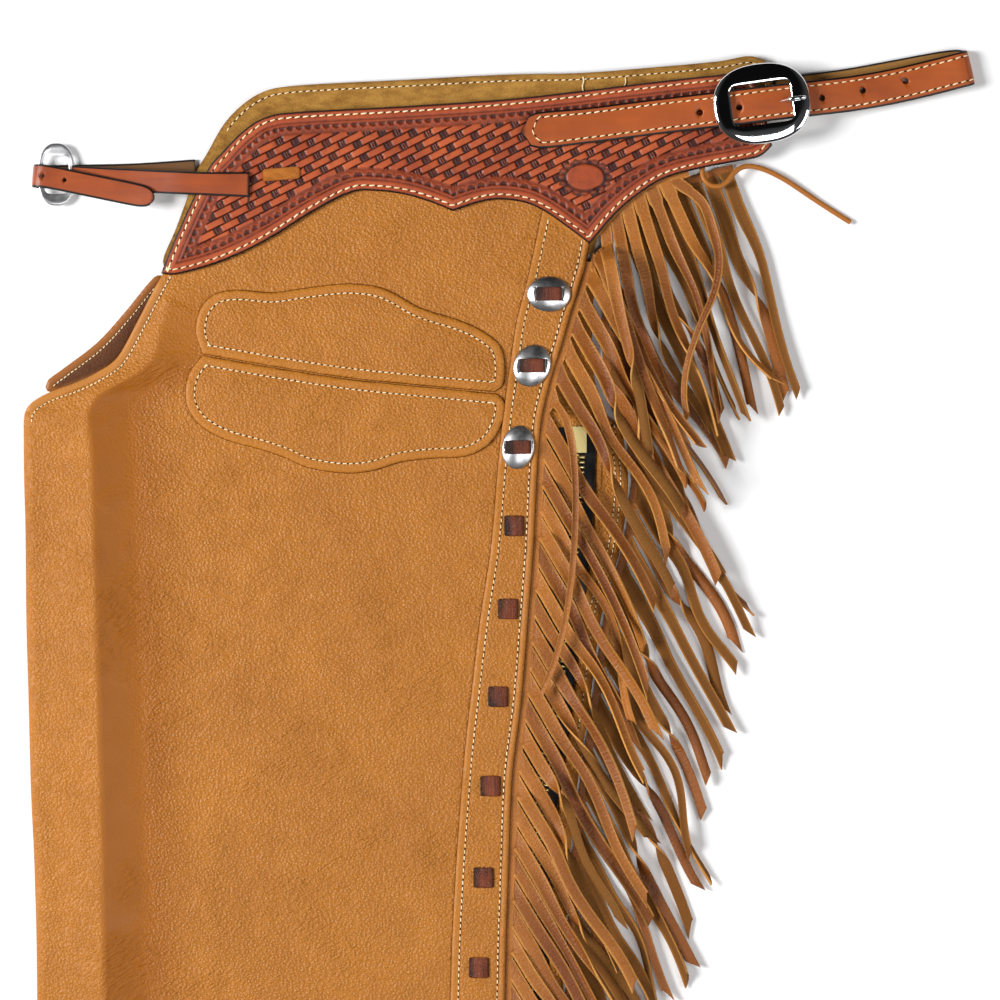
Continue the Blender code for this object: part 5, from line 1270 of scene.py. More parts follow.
@dataclass
class Sewing:
    """Stitch rows: thread that lies on the leather, and dark discs between the stitches that paint the shade
    in the needle holes.
    """

    repeater: Repeater

    def row(self, name: str, lines: Sequence[np.ndarray], pitch: float, length: float, thick: float,
            slant: float = 0.12, seed: int = 3) -> None:
        """Sews along lines that lie on the leather's surface.

        Args:
            name: the piece's name.
            lines: rows of x, y and z for each row of stitches.
            pitch: the distance from one stitch to the next.
            length: a stitch's length.
            thick: the thread's thickness.
            slant: how far a stitch leans out of the row, in radians.
            seed: the random numbers' seed.
        """
        half, wide = length / 2, thick / 2
        rings = [(-half, wide * 0.3, wide * 0.3), (-half * 0.8, wide * 0.85, wide * 0.75), (0.0, wide, wide),
                 (half * 0.8, wide * 0.85, wide * 0.75), (half, wide * 0.3, wide * 0.3)]
        stitch = small_item(name + "_stitch", rings, 6, -wide * 0.5)
        dress(self.repeater.run(name, lines, stitch, pitch, THREAD, slant, 0.12, seed), THREAD)
        # The needle holes are dark discs laid between the stitches: painted shade.
        long = (pitch - length) / 2 + 0.2
        disc = small_item(name + "_hole", [(-long, 0.3, 0.02), (-long * 0.7, wide * 1.1, 0.22),
                                          (long * 0.7, wide * 1.1, 0.22), (long, 0.3, 0.02)], 6, -0.1)
        between = [self.between_stitches(line, pitch) for line in lines]
        dress(self.repeater.run(name + "_holes", between, disc, pitch, HOLE_SHADE, 0.0, 0.1, seed), HOLE_SHADE)

    @staticmethod
    def between_stitches(line: np.ndarray, pitch: float) -> np.ndarray:
        """The line from half a stitch after its start to half a stitch before its end."""
        place = np.asarray(line, dtype=float)
        before = np.concatenate([[0.0], np.cumsum(np.linalg.norm(np.diff(place, axis=0), axis=1))])
        first = before[-1] / max(int(before[-1] / pitch), 1) / 2
        last = before[-1] - first
        kept = np.concatenate([[first], before[(before > first) & (before < last)], [last]])
        return np.stack([np.interp(kept, before, place[:, axis]) for axis in range(3)], axis=1)


def with_height(line: np.ndarray, height: float | np.ndarray) -> np.ndarray:
    """A line in the plan, given its height."""
    return np.column_stack([line, np.broadcast_to(height, len(line))])


def looped(line: np.ndarray) -> np.ndarray:
    """A closed line with its first point again at its end."""
    return np.vstack([line, line[:1]])


@dataclass
class Ribbon:
    """A strap through its stations, square to its own run, with painted edges."""

    name: str
    stations: Sequence[Station]
    wall: float
    finish: Finish
    paint: float = 1.0
    spacing: float = 2.5
    crown: float = 0.25
    grain_up: bool = True

    def frames(self) -> tuple[np.ndarray, np.ndarray, np.ndarray, np.ndarray]:
        """The strap's line and directions.

        Returns:
            The middles, the directions across, the directions up and the half widths.
        """
        rows = smooth_line([tuple(s) for s in self.stations], self.spacing)
        middle = rows[:, :3]
        along = np.gradient(middle, axis=0)
        along /= np.linalg.norm(along, axis=1, keepdims=True)
        heading = np.radians(rows[:, 4])
        across = np.stack([-np.sin(heading), np.cos(heading), np.zeros(len(rows))], axis=1)
        up = np.cross(along, across)
        up /= np.linalg.norm(up, axis=1, keepdims=True)
        return middle, across, up, np.maximum(rows[:, 3] / 2, 0.6)

    def section(self, half: float) -> list[tuple[float, float, float, float]]:
        """The strap's section: how far across and up each point is, how painted and how far under it is."""
        wall, rim = self.wall / 2, min(self.paint, half * 0.45)
        outer = [(half, wall * 0.1), (half - 0.15, wall * 0.7), (half - rim * 0.75, wall),
                 (half - rim, wall + 0.02), (half * 0.5, wall + self.crown * 0.7)]
        top = outer + [(0.0, wall + self.crown)] + [(-a, u) for a, u in reversed(outer)]
        lower = [(half, -wall * 0.3), (half - 0.3, -wall * 0.85), (half - rim * 0.75, -wall),
                 (half - rim, -wall - 0.02), (half * 0.5, -wall - self.crown * 0.4)]
        under = [(-a, u) for a, u in lower] + [(0.0, -wall - self.crown * 0.5)] + lower[::-1]
        rows = []
        for a, u in top + under:
            painted = 1.0 if abs(a) > half - rim * 0.8 else 0.0
            rows.append((a, u, painted, 1.0 if (u < -wall * 0.5) == self.grain_up else 0.0))
        return rows

    def build(self) -> bpy.types.Object:
        """Makes the strap."""
        middle, across, up, half = self.frames()
        rings, paint, flesh = [], [], []
        for k in range(len(middle)):
            section = np.array(self.section(float(half[k])))
            rings.append(middle[k] + section[:, :1] * across[k] + section[:, 1:2] * up[k])
            paint.append(section[:, 2])
            flesh.append(section[:, 3])
        paint[0] = np.ones_like(paint[0])
        paint[-1] = np.ones_like(paint[-1])
        marks = {Mark.PAINT: np.array(paint), Mark.FLESH: np.array(flesh)}
        return tube(self.name, np.array(rings), self.finish, marks)

    def track(self, inset: float, side: int, first: int, last: int, under: bool = False) -> np.ndarray:
        """A line on the strap's face, a little way in from one edge.

        Args:
            inset: how far in from the edge.
            side: 1 for the left edge and -1 for the right one.
            first: the frame that the line starts at.
            last: the frame that it ends before.
            under: whether it lies on the strap's other face.

        Returns:
            Rows of x, y and z.
        """
        middle, across, up, half = self.frames()
        reach = np.maximum(half - inset, 0.0)[:, None] * side
        lift = (self.wall / 2 + 0.05) * (-1 if under else 1)
        return (middle + reach * across + lift * up)[first:last]


def cut_out(target: bpy.types.Object, cutters: Sequence[bpy.types.Object]) -> None:
    """Cuts the other objects out of the target and removes them."""
    for cutter in cutters:
        step = target.modifiers.new("cut", "BOOLEAN")
        step.operation = "DIFFERENCE"
        step.object = cutter
        step.solver = "EXACT"
        graph = bpy.context.evaluated_depsgraph_get()
        target.data = bpy.data.meshes.new_from_object(target.evaluated_get(graph))
        target.modifiers.clear()
        bpy.data.objects.remove(cutter)


def drill(x: float, y: float, low: float, high: float, radius: float, finish: Finish) -> bpy.types.Object:
    """An upright cylinder to cut a hole with."""
    angles = np.linspace(0.0, 2 * math.pi, 20, endpoint=False)
    ring = np.stack([x + radius * np.cos(angles), y + radius * np.sin(angles)], axis=1)
    return tube("drill", np.array([with_height(ring, low), with_height(ring, high)]), finish)


# ----------------------------------------------------------------------------------------------------------
# The leg
# ----------------------------------------------------------------------------------------------------------

Crease = NamedTuple("Crease", [("x0", float), ("y0", float), ("x1", float), ("y1", float), ("wide", float),
                               ("lift", float)])
# Soft troughs (lift below 0) and ridges in the leg's leather.
CREASES = [
    Crease(-226.0, 858.0, -196.0, 842.0, 2.6, -0.45), Crease(-222.0, 849.0, -190.0, 836.0, 3.0, 0.40),
    Crease(-214.0, 866.0, -186.0, 858.0, 2.4, -0.35), Crease(-206.0, 860.0, -176.0, 861.0, 3.2, 0.35),
    Crease(-224.0, 838.0, -204.0, 822.0, 3.4, -0.45), Crease(-232.0, 826.0, -212.0, 800.0, 5.0, 0.50),
    Crease(-150.0, 872.0, -96.0, 894.0, 6.0, -0.45), Crease(-104.0, 876.0, -60.0, 892.0, 7.0, 0.45),
    Crease(-66.0, 868.0, -10.0, 888.0, 6.0, -0.40), Crease(-30.0, 852.0, 16.0, 862.0, 5.0, 0.35),
    Crease(-18.0, 896.0, 22.0, 884.0, 5.0, -0.40), Crease(-214.0, 736.0, -186.0, 744.0, 4.0, -0.40),
    Crease(-224.0, 764.0, -206.0, 756.0, 4.5, 0.40), Crease(-196.0, 724.0, -146.0, 730.0, 6.0, -0.35),
    Crease(-228.0, 700.0, -150.0, 676.0, 11.0, 0.55), Crease(-120.0, 716.0, -40.0, 724.0, 8.0, -0.40),
    Crease(-60.0, 690.0, -16.0, 664.0, 10.0, 0.45), Crease(-206.0, 640.0, -96.0, 616.0, 14.0, -0.55),
    Crease(-110.0, 590.0, -36.0, 604.0, 12.0, 0.50), Crease(-232.0, 560.0, -206.0, 470.0, 12.0, 0.60),
    Crease(-170.0, 540.0, -70.0, 516.0, 16.0, -0.60), Crease(-60.0, 520.0, -40.0, 430.0, 9.0, 0.55),
    Crease(-210.0, 430.0, -120.0, 404.0, 15.0, 0.60), Crease(-150.0, 366.0, -60.0, 384.0, 13.0, -0.55),
    Crease(-70.0, 340.0, -44.0, 240.0, 10.0, 0.50), Crease(-222.0, 300.0, -150.0, 280.0, 12.0, -0.50),
    Crease(-150.0, 220.0, -60.0, 200.0, 15.0, 0.60), Crease(-210.0, 150.0, -110.0, 130.0, 13.0, -0.55),
    Crease(-90.0, 90.0, -50.0, 20.0, 10.0, 0.55), Crease(-230.0, 60.0, -160.0, 44.0, 12.0, 0.50),
    Crease(-292.0, 700.0, -276.0, 640.0, 6.0, 0.45), Crease(-294.0, 520.0, -280.0, 420.0, 6.0, -0.40),
    Crease(-290.0, 330.0, -276.0, 250.0, 6.5, 0.45), Crease(-286.0, 160.0, -274.0, 60.0, 6.0, -0.40),
]


@dataclass
class LegForm:
    """The near leg's outline and surface at any place up the leg."""

    rows: Sequence[Section]
    knots: np.ndarray = field(init=False)

    def __post_init__(self) -> None:
        """Takes the place of each section from its right end."""
        self.knots = np.array([row.y_right for row in self.rows])

    def read(self, column: str, places: np.ndarray) -> np.ndarray:
        """The column's value at these places up the strip's right edge, smoothly between the sections."""
        return soft_curve(self.knots, [getattr(row, column) for row in self.rows], places)

    def ridge(self, away: np.ndarray, crest: np.ndarray, rise: np.ndarray, fold: np.ndarray) -> np.ndarray:
        """The soft ridge: it swells towards its crest, falls off steeply and runs out slowly.

        Args:
            away: how far in from the left edge.
            crest: how far in the crest is.
            rise: how high the crest is.
            fold: 1 where the edge is a fold.

        Returns:
            The lift over the flat leather.
        """
        shoulder = SHOULDER * fold
        climb = np.clip((away - WRAP_END) / np.maximum(crest - WRAP_END, 1.0), 0.0, 1.0)
        flank = shoulder + np.maximum(rise - shoulder, 0.0) * climb ** 1.35
        past = np.maximum(away - crest, 0.0)
        steep = np.clip(1 - past / 27.0, 0.0, 1.0) ** 1.3
        slow = np.clip(1 - past / 66.0, 0.0, 1.0) ** 2
        fall = np.maximum(rise, shoulder) * (0.74 * steep + 0.26 * slow)
        return np.where(away < crest, flank, fall)


def creases_at(x: np.ndarray, y: np.ndarray) -> np.ndarray:
    """The lift that the listed creases give at these places."""
    total = np.zeros_like(x)
    for c in CREASES:
        ax, ay = c.x1 - c.x0, c.y1 - c.y0
        share = ((x - c.x0) * ax + (y - c.y0) * ay) / (ax * ax + ay * ay)
        held = np.clip(share, 0.0, 1.0)
        away = np.hypot(x - c.x0 - held * ax, y - c.y0 - held * ay)
        total += c.lift * np.exp(-((away / c.wide) ** 2)) * np.sin(math.pi * (0.15 + 0.7 * held)) ** 0.5
    return total


@dataclass
class Leg:
    """The near leg's front panel, the layers folded away under it and the far leg's edge."""

    sewing: Sewing
    form: LegForm = field(default_factory=lambda: LegForm(SECTIONS + UNDER_YOKE))
    row_step: float = 3.4
    column_step: float = 2.6
    ridge_zone: float = 128.0

    def build(self) -> None:
        """Makes the leg's pieces."""
        self.front_panel()
        self.crotch_edge()
        self.layers()
        self.back_panel()
        self.far_leg()

    def row_places(self) -> np.ndarray:
        """Where the rows of the front panel's lattice meet the strip."""
        upper = [row.y_right for row in UNDER_YOKE]
        return np.concatenate([np.arange(0.0, 744.0, self.row_step), np.arange(744.0, 870.0, 1.6), upper])

    def front_panel(self) -> None:
        """The front panel: a wall that rolls over the left fold and rises in a soft ridge."""
        form, places = self.form, self.row_places()
        x_left, y_left = form.read("x_left", places), form.read("y_left", places)
        x_strip, fold = form.read("x_strip", places), form.read("fold", places)
        crest, rise = form.read("crest", places), form.read("rise", places)
        rolled = smooth_line([(*f, *c) for f, c in zip(FOLD_WRAP, CUT_WRAP)], 0.7)
        near = np.arange(WRAP_END, self.ridge_zone, self.column_step)[1:]
        far = np.linspace(0.0, 1.0, int(185.0 / self.column_step))
        shape = (len(places), len(rolled) + len(near) + len(far))
        out_x, out_z, in_x, in_z = (np.zeros(shape) for _ in range(4))
        mixed = rolled[None, :, :4] * fold[:, None, None] + rolled[None, :, 4:] * (1 - fold[:, None, None])
        n = len(rolled)
        out_x[:, :n], out_z[:, :n] = mixed[..., 0], mixed[..., 1]
        in_x[:, :n], in_z[:, :n] = mixed[..., 2], mixed[..., 3]
        span = x_strip - LEG_IN - x_left
        away = np.concatenate([
            np.broadcast_to(near, (len(places), len(near))),
            self.ridge_zone + (span - self.ridge_zone)[:, None] * far[None, :],
        ], axis=1)
        lift = form.ridge(away, crest[:, None], rise[:, None], fold[:, None])
        x = x_left[:, None] + away
        share = np.clip((x - x_left[:, None]) / (x_strip - x_left)[:, None], 0.0, 1.0)
        y = y_left[:, None] + (places - y_left)[:, None] * share
        free = ease((away - WRAP_END) / 10.0) * ease((870.0 - y) / 12.0)
        level = (lift + (creases_at(x, y) + 0.35 * waves(x, y, 46.0, 2.0) + 0.16 * waves(x, y, 17.0, 5.0))
                 * free)
        out_x[:, n:] = away
        in_x[:, n:] = away
        out_z[:, n:] = LEG_TOP + level
        in_z[:, n:] = LEG_BOTTOM + level
        out_y = y_left[:, None] + (places - y_left)[:, None] * out_x / (x_strip - x_left)[:, None]
        in_y = y_left[:, None] + (places - y_left)[:, None] * in_x / (x_strip - x_left)[:, None]
        outer = np.stack([x_left[:, None] + out_x, out_y, out_z], axis=-1)
        inner = np.stack([x_left[:, None] + in_x, in_y, in_z], axis=-1)
        self.remember(outer)
        rings = np.concatenate([outer, inner[:, ::-1]], axis=1)
        # tone paints shade on the steep slope past the ridge's crest, as deep as the ridge is high; plain
        # smooths the grain there.
        past = out_x - crest[:, None]
        full = np.minimum(rise / 6.0, 1.0)[:, None]
        tone = ease((past + 3.0) / 5.0) * (1 - ease((past - 20.0) / 46.0)) * full
        plain = ease((past + 4.0) / 6.0) * (1 - ease((past - 16.0) / 22.0)) * full
        marks = {
            Mark.TONE_AND_SHADE: np.concatenate([tone, np.zeros(shape)], axis=1),
            Mark.PLAIN: np.concatenate([plain, np.ones(shape)], axis=1),
            Mark.FLESH: np.concatenate([np.zeros(shape), np.ones(shape)], axis=1),
        }
        made = tube("leg_front", rings, TAN, marks, sharp=75.0)
        dress(made, TAN, "near_leg")

    def remember(self, outer: np.ndarray) -> None:
        """Keeps the upper surface, for what lies on it."""
        points = outer.reshape(-1, 3)
        self.tree = kdtree.KDTree(len(points))
        for i, p in enumerate(points):
            self.tree.insert((p[0], p[1], 0.0), i)
        self.tree.balance()
        self.heights = points[:, 2]

    def height_at(self, x: float, y: float) -> float:
        """The front panel's height at a place in the plan."""
        found = self.tree.find_n((x, y, 0.0), 4)
        weights = [1.0 / (d + 0.05) for _, _, d in found]
        return sum(self.heights[i] * w for (_, i, _), w in zip(found, weights)) / sum(weights)

    def crotch_line(self) -> np.ndarray:
        """The near leg's cut edge at the crotch, from the fold up to the yoke."""
        places = np.arange(SECTIONS[CROTCH_FROM].y_right + 4.0, 871.0, 2.0)
        return np.stack([self.form.read("x_left", places), self.form.read("y_left", places)], axis=1)

    def crotch_edge(self) -> None:
        """The rolled rim along the crotch, and the stitches just inside it."""
        edge = self.crotch_line()
        middle = shifted(edge, -2.3, closed=False)
        ring = np.linspace(0.0, 2 * math.pi, 12, endpoint=False)
        along = np.gradient(middle, axis=0)
        along /= np.linalg.norm(along, axis=1, keepdims=True)
        side = np.stack([-along[:, 1], along[:, 0]], axis=1)
        rings = []
        for k, (x, y) in enumerate(middle):
            taper = float(ease(min(k, len(middle) - 1 - k) / 4.0)) * 0.75 + 0.25
            level = self.height_at(x, y) - 0.5
            rings.append([(x + side[k, 0] * 2.5 * math.cos(a) * taper,
                           y + side[k, 1] * 2.5 * math.cos(a) * taper, level + 1.15 * math.sin(a) * taper)
                           for a in ring])
        dress(tube("crotch_rim", np.array(rings), ROLLED), ROLLED)
        line = shifted(edge, -5.4, closed=False)
        row = np.array([(x, y, self.height_at(x, y) + 0.1) for x, y in line])
        self.sewing.row("crotch_stitches", [row], 2.9, 2.2, 0.8, 0.1, 5)

    def layers(self) -> None:
        """The layers folded away under the front panel: the far leg's two, and the near leg's back one."""
        places = np.concatenate([np.arange(0.0, 744.0, 12.0), np.arange(744.0, 870.0, 3.0)])
        form = LegForm(SECTIONS)
        fold = form.read("fold", places)
        left = form.read("x_left", places) + 3.2 * fold + 10.0 * (1 - fold)
        back = form.read("x_back", places) - 3.0
        zip_side = np.where(places <= SECTIONS[ZIP_SECTIONS - 1].y_right, form.read("x_strip", places) + 5.0,
                            back)
        made = []
        for name, low, high, right in (("far_leg_under", 0.0, 1.9, back - 0.6),
                                       ("far_leg_over", 2.1, 3.9, back),
                                       ("leg_back_layer", 4.1, 6.4, np.minimum(zip_side, back))):
            made.append(self.layer(name, places, left, right, low, high))
        dress(made[0], TAN, "hidden_layers")
        for other in made[1:]:
            dress(other, TAN)

    def layer(self, name: str, places: np.ndarray, left: np.ndarray, right: np.ndarray, low: float,
              high: float) -> bpy.types.Object:
        """One flat layer with rounded sides.

        Args:
            name: the piece's name.
            places: the rows' places up the strip's right edge.
            left: the layer's left side in each row.
            right: its right side.
            low: its lower face.
            high: its upper face.

        Returns:
            The object.
        """
        y_left = LegForm(SECTIONS).read("y_left", places)
        x_left = LegForm(SECTIONS).read("x_left", places)
        x_strip = LegForm(SECTIONS).read("x_strip", places)
        middle, half = (low + high) / 2, (high - low) / 2
        section = [(0.7, -1.0), (0.15, -0.6), (0.0, 0.0), (0.15, 0.6), (0.7, 1.0)]
        rings = []
        for k, place in enumerate(places):
            ring = [(left[k] + dx, middle + dz * half) for dx, dz in section]
            ring += [(right[k] - dx, middle + dz * half) for dx, dz in reversed(section)]
            row = []
            for x, z in ring:
                share = min((x - x_left[k]) / (x_strip[k] - x_left[k]), 1.0)
                row.append((x, y_left[k] + (place - y_left[k]) * share, z))
            rings.append(row)
        return tube(name, np.array(rings), TAN)

    def back_panel(self) -> None:
        """The back panel's visible strip: its turned edge beside the zip and its roll over the right fold."""
        rows = SECTIONS[:ZIP_SECTIONS]
        form = LegForm(rows)
        places = np.concatenate([np.arange(0.0, rows[-1].y_right, 5.0), [rows[-1].y_right]])
        edge, back = form.read("x_edge", places), form.read("x_back", places)
        outer = [("e", 0.0, 7.4), ("e", 0.4, 8.8), ("e", 1.6, 9.6), ("e", 3.2, 9.5), ("e", 4.8, 8.9),
                 ("b", -4.6, 8.8), ("b", -2.2, 8.0), ("b", -0.6, 6.3), ("b", 0.0, 4.7), ("b", -0.6, 3.2)]
        inner = [("b", -2.3, 4.2), ("b", -2.0, 4.9), ("b", -2.3, 5.6), ("b", -3.3, 6.4), ("b", -5.0, 6.9),
                 ("e", 4.8, 6.9), ("e", 3.2, 6.9), ("e", 1.9, 6.9), ("e", 1.0, 6.9), ("e", 0.2, 6.9)]
        rings = []
        for k, place in enumerate(places):
            base = {"e": edge[k], "b": back[k]}
            ring = through([(base[a] + dx, z) for a, dx, z in outer], 3)
            ring += [(base[a] + dx, z) for a, dx, z in inner]
            rings.append([(x, place, z) for x, z in ring])
        made = tube("back_strip", np.array(rings), TAN, sharp=60.0)
        dress(made, TAN, "near_back_panel")
        seam = [np.column_stack([back - shift, places, np.full(len(places), height)])
                for shift, height in ((4.9, 8.95), (8.3, 9.05))]
        self.sewing.row("back_seam", [line[places > 560.0] for line in seam], 3.4, 2.5, 0.8, 0.1, 8)

    def far_leg(self) -> None:
        """The far leg's edge, which shows as a crescent at the crotch."""
        inner = []
        for row in SECTIONS:
            if row.fold == 0.0:
                inner.append((row.x_left + 8.4, row.y_left + 8.4 * (row.y_right - row.y_left)
                              / (row.x_strip - row.x_left)))
        outer = smooth_line(FAR_LEG_EDGE, 3.0)
        outline = np.vstack([outer, np.array(inner)])

        def relief(x: np.ndarray, y: np.ndarray, edge: np.ndarray,
                   along: np.ndarray) -> tuple[np.ndarray, Marks]:
            """Rounds the rim, sinks the stitch row and paints shade, darker away from the rim, where the near
            leg's edge shades it.
            """
            heights = 2.4 - 0.9 * np.clip(1 - edge / 1.4, 0, 1) ** 2 - 0.3 * hollow(edge, 5.2, 0.8)
            return heights, {Mark.TONE_AND_SHADE: ease((edge - 2.0) / 5.0), Mark.PLAIN: 1 - ease((edge - 2.0) / 3.0)}

        made = Panel("far_leg_edge", outline, 0.4, INNER, (1.2, 1.2), 0.6).build(relief)
        dress(made, INNER, "far_leg")
        row = with_height(shifted(outer, 5.2, closed=False)[2:-2], 2.25)
        self.sewing.row("far_crotch_stitches", [row], 2.9, 2.2, 0.8, 0.1, 6)


# ----------------------------------------------------------------------------------------------------------
# The yoke
# ----------------------------------------------------------------------------------------------------------


@dataclass
class Yoke:
    """The tooled near yoke, the far yoke under it, its lining and the suede keeper."""

    sewing: Sewing
    weave_turn: float = math.radians(26.6)
    bar_pitch: float = 17.7
    row_pitch: float = 4.85
    bar_share: float = 0.75
    depth: float = 1.25
    arc_pitch: float = 6.0
    arc_radius: float = 2.8
    arc_start: float = 9.7
    border_end: float = 14.4
    medallion: tuple[float, float, float, float] = (56.0, 928.0, 12.3, 8.4)

    def build(self) -> None:
        """Makes the yoke's pieces."""
        self.outline = smooth_outline(YOKE, 6)
        self.near_yoke()
        self.lining()
        self.keeper()

    def weave(self, x: np.ndarray, y: np.ndarray) -> np.ndarray:
        """The basket weave's height, from 0 at the bottom to 1 on the bars."""
        c, s = math.cos(self.weave_turn), math.sin(self.weave_turn)
        u, v = x * c + y * s, -x * s + y * c
        row = np.floor(v / self.row_pitch)
        across = v / self.row_pitch - row
        run = u / self.bar_pitch + 0.5 * np.mod(row, 2.0)
        run = run - np.floor(run)
        side = np.minimum(across, 1 - across) * self.row_pitch
        end = np.minimum(run, self.bar_share - run) * self.bar_pitch
        bar = ease((side - 0.05) / 0.75) * ease((end + 0.1) / 1.0)
        bar *= 0.84 + 0.16 * np.sin(math.pi * np.clip(run / self.bar_share, 0, 1))
        tuft = (run - self.bar_share) * self.bar_pitch
        ribs = 0.30 + 0.22 * np.cos(2 * math.pi * tuft / 1.55)
        ribs *= ease((side - 0.1) / 0.7)
        return np.where(run < self.bar_share, bar, np.where(tuft > 0.3, ribs, 0.05))

    def relief(self, x: np.ndarray, y: np.ndarray, edge: np.ndarray,
               along: np.ndarray) -> tuple[np.ndarray, Marks]:
        """The yoke's upper side: painted edge, groove, border lines, arc stamps, weave and medallion."""
        inside = ease((edge - self.border_end) / 0.8)
        weave = self.weave(x, y)
        height = np.ones_like(x)
        deep = np.zeros_like(x)
        step = np.mod(along, self.arc_pitch) - self.arc_pitch / 2
        spread = np.hypot(step, edge - self.arc_start)
        in_border = (edge > self.arc_start - 0.6) & (edge < self.border_end + 0.6)
        cup = (spread < self.arc_radius - 0.5) & (edge > self.arc_start)
        ring = hollow(spread, self.arc_radius + 0.1, 0.55)
        arcs = np.where(cup, 0.15 + 0.25 * (spread / self.arc_radius), 0.55 + 0.4 * ring)
        height = np.where(in_border, arcs, height)
        deep = np.where(in_border, np.where(cup, 0.72, 0.4 - 0.35 * ring), deep)
        height = height * (1 - inside) + weave * inside
        deep = deep * (1 - inside) + np.clip(1.5 * (1 - weave) ** 1.7, 0.0, 1.0) * inside
        mx, my, mw, mh = self.medallion
        away = np.hypot((x - mx) / mw, (y - my) / mh)
        angle = np.arctan2((y - my) / mh, (x - mx) / mw)
        scallop = 1.42 + 0.07 * np.cos(angle * 16)
        petals = hollow(away, 1.26, 0.12) * (0.55 + 0.45 * np.cos(angle * 16))
        disc = ease((scallop - away) / 0.05)
        plain = ease((1.0 - away) / 0.05)
        height = height * (1 - disc) + (0.25 + 0.5 * petals) * disc
        deep = deep * (1 - disc) + (0.9 - 0.55 * petals) * disc
        height = height * (1 - plain) + 0.95 * plain
        deep = deep * (1 - plain) + 0.04 * plain
        groove = 0.55 * hollow(edge, 7.2, 0.5) + 0.35 * hollow(edge, 9.2, 0.45)
        seam = 0.45 * hollow(edge, 3.4, 0.7)
        height = height - groove - seam
        deep = np.clip(deep + 0.65 * hollow(edge, 7.2, 0.6) + 0.5 * hollow(edge, 9.3, 0.5), 0, 1)
        rim = np.clip(1 - edge / 1.3, 0.0, 1.0)
        level = YOKE_TOP - self.depth * (1 - height) - 0.9 * rim ** 2
        paint = ease((1.5 - edge) / 0.5)
        tone = np.where(edge < 6.6, 0.55, 0.9) * (1 - inside) + 0.85 * plain
        return level, {Mark.DEEP: deep, Mark.PAINT: paint, Mark.TONE_AND_SHADE: tone}

    def near_yoke(self) -> None:
        """The tooled yoke and the thread round it."""
        corners = [(row.x, row.y) for row in YOKE if row.kind == "corner"]
        cell = (self.bar_pitch / 25, self.row_pitch / 7)
        made = Panel("yoke_tooled", self.outline, ON_LEG, TOOLED, cell, self.weave_turn,
                     corners).build(self.relief)
        dress(made, TOOLED, "near_yoke")
        row = with_height(looped(inward(self.outline, 3.4)), YOKE_TOP - 0.45 * self.depth)
        self.sewing.row("yoke_stitches", [row], 5.4, 4.0, 1.25, 0.14, 9)

    def lining(self) -> None:
        """The far yoke and the suede lining on it, which shows along the waist."""
        outline = smooth_outline(LINING, 4)

        def relief(x: np.ndarray, y: np.ndarray, edge: np.ndarray,
                   along: np.ndarray) -> tuple[np.ndarray, Marks]:
            """A soft, slightly wavy suede."""
            heights = PILE_TOP - 0.8 * np.clip(1 - edge / 1.2, 0, 1) ** 2 - 0.3 * hollow(edge, 4.2, 0.9)
            heights += 0.14 * waves(x, y, 9.0, 3.0)
            return (heights, {Mark.PAINT: ease((0.7 - edge) / 0.5) * 0.5,
                              Mark.TONE_AND_SHADE: 0.4 * waves(x, y, 14.0, 7.0)})

        made = Panel("waist_lining", outline, LINING_BOTTOM, SUEDE, (2.2, 2.2)).build(relief)
        dress(made, SUEDE, "far_lining")
        far = inward(smooth_outline(LINING, 3), 3.0)

        def plain(x: np.ndarray, y: np.ndarray, edge: np.ndarray,
                  along: np.ndarray) -> tuple[np.ndarray, Marks]:
            """The far yoke's back, with a painted edge."""
            return (FAR_YOKE_TOP - 0.8 * np.clip(1 - edge / 1.2, 0, 1) ** 2,
                    {Mark.PAINT: ease((1.4 - edge) / 0.6)})

        made = Panel("far_yoke_tooled", far, 0.0, TOOLED, (4.0, 4.0)).build(plain)
        dress(made, TOOLED, "far_yoke")
        edge = outline[4 * 6:4 * 20]
        row = with_height(shifted(edge, -4.2, closed=False), PILE_TOP - 0.1)
        self.sewing.row("lining_stitches", [row], 4.6, 3.0, 0.9, 0.12, 10)
        self.thread_tails()

    def thread_tails(self) -> None:
        """Two loose ends of thread at the top of the lining."""
        for number, (x, y) in enumerate(((82.0, 993.0), (54.6, 993.5)), 1):
            line = [(x, y, PILE_TOP + 0.5), (x + 0.4, y - 3.0, PILE_TOP + 0.7),
                    (x - 0.3, y - 6.0, PILE_TOP + 0.7), (x + 0.2, y - 9.5, PILE_TOP + 0.6)]
            run = smooth_line(line, 0.8)
            rings = [[(px + 0.42 * math.cos(a), py, pz + 0.42 * math.sin(a))
                      for a in np.linspace(0, 2 * math.pi, 6, endpoint=False)] for px, py, pz in run]
            dress(tube(f"thread_tail_{number}", np.array(rings), THREAD), THREAD)

    def keeper(self) -> None:
        """The suede tab that holds the strap's end."""
        outline = np.array(KEEPER)

        def relief(x: np.ndarray, y: np.ndarray, edge: np.ndarray,
                   along: np.ndarray) -> tuple[np.ndarray, Marks]:
            """A soft tab that is a little higher in its middle."""
            heights = ON_YOKE + 0.6 + 0.3 * ease(edge / 2.5)
            return heights, {Mark.TONE_AND_SHADE: 0.7 * ease((0.9 - edge) / 0.9)}

        dress(Panel("keeper_suede", outline, ON_YOKE, KEEPER_SUEDE, (0.8, 0.8), 0.083).build(relief),
              KEEPER_SUEDE, "keeper_tab")


# ----------------------------------------------------------------------------------------------------------
# Pockets and the concho strip
# ----------------------------------------------------------------------------------------------------------


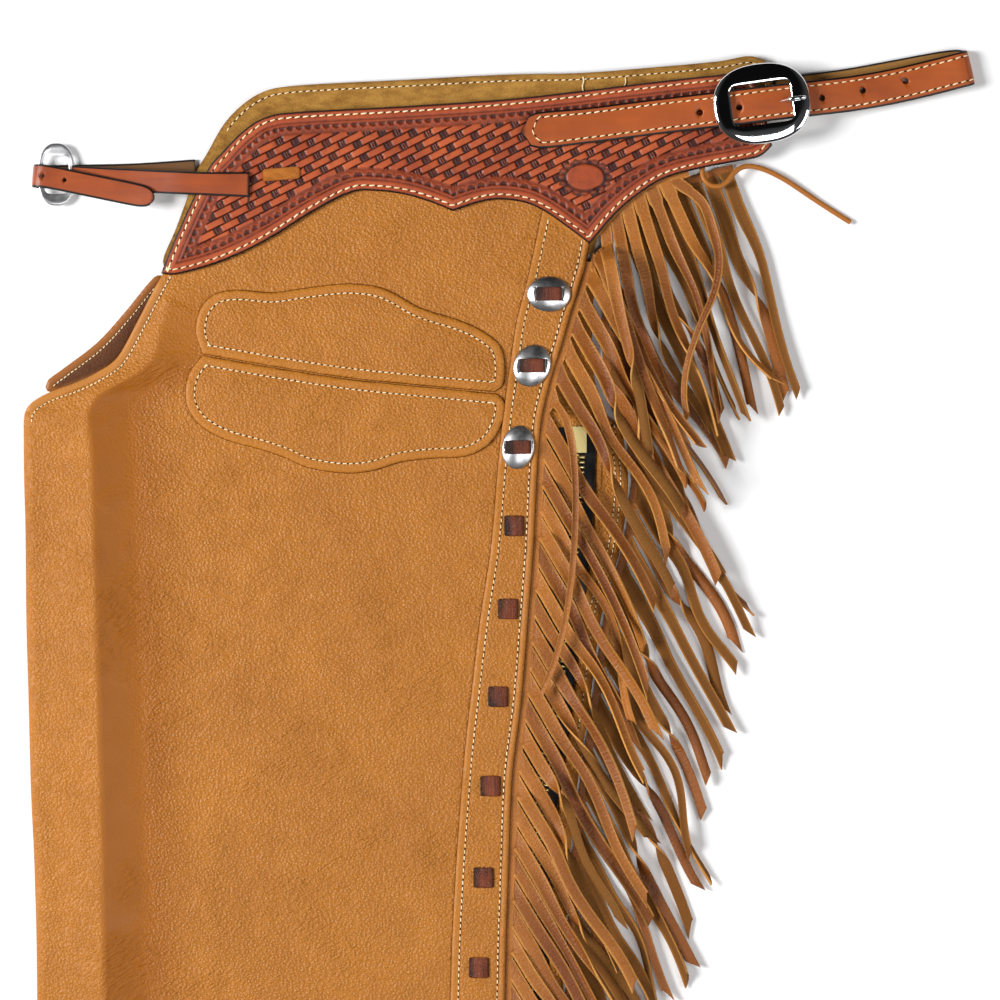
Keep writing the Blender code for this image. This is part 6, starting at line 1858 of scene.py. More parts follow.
@dataclass
class Pockets:
    """The two patches of the pocket, stitched round."""

    sewing: Sewing
    seam_in: float = 5.9

    def build(self) -> None:
        """Makes both patches."""
        for name, rows, top, seed in (("pocket_upper", POCKET_UPPER, POCKET_TOP, 11),
                                      ("pocket_lower", POCKET_LOWER, POCKET_TOP + 0.3, 12)):
            self.patch(name, rows, top, seed)

    def patch(self, name: str, rows: Sequence[Point], top: float, seed: int) -> None:
        """One patch.

        Args:
            name: the solid that it stands for.
            rows: its outline.
            top: its height.
            seed: which random surface it gets.
        """
        outline = smooth_outline(rows, 5)

        def relief(x: np.ndarray, y: np.ndarray, edge: np.ndarray,
                   along: np.ndarray) -> tuple[np.ndarray, Marks]:
            """A rounded edge, a sunk seam and a slightly full middle."""
            heights = top - 0.75 * np.clip(1 - edge / 1.5, 0, 1) ** 2 - 0.42 * hollow(edge, self.seam_in, 1.2)
            heights += (0.5 * ease((edge - self.seam_in) / 14.0)
                        + 0.25 * waves(x, y, 26.0, seed) * ease(edge / 9.0))
            plain = 1 - ease((edge - 2.5) / 4.0)
            return heights, {Mark.PAINT: np.zeros_like(x), Mark.PLAIN: plain * 0.7}

        corners = [(row.x, row.y) for row in rows if row.kind == "corner"]
        made = Panel(name + "_patch", outline, ON_LEG, TAN, (1.2, 1.2), -0.09, corners, 0.45).build(relief)
        dress(made, TAN, name)
        row = with_height(looped(inward(outline, self.seam_in)), top - 0.3)
        self.sewing.row(name + "_stitches", [row], 4.0, 2.8, 0.9, 0.1, seed)


@dataclass
class ConchoStrip:
    """The strip down the outer leg with its conchos and laces."""

    sewing: Sewing
    seam_in: float = 4.9
    concho_sides: int = 72

    def build(self) -> None:
        """Makes the strip and what is on it."""
        self.strip()
        for number, concho in enumerate(CONCHOS, 1):
            self.concho(number, concho)
        self.laces()

    def right_edge(self) -> np.ndarray:
        """The strip's right edge, from the hem up."""
        form = LegForm(SECTIONS)
        places = np.concatenate([np.arange(0.0, 869.0, 9.0), [869.0]])
        return np.vstack([np.stack([form.read("x_strip", places), places], axis=1), STRIP_POINT])

    def left_edge(self) -> np.ndarray:
        """The strip's left edge, from the hem up."""
        y = np.concatenate([np.arange(0.0, 908.5, 9.0), [908.5]])
        x = soft_curve([p[1] for p in STRIP_LEFT], [p[0] for p in STRIP_LEFT], y)
        return np.stack([x, y], axis=1)

    def strip(self) -> None:
        """The strip, its seams and the ridge along its right side."""
        left, right = self.left_edge(), self.right_edge()
        outline = np.vstack([left, np.array(STRIP_TOP_CUT), right[::-1]])

        def relief(x: np.ndarray, y: np.ndarray, edge: np.ndarray,
                   along: np.ndarray) -> tuple[np.ndarray, Marks]:
            """Rounded edges, sunk seams, and hollows where the laces and conchos pull the leather down."""
            middle = (np.interp(y, left[:, 1], left[:, 0]) + np.interp(y, right[:, 1], right[:, 0])) / 2
            on_right = ease((x - middle) / 6.0)
            heights = (STRIP_TOP - 0.7 * np.clip(1 - edge / 1.3, 0, 1) ** 2
                       - 0.35 * hollow(edge, self.seam_in, 1.1))
            heights += on_right * (0.55 * hollow(edge, 2.2, 1.3) - 0.3 * hollow(edge, 4.1, 0.6))
            heights += 0.22 * waves(x, y, 24.0, 15.0) * ease(edge / 6.0)
            for lx, ly in LACES:
                beside = np.exp(-(((np.abs(x - lx) - 6.9) / 1.6) ** 2) - ((y - ly) / 6.0) ** 2)
                above = np.exp(-(((np.abs(y - ly) - 8.4) / 1.7) ** 2) - ((x - lx) / 6.5) ** 2)
                heights += 0.45 * above - 0.55 * beside
            for concho in CONCHOS:
                around = np.hypot(x - concho.x, y - concho.y)
                heights -= 0.4 * np.exp(-(((around - 14.5) / 2.2) ** 2))
            # The tone mark paints shade in the groove inside the ridge along the right side.
            return heights, {Mark.PAINT: np.zeros_like(x), Mark.PLAIN: 0.8 * (1 - ease((edge - 3.0) / 4.0)),
                             Mark.TONE_AND_SHADE: 0.55 * on_right * hollow(edge, 4.1, 0.7)}

        made = Panel("strip_leather", outline, ON_LEG, TAN, (1.2, 1.2), foot=0.5).build(relief)
        dress(made, TAN, "concho_strip")
        rows = [with_height(shifted(left, -self.seam_in, closed=False)[:-1], STRIP_TOP - 0.25),
                with_height(shifted(right, self.seam_in, closed=False), STRIP_TOP - 0.25)]
        self.sewing.row("strip_stitches", rows, 4.0, 2.8, 0.9, 0.1, 14)

    def concho(self, number: int, concho: Concho) -> None:
        """One domed concho with its two slots, and the lace over its middle.

        Args:
            number: which concho it is, from the waist down.
            concho: its place and size.
        """
        profile = [(0.95, 0.0), (0.985, 0.15), (1.0, 0.45), (0.985, 0.8), (0.93, 1.25), (0.84, 1.85),
                   (0.72, 2.5), (0.58, 3.05), (0.42, 3.5), (0.26, 3.8), (0.1, 3.96), (0.02, CONCHO_RISE)]
        angles = np.linspace(0.0, 2 * math.pi, self.concho_sides, endpoint=False)
        turn = math.radians(concho.turn)
        rings = []
        for size, height in profile:
            u, v = concho.long_half * size * np.cos(angles), concho.short_half * size * np.sin(angles)
            rings.append(np.stack([concho.x + u * math.cos(turn) - v * math.sin(turn),
                                   concho.y + u * math.sin(turn) + v * math.cos(turn),
                                   np.full(len(angles), ON_STRIP + height)], axis=1))
        dome = tube(f"concho_dome_{number}", np.array(rings), STEEL, sharp=60.0)
        slots = []
        for side in (-1, 1):
            x, low = concho.x + side * 8.3, ON_STRIP + 1.3
            square = [(x - 0.7, concho.y - 4.3), (x + 0.7, concho.y - 4.3), (x + 0.7, concho.y + 4.3),
                      (x - 0.7, concho.y + 4.3)]
            ring = np.array(square)
            slots.append(tube("slot", np.array([with_height(ring, low), with_height(ring, low + 6.0)]), HOLE_SHADE))
        cut_out(dome, slots)
        dress(dome, STEEL, f"concho_{number}")
        lace = self.arched(f"concho_lace_{number}_strap", 8.4, 8.6, ON_STRIP + CONCHO_RISE + 0.1, 1.2, 2.6,
                           0.9)
        lace.data.transform(self.moved(concho.x, concho.y))
        dress(lace, LACE, f"concho_lace_{number}")

    @staticmethod
    def moved(x: float, y: float) -> object:
        """The step from the pattern's origin to this place, in metres."""
        return Matrix.Translation((x / 1000, y / 1000, 0.0))

    @staticmethod
    def arched(name: str, half: float, wide: float, base: float, wall: float, drop: float,
               power: float) -> bpy.types.Object:
        """A short lace that comes up out of one slot and goes down into the other.

        Args:
            name: the piece's name.
            half: half of the way between its slots.
            wide: the lace's width.
            base: the height that its middle lies on.
            wall: its thickness.
            drop: how far its ends go down.
            power: how square its bend is.

        Returns:
            The object, about the pattern's origin.
        """
        rings, tone = [], []
        for share in np.linspace(-1.0, 1.0, 25):
            x = half * math.sin(share * math.pi / 2)
            low = base - drop * abs(share) ** (4.0 * power) + 0.5 * (1 - share * share)
            # tone paints shade: darker where the ends go down into the slots, and on the left side of the
            # lace.
            tone.append(np.full(14,
                                max(float(ease((abs(share) - 0.6) / 0.35)), 0.8 * float(ease(-share / 0.7)))))
            ring = []
            for across, up in ((1.0, 0.15), (0.985, 0.6), (0.94, 0.9), (0.8, 1.0), (0.4, 1.06), (0.0, 1.08),
                               (-0.4, 1.06), (-0.8, 1.0), (-0.94, 0.9), (-0.985, 0.6), (-1.0, 0.15),
                               (-0.96, 0.0), (0.0, 0.0), (0.96, 0.0)):
                bulge = 1.04 - 0.12 * share ** 4
                ring.append((x, across * wide / 2 * bulge, low + up * wall))
            rings.append(ring)
        return tube(name, np.array(rings), LACE, {Mark.TONE_AND_SHADE: np.array(tone)}, sharp=65.0)

    def laces(self) -> None:
        """The laces in the windows down the strip, set by the repeater."""
        lace = self.arched("lace_item", 6.6, 12.8, ON_STRIP + 0.3, 1.2, 2.3, 0.55)
        centred = -PATTERN.world([(0.0, 0.0, 0.0)])[0]
        lace.data.transform(Matrix.Translation(centred))
        bpy.context.scene.collection.objects.unlink(lace)
        lines = []
        for x, y in LACES:
            lines.append(np.array([(x, y, 0.0), (x + 0.01, y, 0.0)]))
        made = self.sewing.repeater.run("strip_laces", lines, lace, 5.0, LACE, 0.0, 0.0, 15)
        shape = bmesh.new()
        shape.from_mesh(made.data)
        bmesh.ops.remove_doubles(shape, verts=shape.verts, dist=2e-5)
        shape.to_mesh(made.data)
        shape.free()
        made.data.set_sharp_from_angle(angle=math.radians(65.0))
        dress(made, LACE, *[f"lace_{number:02d}" for number in range(1, len(LACES) + 1)])


# ----------------------------------------------------------------------------------------------------------
# Belt, straps and buckles
# ----------------------------------------------------------------------------------------------------------


def ring_plate(name: str, middle: tuple[float, float], turn: float, halves: tuple[float, float],
               window: tuple[float, float], low: float, wall: float, finish: Finish,
               profile: Sequence[tuple[float, float]], tilt: float = 0.0, outer_power: float = 0.85,
               inner_power: float = 0.3, sides: int = 120) -> bpy.types.Object:
    """An oval frame round a window with rounded corners.

    Args:
        name: the piece's name.
        middle: its middle in the plan.
        turn: its turn in radians.
        halves: half of its length and width.
        window: half of the window's length and width.
        low: its underside's height.
        wall: its thickness.
        finish: what it is made of.
        profile: its section, as the share of the way out from the window and the share of the thickness.
        tilt: its tilt about its own Y, in radians.
        outer_power: how square the outside is; 1 is an ellipse.
        inner_power: how square the window is.
        sides: how many sections it has.

    Returns:
        The object.
    """
    angles = np.linspace(0.0, 2 * math.pi, sides, endpoint=False)
    c, s = np.cos(angles), np.sin(angles)
    outer = np.stack([halves[0] * np.sign(c) * abs(c) ** outer_power,
                      halves[1] * np.sign(s) * abs(s) ** outer_power], 1)
    inner = np.stack([window[0] * np.sign(c) * abs(c) ** inner_power,
                      window[1] * np.sign(s) * abs(s) ** inner_power], 1)
    points = []
    for k in range(sides):
        for share, height in profile:
            u, v = inner[k] + (outer[k] - inner[k]) * share
            z = low + wall * height - u * math.tan(tilt)
            points.append((middle[0] + u * math.cos(turn) - v * math.sin(turn),
                           middle[1] + u * math.sin(turn) + v * math.cos(turn), z))
    index = np.arange(sides * len(profile)).reshape(sides, len(profile))
    index = np.vstack([index, index[:1]])
    ahead = np.roll(index, -1, axis=1)
    quads = np.stack([index[:-1], ahead[:-1], ahead[1:], index[1:]], axis=-1).reshape(-1, 4)
    return piece(name, points, quads.tolist(), finish, sharp=45.0)


@dataclass
class Waist:
    """The belt with its buckle, and the front strap with its billet and small buckle."""

    sewing: Sewing
    buckle_at: tuple[float, float] = (170.3, 975.2)
    buckle_turn: float = math.radians(8.0)
    buckle_halves: tuple[float, float] = (31.5, 26.0)
    buckle_window: tuple[float, float] = (19.8, 13.4)
    buckle_low: float = 18.9
    buckle_wall: float = 3.6
    small_at: tuple[float, float] = (-287.9, 930.0)
    small_halves: tuple[float, float] = (12.0, 20.5)
    small_window: tuple[float, float] = (8.2, 12.6)
    small_low: float = 4.7
    small_wall: float = 2.2
    small_left: float = 7.0
    small_right: float = 4.6

    def build(self) -> None:
        """Makes the straps and the buckles."""
        self.belt()
        self.buckle()
        self.front_straps()
        self.small_buckle()

    def belt(self) -> None:
        """The belt, its holes and its two rows of stitches, which meet at its point."""
        ribbon = Ribbon("belt_leather", BELT, 3.0, BELT_HIDE, paint=1.5)
        made = ribbon.build()
        cut_out(made, [drill(x, y, -2.0, 24.0, 2.1, BELT_HIDE) for x, y in BELT_HOLES])
        dress(made, BELT_HIDE, "belt")
        middle = ribbon.frames()[0]
        turn = int(np.argmax(middle[:, 0]))
        first = 5
        left, right = ribbon.track(3.6, 1, first, turn), ribbon.track(3.6, -1, first, turn)
        point = ribbon.frames()[0][2] + (2.6, 0.2, 1.55)
        row = np.vstack([left[::-1], point[None], right])
        self.sewing.row("belt_stitches", [row], 5.4, 3.8, 1.1, 0.16, 21)

    def buckle(self) -> None:
        """The polished buckle, its heel bar and its tongue."""
        profile = [(1.0, 0.12), (1.0, 0.3), (0.985, 0.44), (0.95, 0.57), (0.88, 0.69), (0.78, 0.79),
                   (0.64, 0.87), (0.48, 0.93), (0.32, 0.975), (0.16, 1.0), (0.07, 0.98), (0.01, 0.88),
                   (0.0, 0.6), (0.0, 0.1), (0.05, 0.0), (0.95, 0.0)]
        frame_piece = ring_plate("buckle_frame", self.buckle_at, self.buckle_turn, self.buckle_halves,
                                 self.buckle_window, self.buckle_low, self.buckle_wall, CHROME, profile,
                                 inner_power=0.22, sides=160)
        dress(frame_piece, CHROME, "belt_buckle")
        self.heel_bar()
        tongue = [(182.6, 976.9, 15.6, 1.5), (184.6, 977.2, 17.4, 1.5), (186.6, 977.5, 20.2, 1.5),
                  (188.4, 977.8, 23.0, 1.5), (191.0, 978.2, 24.1, 1.55), (194.6, 978.7, 24.1, 1.5),
                  (197.4, 979.1, 23.7, 1.3), (198.6, 979.3, 23.5, 0.6)]
        run = smooth_line(tongue, 0.6)
        dress(self.rod("buckle_tongue", run[:, :3], run[:, 3], CHROME), CHROME, "belt_tongue")

    def heel_bar(self) -> None:
        """The bar under the belt that the buckle hangs on."""
        c, s = math.cos(self.buckle_turn), math.sin(self.buckle_turn)
        line = []
        for v, z in ((-13.6, 20.0), (-13.6, 15.2), (-12.4, 14.0), (12.4, 14.0), (13.6, 15.2), (13.6, 20.0)):
            line.append((self.buckle_at[0] - 17.6 * c - v * s, self.buckle_at[1] - 17.6 * s + v * c, z))
        run = np.array(line)
        dress(self.rod("buckle_bar", run, np.full(len(run), 1.1), CHROME), CHROME)

    @staticmethod
    def rod(name: str, line: np.ndarray, radius: np.ndarray, finish: Finish) -> bpy.types.Object:
        """A round rod along a line."""
        along = np.gradient(line, axis=0)
        along /= np.linalg.norm(along, axis=1, keepdims=True)
        side = np.cross(along, (0.02, 0.1, 1.0))
        flat = np.linalg.norm(side, axis=1, keepdims=True)
        side = np.where(flat < 0.2, (1.0, 0.0, 0.0), side / np.maximum(flat, 1e-9))
        up = np.cross(side, along)
        angles = np.linspace(0.0, 2 * math.pi, 14, endpoint=False)
        rings = [line[k] + radius[k] * (np.outer(np.cos(angles), side[k]) + np.outer(np.sin(angles), up[k]))
                 for k in range(len(line))]
        return tube(name, np.array(rings), finish)

    def front_straps(self) -> None:
        """The front strap in its slot, and the billet round the small buckle's left side."""
        strap = Ribbon("front_strap_leather", FRONT_STRAP, 2.0, BRIDLE, paint=1.5, grain_up=False).build()
        dress(strap, BRIDLE, "front_strap")
        billet = Ribbon("front_billet_leather", BILLET[::-1], 2.0, BRIDLE, paint=1.5, grain_up=False).build()
        cut_out(billet, [drill(x, y, -2.0, 20.0, 1.3, BRIDLE) for x, y in BILLET_HOLES])
        dress(billet, BRIDLE, "front_billet")
        # A dark block in the yoke's slot paints the shade where the strap goes through it.
        slot = np.array([(-163.4, 911.5), (-161.9, 911.5), (-161.9, 932.0), (-163.4, 932.0)])
        rings = np.array([with_height(slot, YOKE_TOP - 1.5), with_height(slot, YOKE_TOP + 0.12)])
        dress(tube("strap_slot", rings, HOLE_SHADE), HOLE_SHADE)

    def small_buckle(self) -> None:
        """The dished buckle at the front."""
        profile = [(1.0, 0.2), (1.0, 0.6), (0.93, 0.9), (0.8, 1.0), (0.55, 0.92), (0.3, 0.8), (0.1, 0.78),
                   (0.0, 0.7), (0.0, 0.1), (0.1, 0.0), (0.9, 0.0)]
        tilt = math.atan((self.small_left - self.small_right) / (2 * self.small_halves[0]))
        made = ring_plate("front_buckle_frame", self.small_at, 0.0, self.small_halves, self.small_window,
                          self.small_low, self.small_wall, STEEL, profile, tilt, inner_power=0.4, sides=96)
        dress(made, STEEL, "front_buckle")


# ----------------------------------------------------------------------------------------------------------
# The zip
# ----------------------------------------------------------------------------------------------------------


@dataclass
class Zip:
    """The closed zip between the strip and the back panel. Its slider, pull and box are the frame's own."""

    sewing: Sewing
    tooth_pitch: float = 3.25
    tooth_from_middle: float = 2.1
    cord_from_middle: float = 4.0
    cord_radius: float = 0.7
    first_tooth: float = 24.5
    last_tooth: float = 748.0

    def build(self) -> None:
        """Makes the tape and the teeth, and dresses the furniture."""
        rows = SECTIONS[:ZIP_SECTIONS]
        form = LegForm(rows)
        places = np.concatenate([np.arange(0.0, rows[-1].y_right, 6.0), [rows[-1].y_right]])
        left, right = form.read("x_strip", places) + 5.9, form.read("x_edge", places) - 0.9
        rings = []
        for k, y in enumerate(places):
            rings.append([(left[k], y, TAPE_LOW), (right[k], y, TAPE_LOW), (right[k], y, TAPE_TOP),
                          ((left[k] + right[k]) / 2, y, TAPE_TOP + 0.1), (left[k], y, TAPE_TOP)])
        made = tube("zip_cloth", np.array(rings), ZIP_TAPE)
        dress(made, ZIP_TAPE, "zip_tape")
        self.teeth(form)
        for node in ("zip_slider", "zip_pull", "zip_box"):
            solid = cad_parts[node]
            solid.data.materials.clear()
            solid.data.materials.append(material(BRASS))

    def teeth(self, form: LegForm) -> None:
        """Two rows of brass teeth that mesh, and the cord that each row is clamped on."""
        low, high = self.first_tooth, self.last_tooth
        lines = []
        for side, lag in ((-1, 0.0), (1, self.tooth_pitch / 2)):
            places = np.arange(low + lag, high, 3.0)
            middle = form.read("x_chain", places)
            lines.append(np.column_stack([middle + side * self.tooth_from_middle, places,
                                          np.full(len(places), CHAIN_LOW + 1.0)]))
        rings = [(-0.95, 1.6, 0.5), (-0.9, 2.9, 0.95), (0.0, 3.0, 1.0), (0.9, 2.9, 0.95), (0.95, 1.6, 0.5)]
        tooth = small_item("tooth", rings, 8, 0.0)
        made = self.sewing.repeater.run("zip_teeth", lines, tooth, self.tooth_pitch, BRASS, 0.0, 0.0, 31)
        dress(made, BRASS, "zip_chain")
        for number, side in enumerate((-1, 1), 1):
            places = np.arange(low, high, 6.0)
            middle = form.read("x_chain", places) + side * self.cord_from_middle
            rings = [[(x + self.cord_radius * math.cos(a), y,
                       CHAIN_LOW + 0.6 + self.cord_radius * math.sin(a))
                      for a in np.linspace(0, 2 * math.pi, 8, endpoint=False)]
                     for x, y in zip(middle, places)]
            dress(tube(f"zip_cord_{number}", np.array(rings), ZIP_TAPE), ZIP_TAPE)


# ----------------------------------------------------------------------------------------------------------
# Fringe
# ----------------------------------------------------------------------------------------------------------

STRAND_WALL = 1.6
SLIT = 0.7
DROP_SLOPE = 0.35
CELL = 1.5
SAMPLE = 4.0
RING_AT = (0.0, 10.0, 26.0, 48.0, 72.0, 97.0, 122.0, 148.0, 174.0)
CLUMP_STEP = 1.25
HIGHEST = 33.0


@dataclass(frozen=True)
class Fringe:
    """One fringe: where its backing lies and how its strands run."""

    node: str
    finish: Hide
    root_z: float
    pitch: float
    width: float
    length: float
    first: float
    last: float
    turn: float
    spread: float
    clump: float
    roll: float
    seed: int
    root: Sequence[tuple[float, float]]
    backing: float
    suede_share: float
    lead: float = 0.5


def between(y: float, column: str) -> float:
    """The column's value at this y, from straight lines between the sections' right ends."""
    return float(np.interp(y, [row.y_right for row in SECTIONS], [getattr(row, column) for row in SECTIONS]))


def near_leg_root() -> list[tuple[float, float]]:
    """The near leg's root line: just outside the concho strip's right edge."""
    line = [(row.x_strip + BACKING_OUT, row.y_right) for row in SECTIONS if row.y_right > NEAR_LEG_ROOT_FIRST]
    return [(SECTIONS[0].x_strip + BACKING_OUT, NEAR_LEG_ROOT_FIRST)] + line + [NEAR_LEG_ROOT_END]


FRINGES = [
    Fringe("fringe_far_leg", SPLIT, 1.4, 17.6, 9.4, 141.0, -62.0, -58.0, -4.0, 3.0, 2.5, 12.0, 11,
           FAR_LEG_ROOT, BACKING_OUT - 0.4, 0.6),
    Fringe("fringe_far_yoke", SPLIT, 1.4, 10.9, 9.4, 152.0, -66.0, -70.0, -1.0, 2.0, 1.5, 8.0, 23,
           FAR_YOKE_ROOT, BACKING_OUT - 0.4, 1.0),
    Fringe("fringe_near_yoke", FRINGE_HIDE, 8.0, 10.4, 8.2, 150.0, -84.0, -63.0, 4.0, 5.0, 4.0, 26.0, 37,
           NEAR_YOKE_ROOT, BACKING_IN + BACKING_OUT, 0.0, 9.0),
    Fringe("fringe_near_leg", FRINGE_HIDE, 8.0, 16.9, 9.3, 150.0, -57.0, -60.0, -3.0, 4.0, 3.0, 30.0, 58,
           near_leg_root(), BACKING_IN + BACKING_OUT, 0.0, 1.5),
]


class Stray(NamedTuple):
    """A strand that strays: its fringe, its number from the root line's start, its width and its route."""

    fringe: str
    number: int
    width: float
    route: list[tuple[float, float]]


STRAYS = [
    Stray("fringe_near_leg", 42, 5.2,
          [(43.0, 771.0), (47.6, 752.0), (49.6, 722.0), (48.8, 690.0), (46.6, 664.0),
                                       (42.2, 636.0), (35.6, 612.0), (29.6, 598.0), (26.0, 590.0)]),
    Stray("fringe_near_yoke", 6, 6.6, [(132.5, 911.0), (139.0, 893.0), (143.0, 874.0), (140.0, 853.0),
                                       (130.0, 829.0), (122.5, 806.0), (120.5, 786.0), (123.0, 770.0)]),
]


# The strands that hang from the corner under the yoke's point: both ends of the root, and the heading.
TIP_STRANDS = [((60.0, 871.0), (62.0, 878.0), -62.0), ((61.5, 875.0), (66.0, 880.5), -67.0),
               ((63.5, 877.5), (69.5, 882.5), -73.0), ((66.0, 880.0), (72.5, 885.5), -78.0)]


class HeightMap:
    """The height of what lies on the floor already, in small cells, for laying strands over it."""

    def __init__(self) -> None:
        """Starts with the pieces that lie under the fringe."""
        self.cells: dict[tuple[int, int], float] = {}

    @staticmethod
    def ground(x: float, y: float) -> float:
        """The top of the pieces that lie under the fringe, with a little to spare."""
        if y > 872.0:
            return PILE_TOP if x < 84.0 or y > 918.0 + (x - 84.0) * 0.6 else 0.2
        if x > between(y, "x_back") + 1.0:
            return 0.2
        if y > SECTIONS[ZIP_SECTIONS - 1].y_right + 6.0:
            return PILE_TOP
        if x > between(y, "x_edge") - 1.5:
            return 9.6
        if abs(x - between(y, "x_chain")) < CHAIN_HALF + 1.5:
            return CHAIN_TOP + (1.2 if y > 740.0 else 0.0)
        return TAPE_TOP

    def read(self, x: float, y: float) -> float:
        """The height at a place."""
        return max(self.cells.get((round(x / CELL), round(y / CELL)), 0.0), self.ground(x, y))

    def raise_to(self, x: float, y: float, height: float) -> None:
        """Says that something lies at a place up to this height."""
        key = (round(x / CELL), round(y / CELL))
        self.cells[key] = max(self.cells.get(key, 0.0), height)


class Strand:
    """One strand: its root on the backing, its line in the plan, its roll and its height."""

    def __init__(self, fringe: Fringe, number: int, low: tuple[float, float], high: tuple[float, float],
                 heading: float, dice: random.Random) -> None:
        """Draws the strand's own sizes and walks its line.

        Args:
            fringe: the fringe that it belongs to.
            number: which strand it is, from the start of the root line.
            low: the lower end of its root.
            high: the upper end of its root.
            heading: its heading at the root, in degrees.
            dice: the fringe's random numbers.
        """
        self.low, self.high = low, high
        self.length = fringe.length * dice.uniform(0.9, 1.1)
        self.width = fringe.width * dice.uniform(0.9, 1.04)
        self.heading = heading + fringe.turn * 0.2
        self.turn = (fringe.turn + dice.uniform(-1, 1) * fringe.spread
                     + fringe.clump * math.sin(number * CLUMP_STEP))
        self.sway = dice.uniform(-1, 1) * fringe.spread * 0.9
        self.phase = dice.uniform(0.0, 2 * math.pi)
        self.roll = fringe.roll * dice.choice((-1.0, -0.4, 0.0, 0.0, 0.3, 1.0))
        self.cut = dice.uniform(4.0, 11.0) * dice.choice((-1, 1))
        self.root_z, self.lead = fringe.root_z, fringe.lead
        self.heights: list[float] = []
        x, y = (low[0] + high[0]) / 2, (low[1] + high[1]) / 2
        self.line = [(x, y, self.heading_at(0.0))]
        count = int(self.length / SAMPLE)
        for k in range(1, count + 1):
            angle = self.heading_at(k / count)
            x += self.length / count * math.cos(math.radians(angle))
            y += self.length / count * math.sin(math.radians(angle))
            self.line.append((x, y, angle))
        self.reach = 0.5
        for stray in STRAYS:
            if (stray.fringe, stray.number) == (fringe.node, number):
                self.follow(stray)

    def follow(self, stray: Stray) -> None:
        """Takes the stray's own route and width, over the neighbours' roots as well."""
        places = evenly(through([self.line[0][:2]] + stray.route), SAMPLE)
        self.length = SAMPLE * (len(places) - 1)
        self.width, self.reach = stray.width, 9.0
        self.line = []
        for k, (x, y) in enumerate(places):
            a, b = places[max(k - 1, 0)], places[min(k + 1, len(places) - 1)]
            self.line.append((x, y, math.degrees(math.atan2(b[1] - a[1], b[0] - a[0]))))

    def heading_at(self, way: float) -> float:
        """The heading in degrees at this share of the length."""
        late = max(0.0, way - 0.1) / 0.9
        wave = math.sin(self.phase + 5.0 * late) - math.sin(self.phase)
        return self.heading + self.turn * late ** 1.3 * 1.6 + self.sway * wave * late

    def roll_at(self, way: float) -> float:
        """The strand's roll about its own line, in radians."""
        return math.radians(self.roll) * float(ease((way - 0.22) / 0.5))

    def width_at(self, way: float) -> float:
        """The strand's width, a little narrower towards the tip."""
        return self.width * (1 - 0.12 * way)

    def half_high(self, way: float) -> float:
        """Half of the height that the rolled section takes."""
        roll = self.roll_at(way)
        return abs(math.sin(roll)) * self.width_at(way) / 2 + math.cos(roll) * STRAND_WALL / 2

    def footprint(self, index: int, margin: float) -> list[tuple[float, float]]:
        """Points across the strand at one sample of its line."""
        x, y, angle = self.line[index]
        way = index / (len(self.line) - 1)
        half = self.width_at(way) / 2 * math.cos(self.roll_at(way)) + 0.3 + margin
        nx, ny = -math.sin(math.radians(angle)), math.cos(math.radians(angle))
        made = []
        for along in (-0.5, 0.0, 0.5):
            for k in range(7):
                side = half * (2 * k / 6 - 1)
                made.append((x + nx * side + along * SAMPLE * ny, y + ny * side - along * SAMPLE * nx))
        return made

    def places(self) -> list[float]:
        """The distances from the root at which the strand's height is set, the tip last."""
        return [s for s in RING_AT if s < self.length - 16.0] + [self.length - abs(self.cut) / 2]

    def lay(self, heights: HeightMap) -> None:
        """Finds the strand's height over what is already there, then adds the strand to it."""
        last = len(self.line) - 1
        needed = [self.root_z]
        for k in range(1, last + 1):
            if k * SAMPLE < 13.0:
                needed.append(0.0)
                continue
            below = max(heights.read(px, py) for px, py in self.footprint(k, self.reach))
            needed.append(below + GAP + 0.15 + self.half_high(k / last))
        levels = [max(need - DROP_SLOPE * SAMPLE * abs(k - j) for j, need in enumerate(needed))
                  for k in range(last + 1)]
        places = self.places()
        self.heights = [self.root_z]
        spacing = self.length / last
        for i in range(1, len(places)):
            low, high = places[i] if i == 1 else places[i - 1], places[min(i + 1, len(places) - 1)]
            first, final = max(int(low / spacing), 0), min(int(math.ceil(high / spacing)), last)
            self.heights.append(max(levels[first:final + 1]))
        for k in range(last + 1):
            distance = k * self.length / last
            if distance >= 9.0:
                for px, py in self.footprint(k, 0.5):
                    heights.raise_to(px, py, self.top_at(distance))

    def top_at(self, distance: float) -> float:
        """The height of the strand's top at a distance from the root."""
        places = self.places()
        i = max(k for k in range(len(places)) if places[k] <= distance or k == 0)
        j = min(i + 1, len(places) - 1)
        way = (distance - places[i]) / (places[j] - places[i]) if j > i else 0.0
        middle = self.heights[i] + (self.heights[j] - self.heights[i]) * min(way, 1.0)
        return middle + max(self.half_high(places[i] / self.length), self.half_high(places[j] / self.length))

    def sample(self, distance: float) -> tuple[float, float, float]:
        """The middle and heading at a distance from the root, off the stepped line."""
        place = min(distance * (len(self.line) - 1) / self.length, len(self.line) - 1.001)
        k, part = int(place), place - int(place)
        a, b = self.line[k], self.line[k + 1]
        return tuple(a[i] + (b[i] - a[i]) * part for i in range(3))


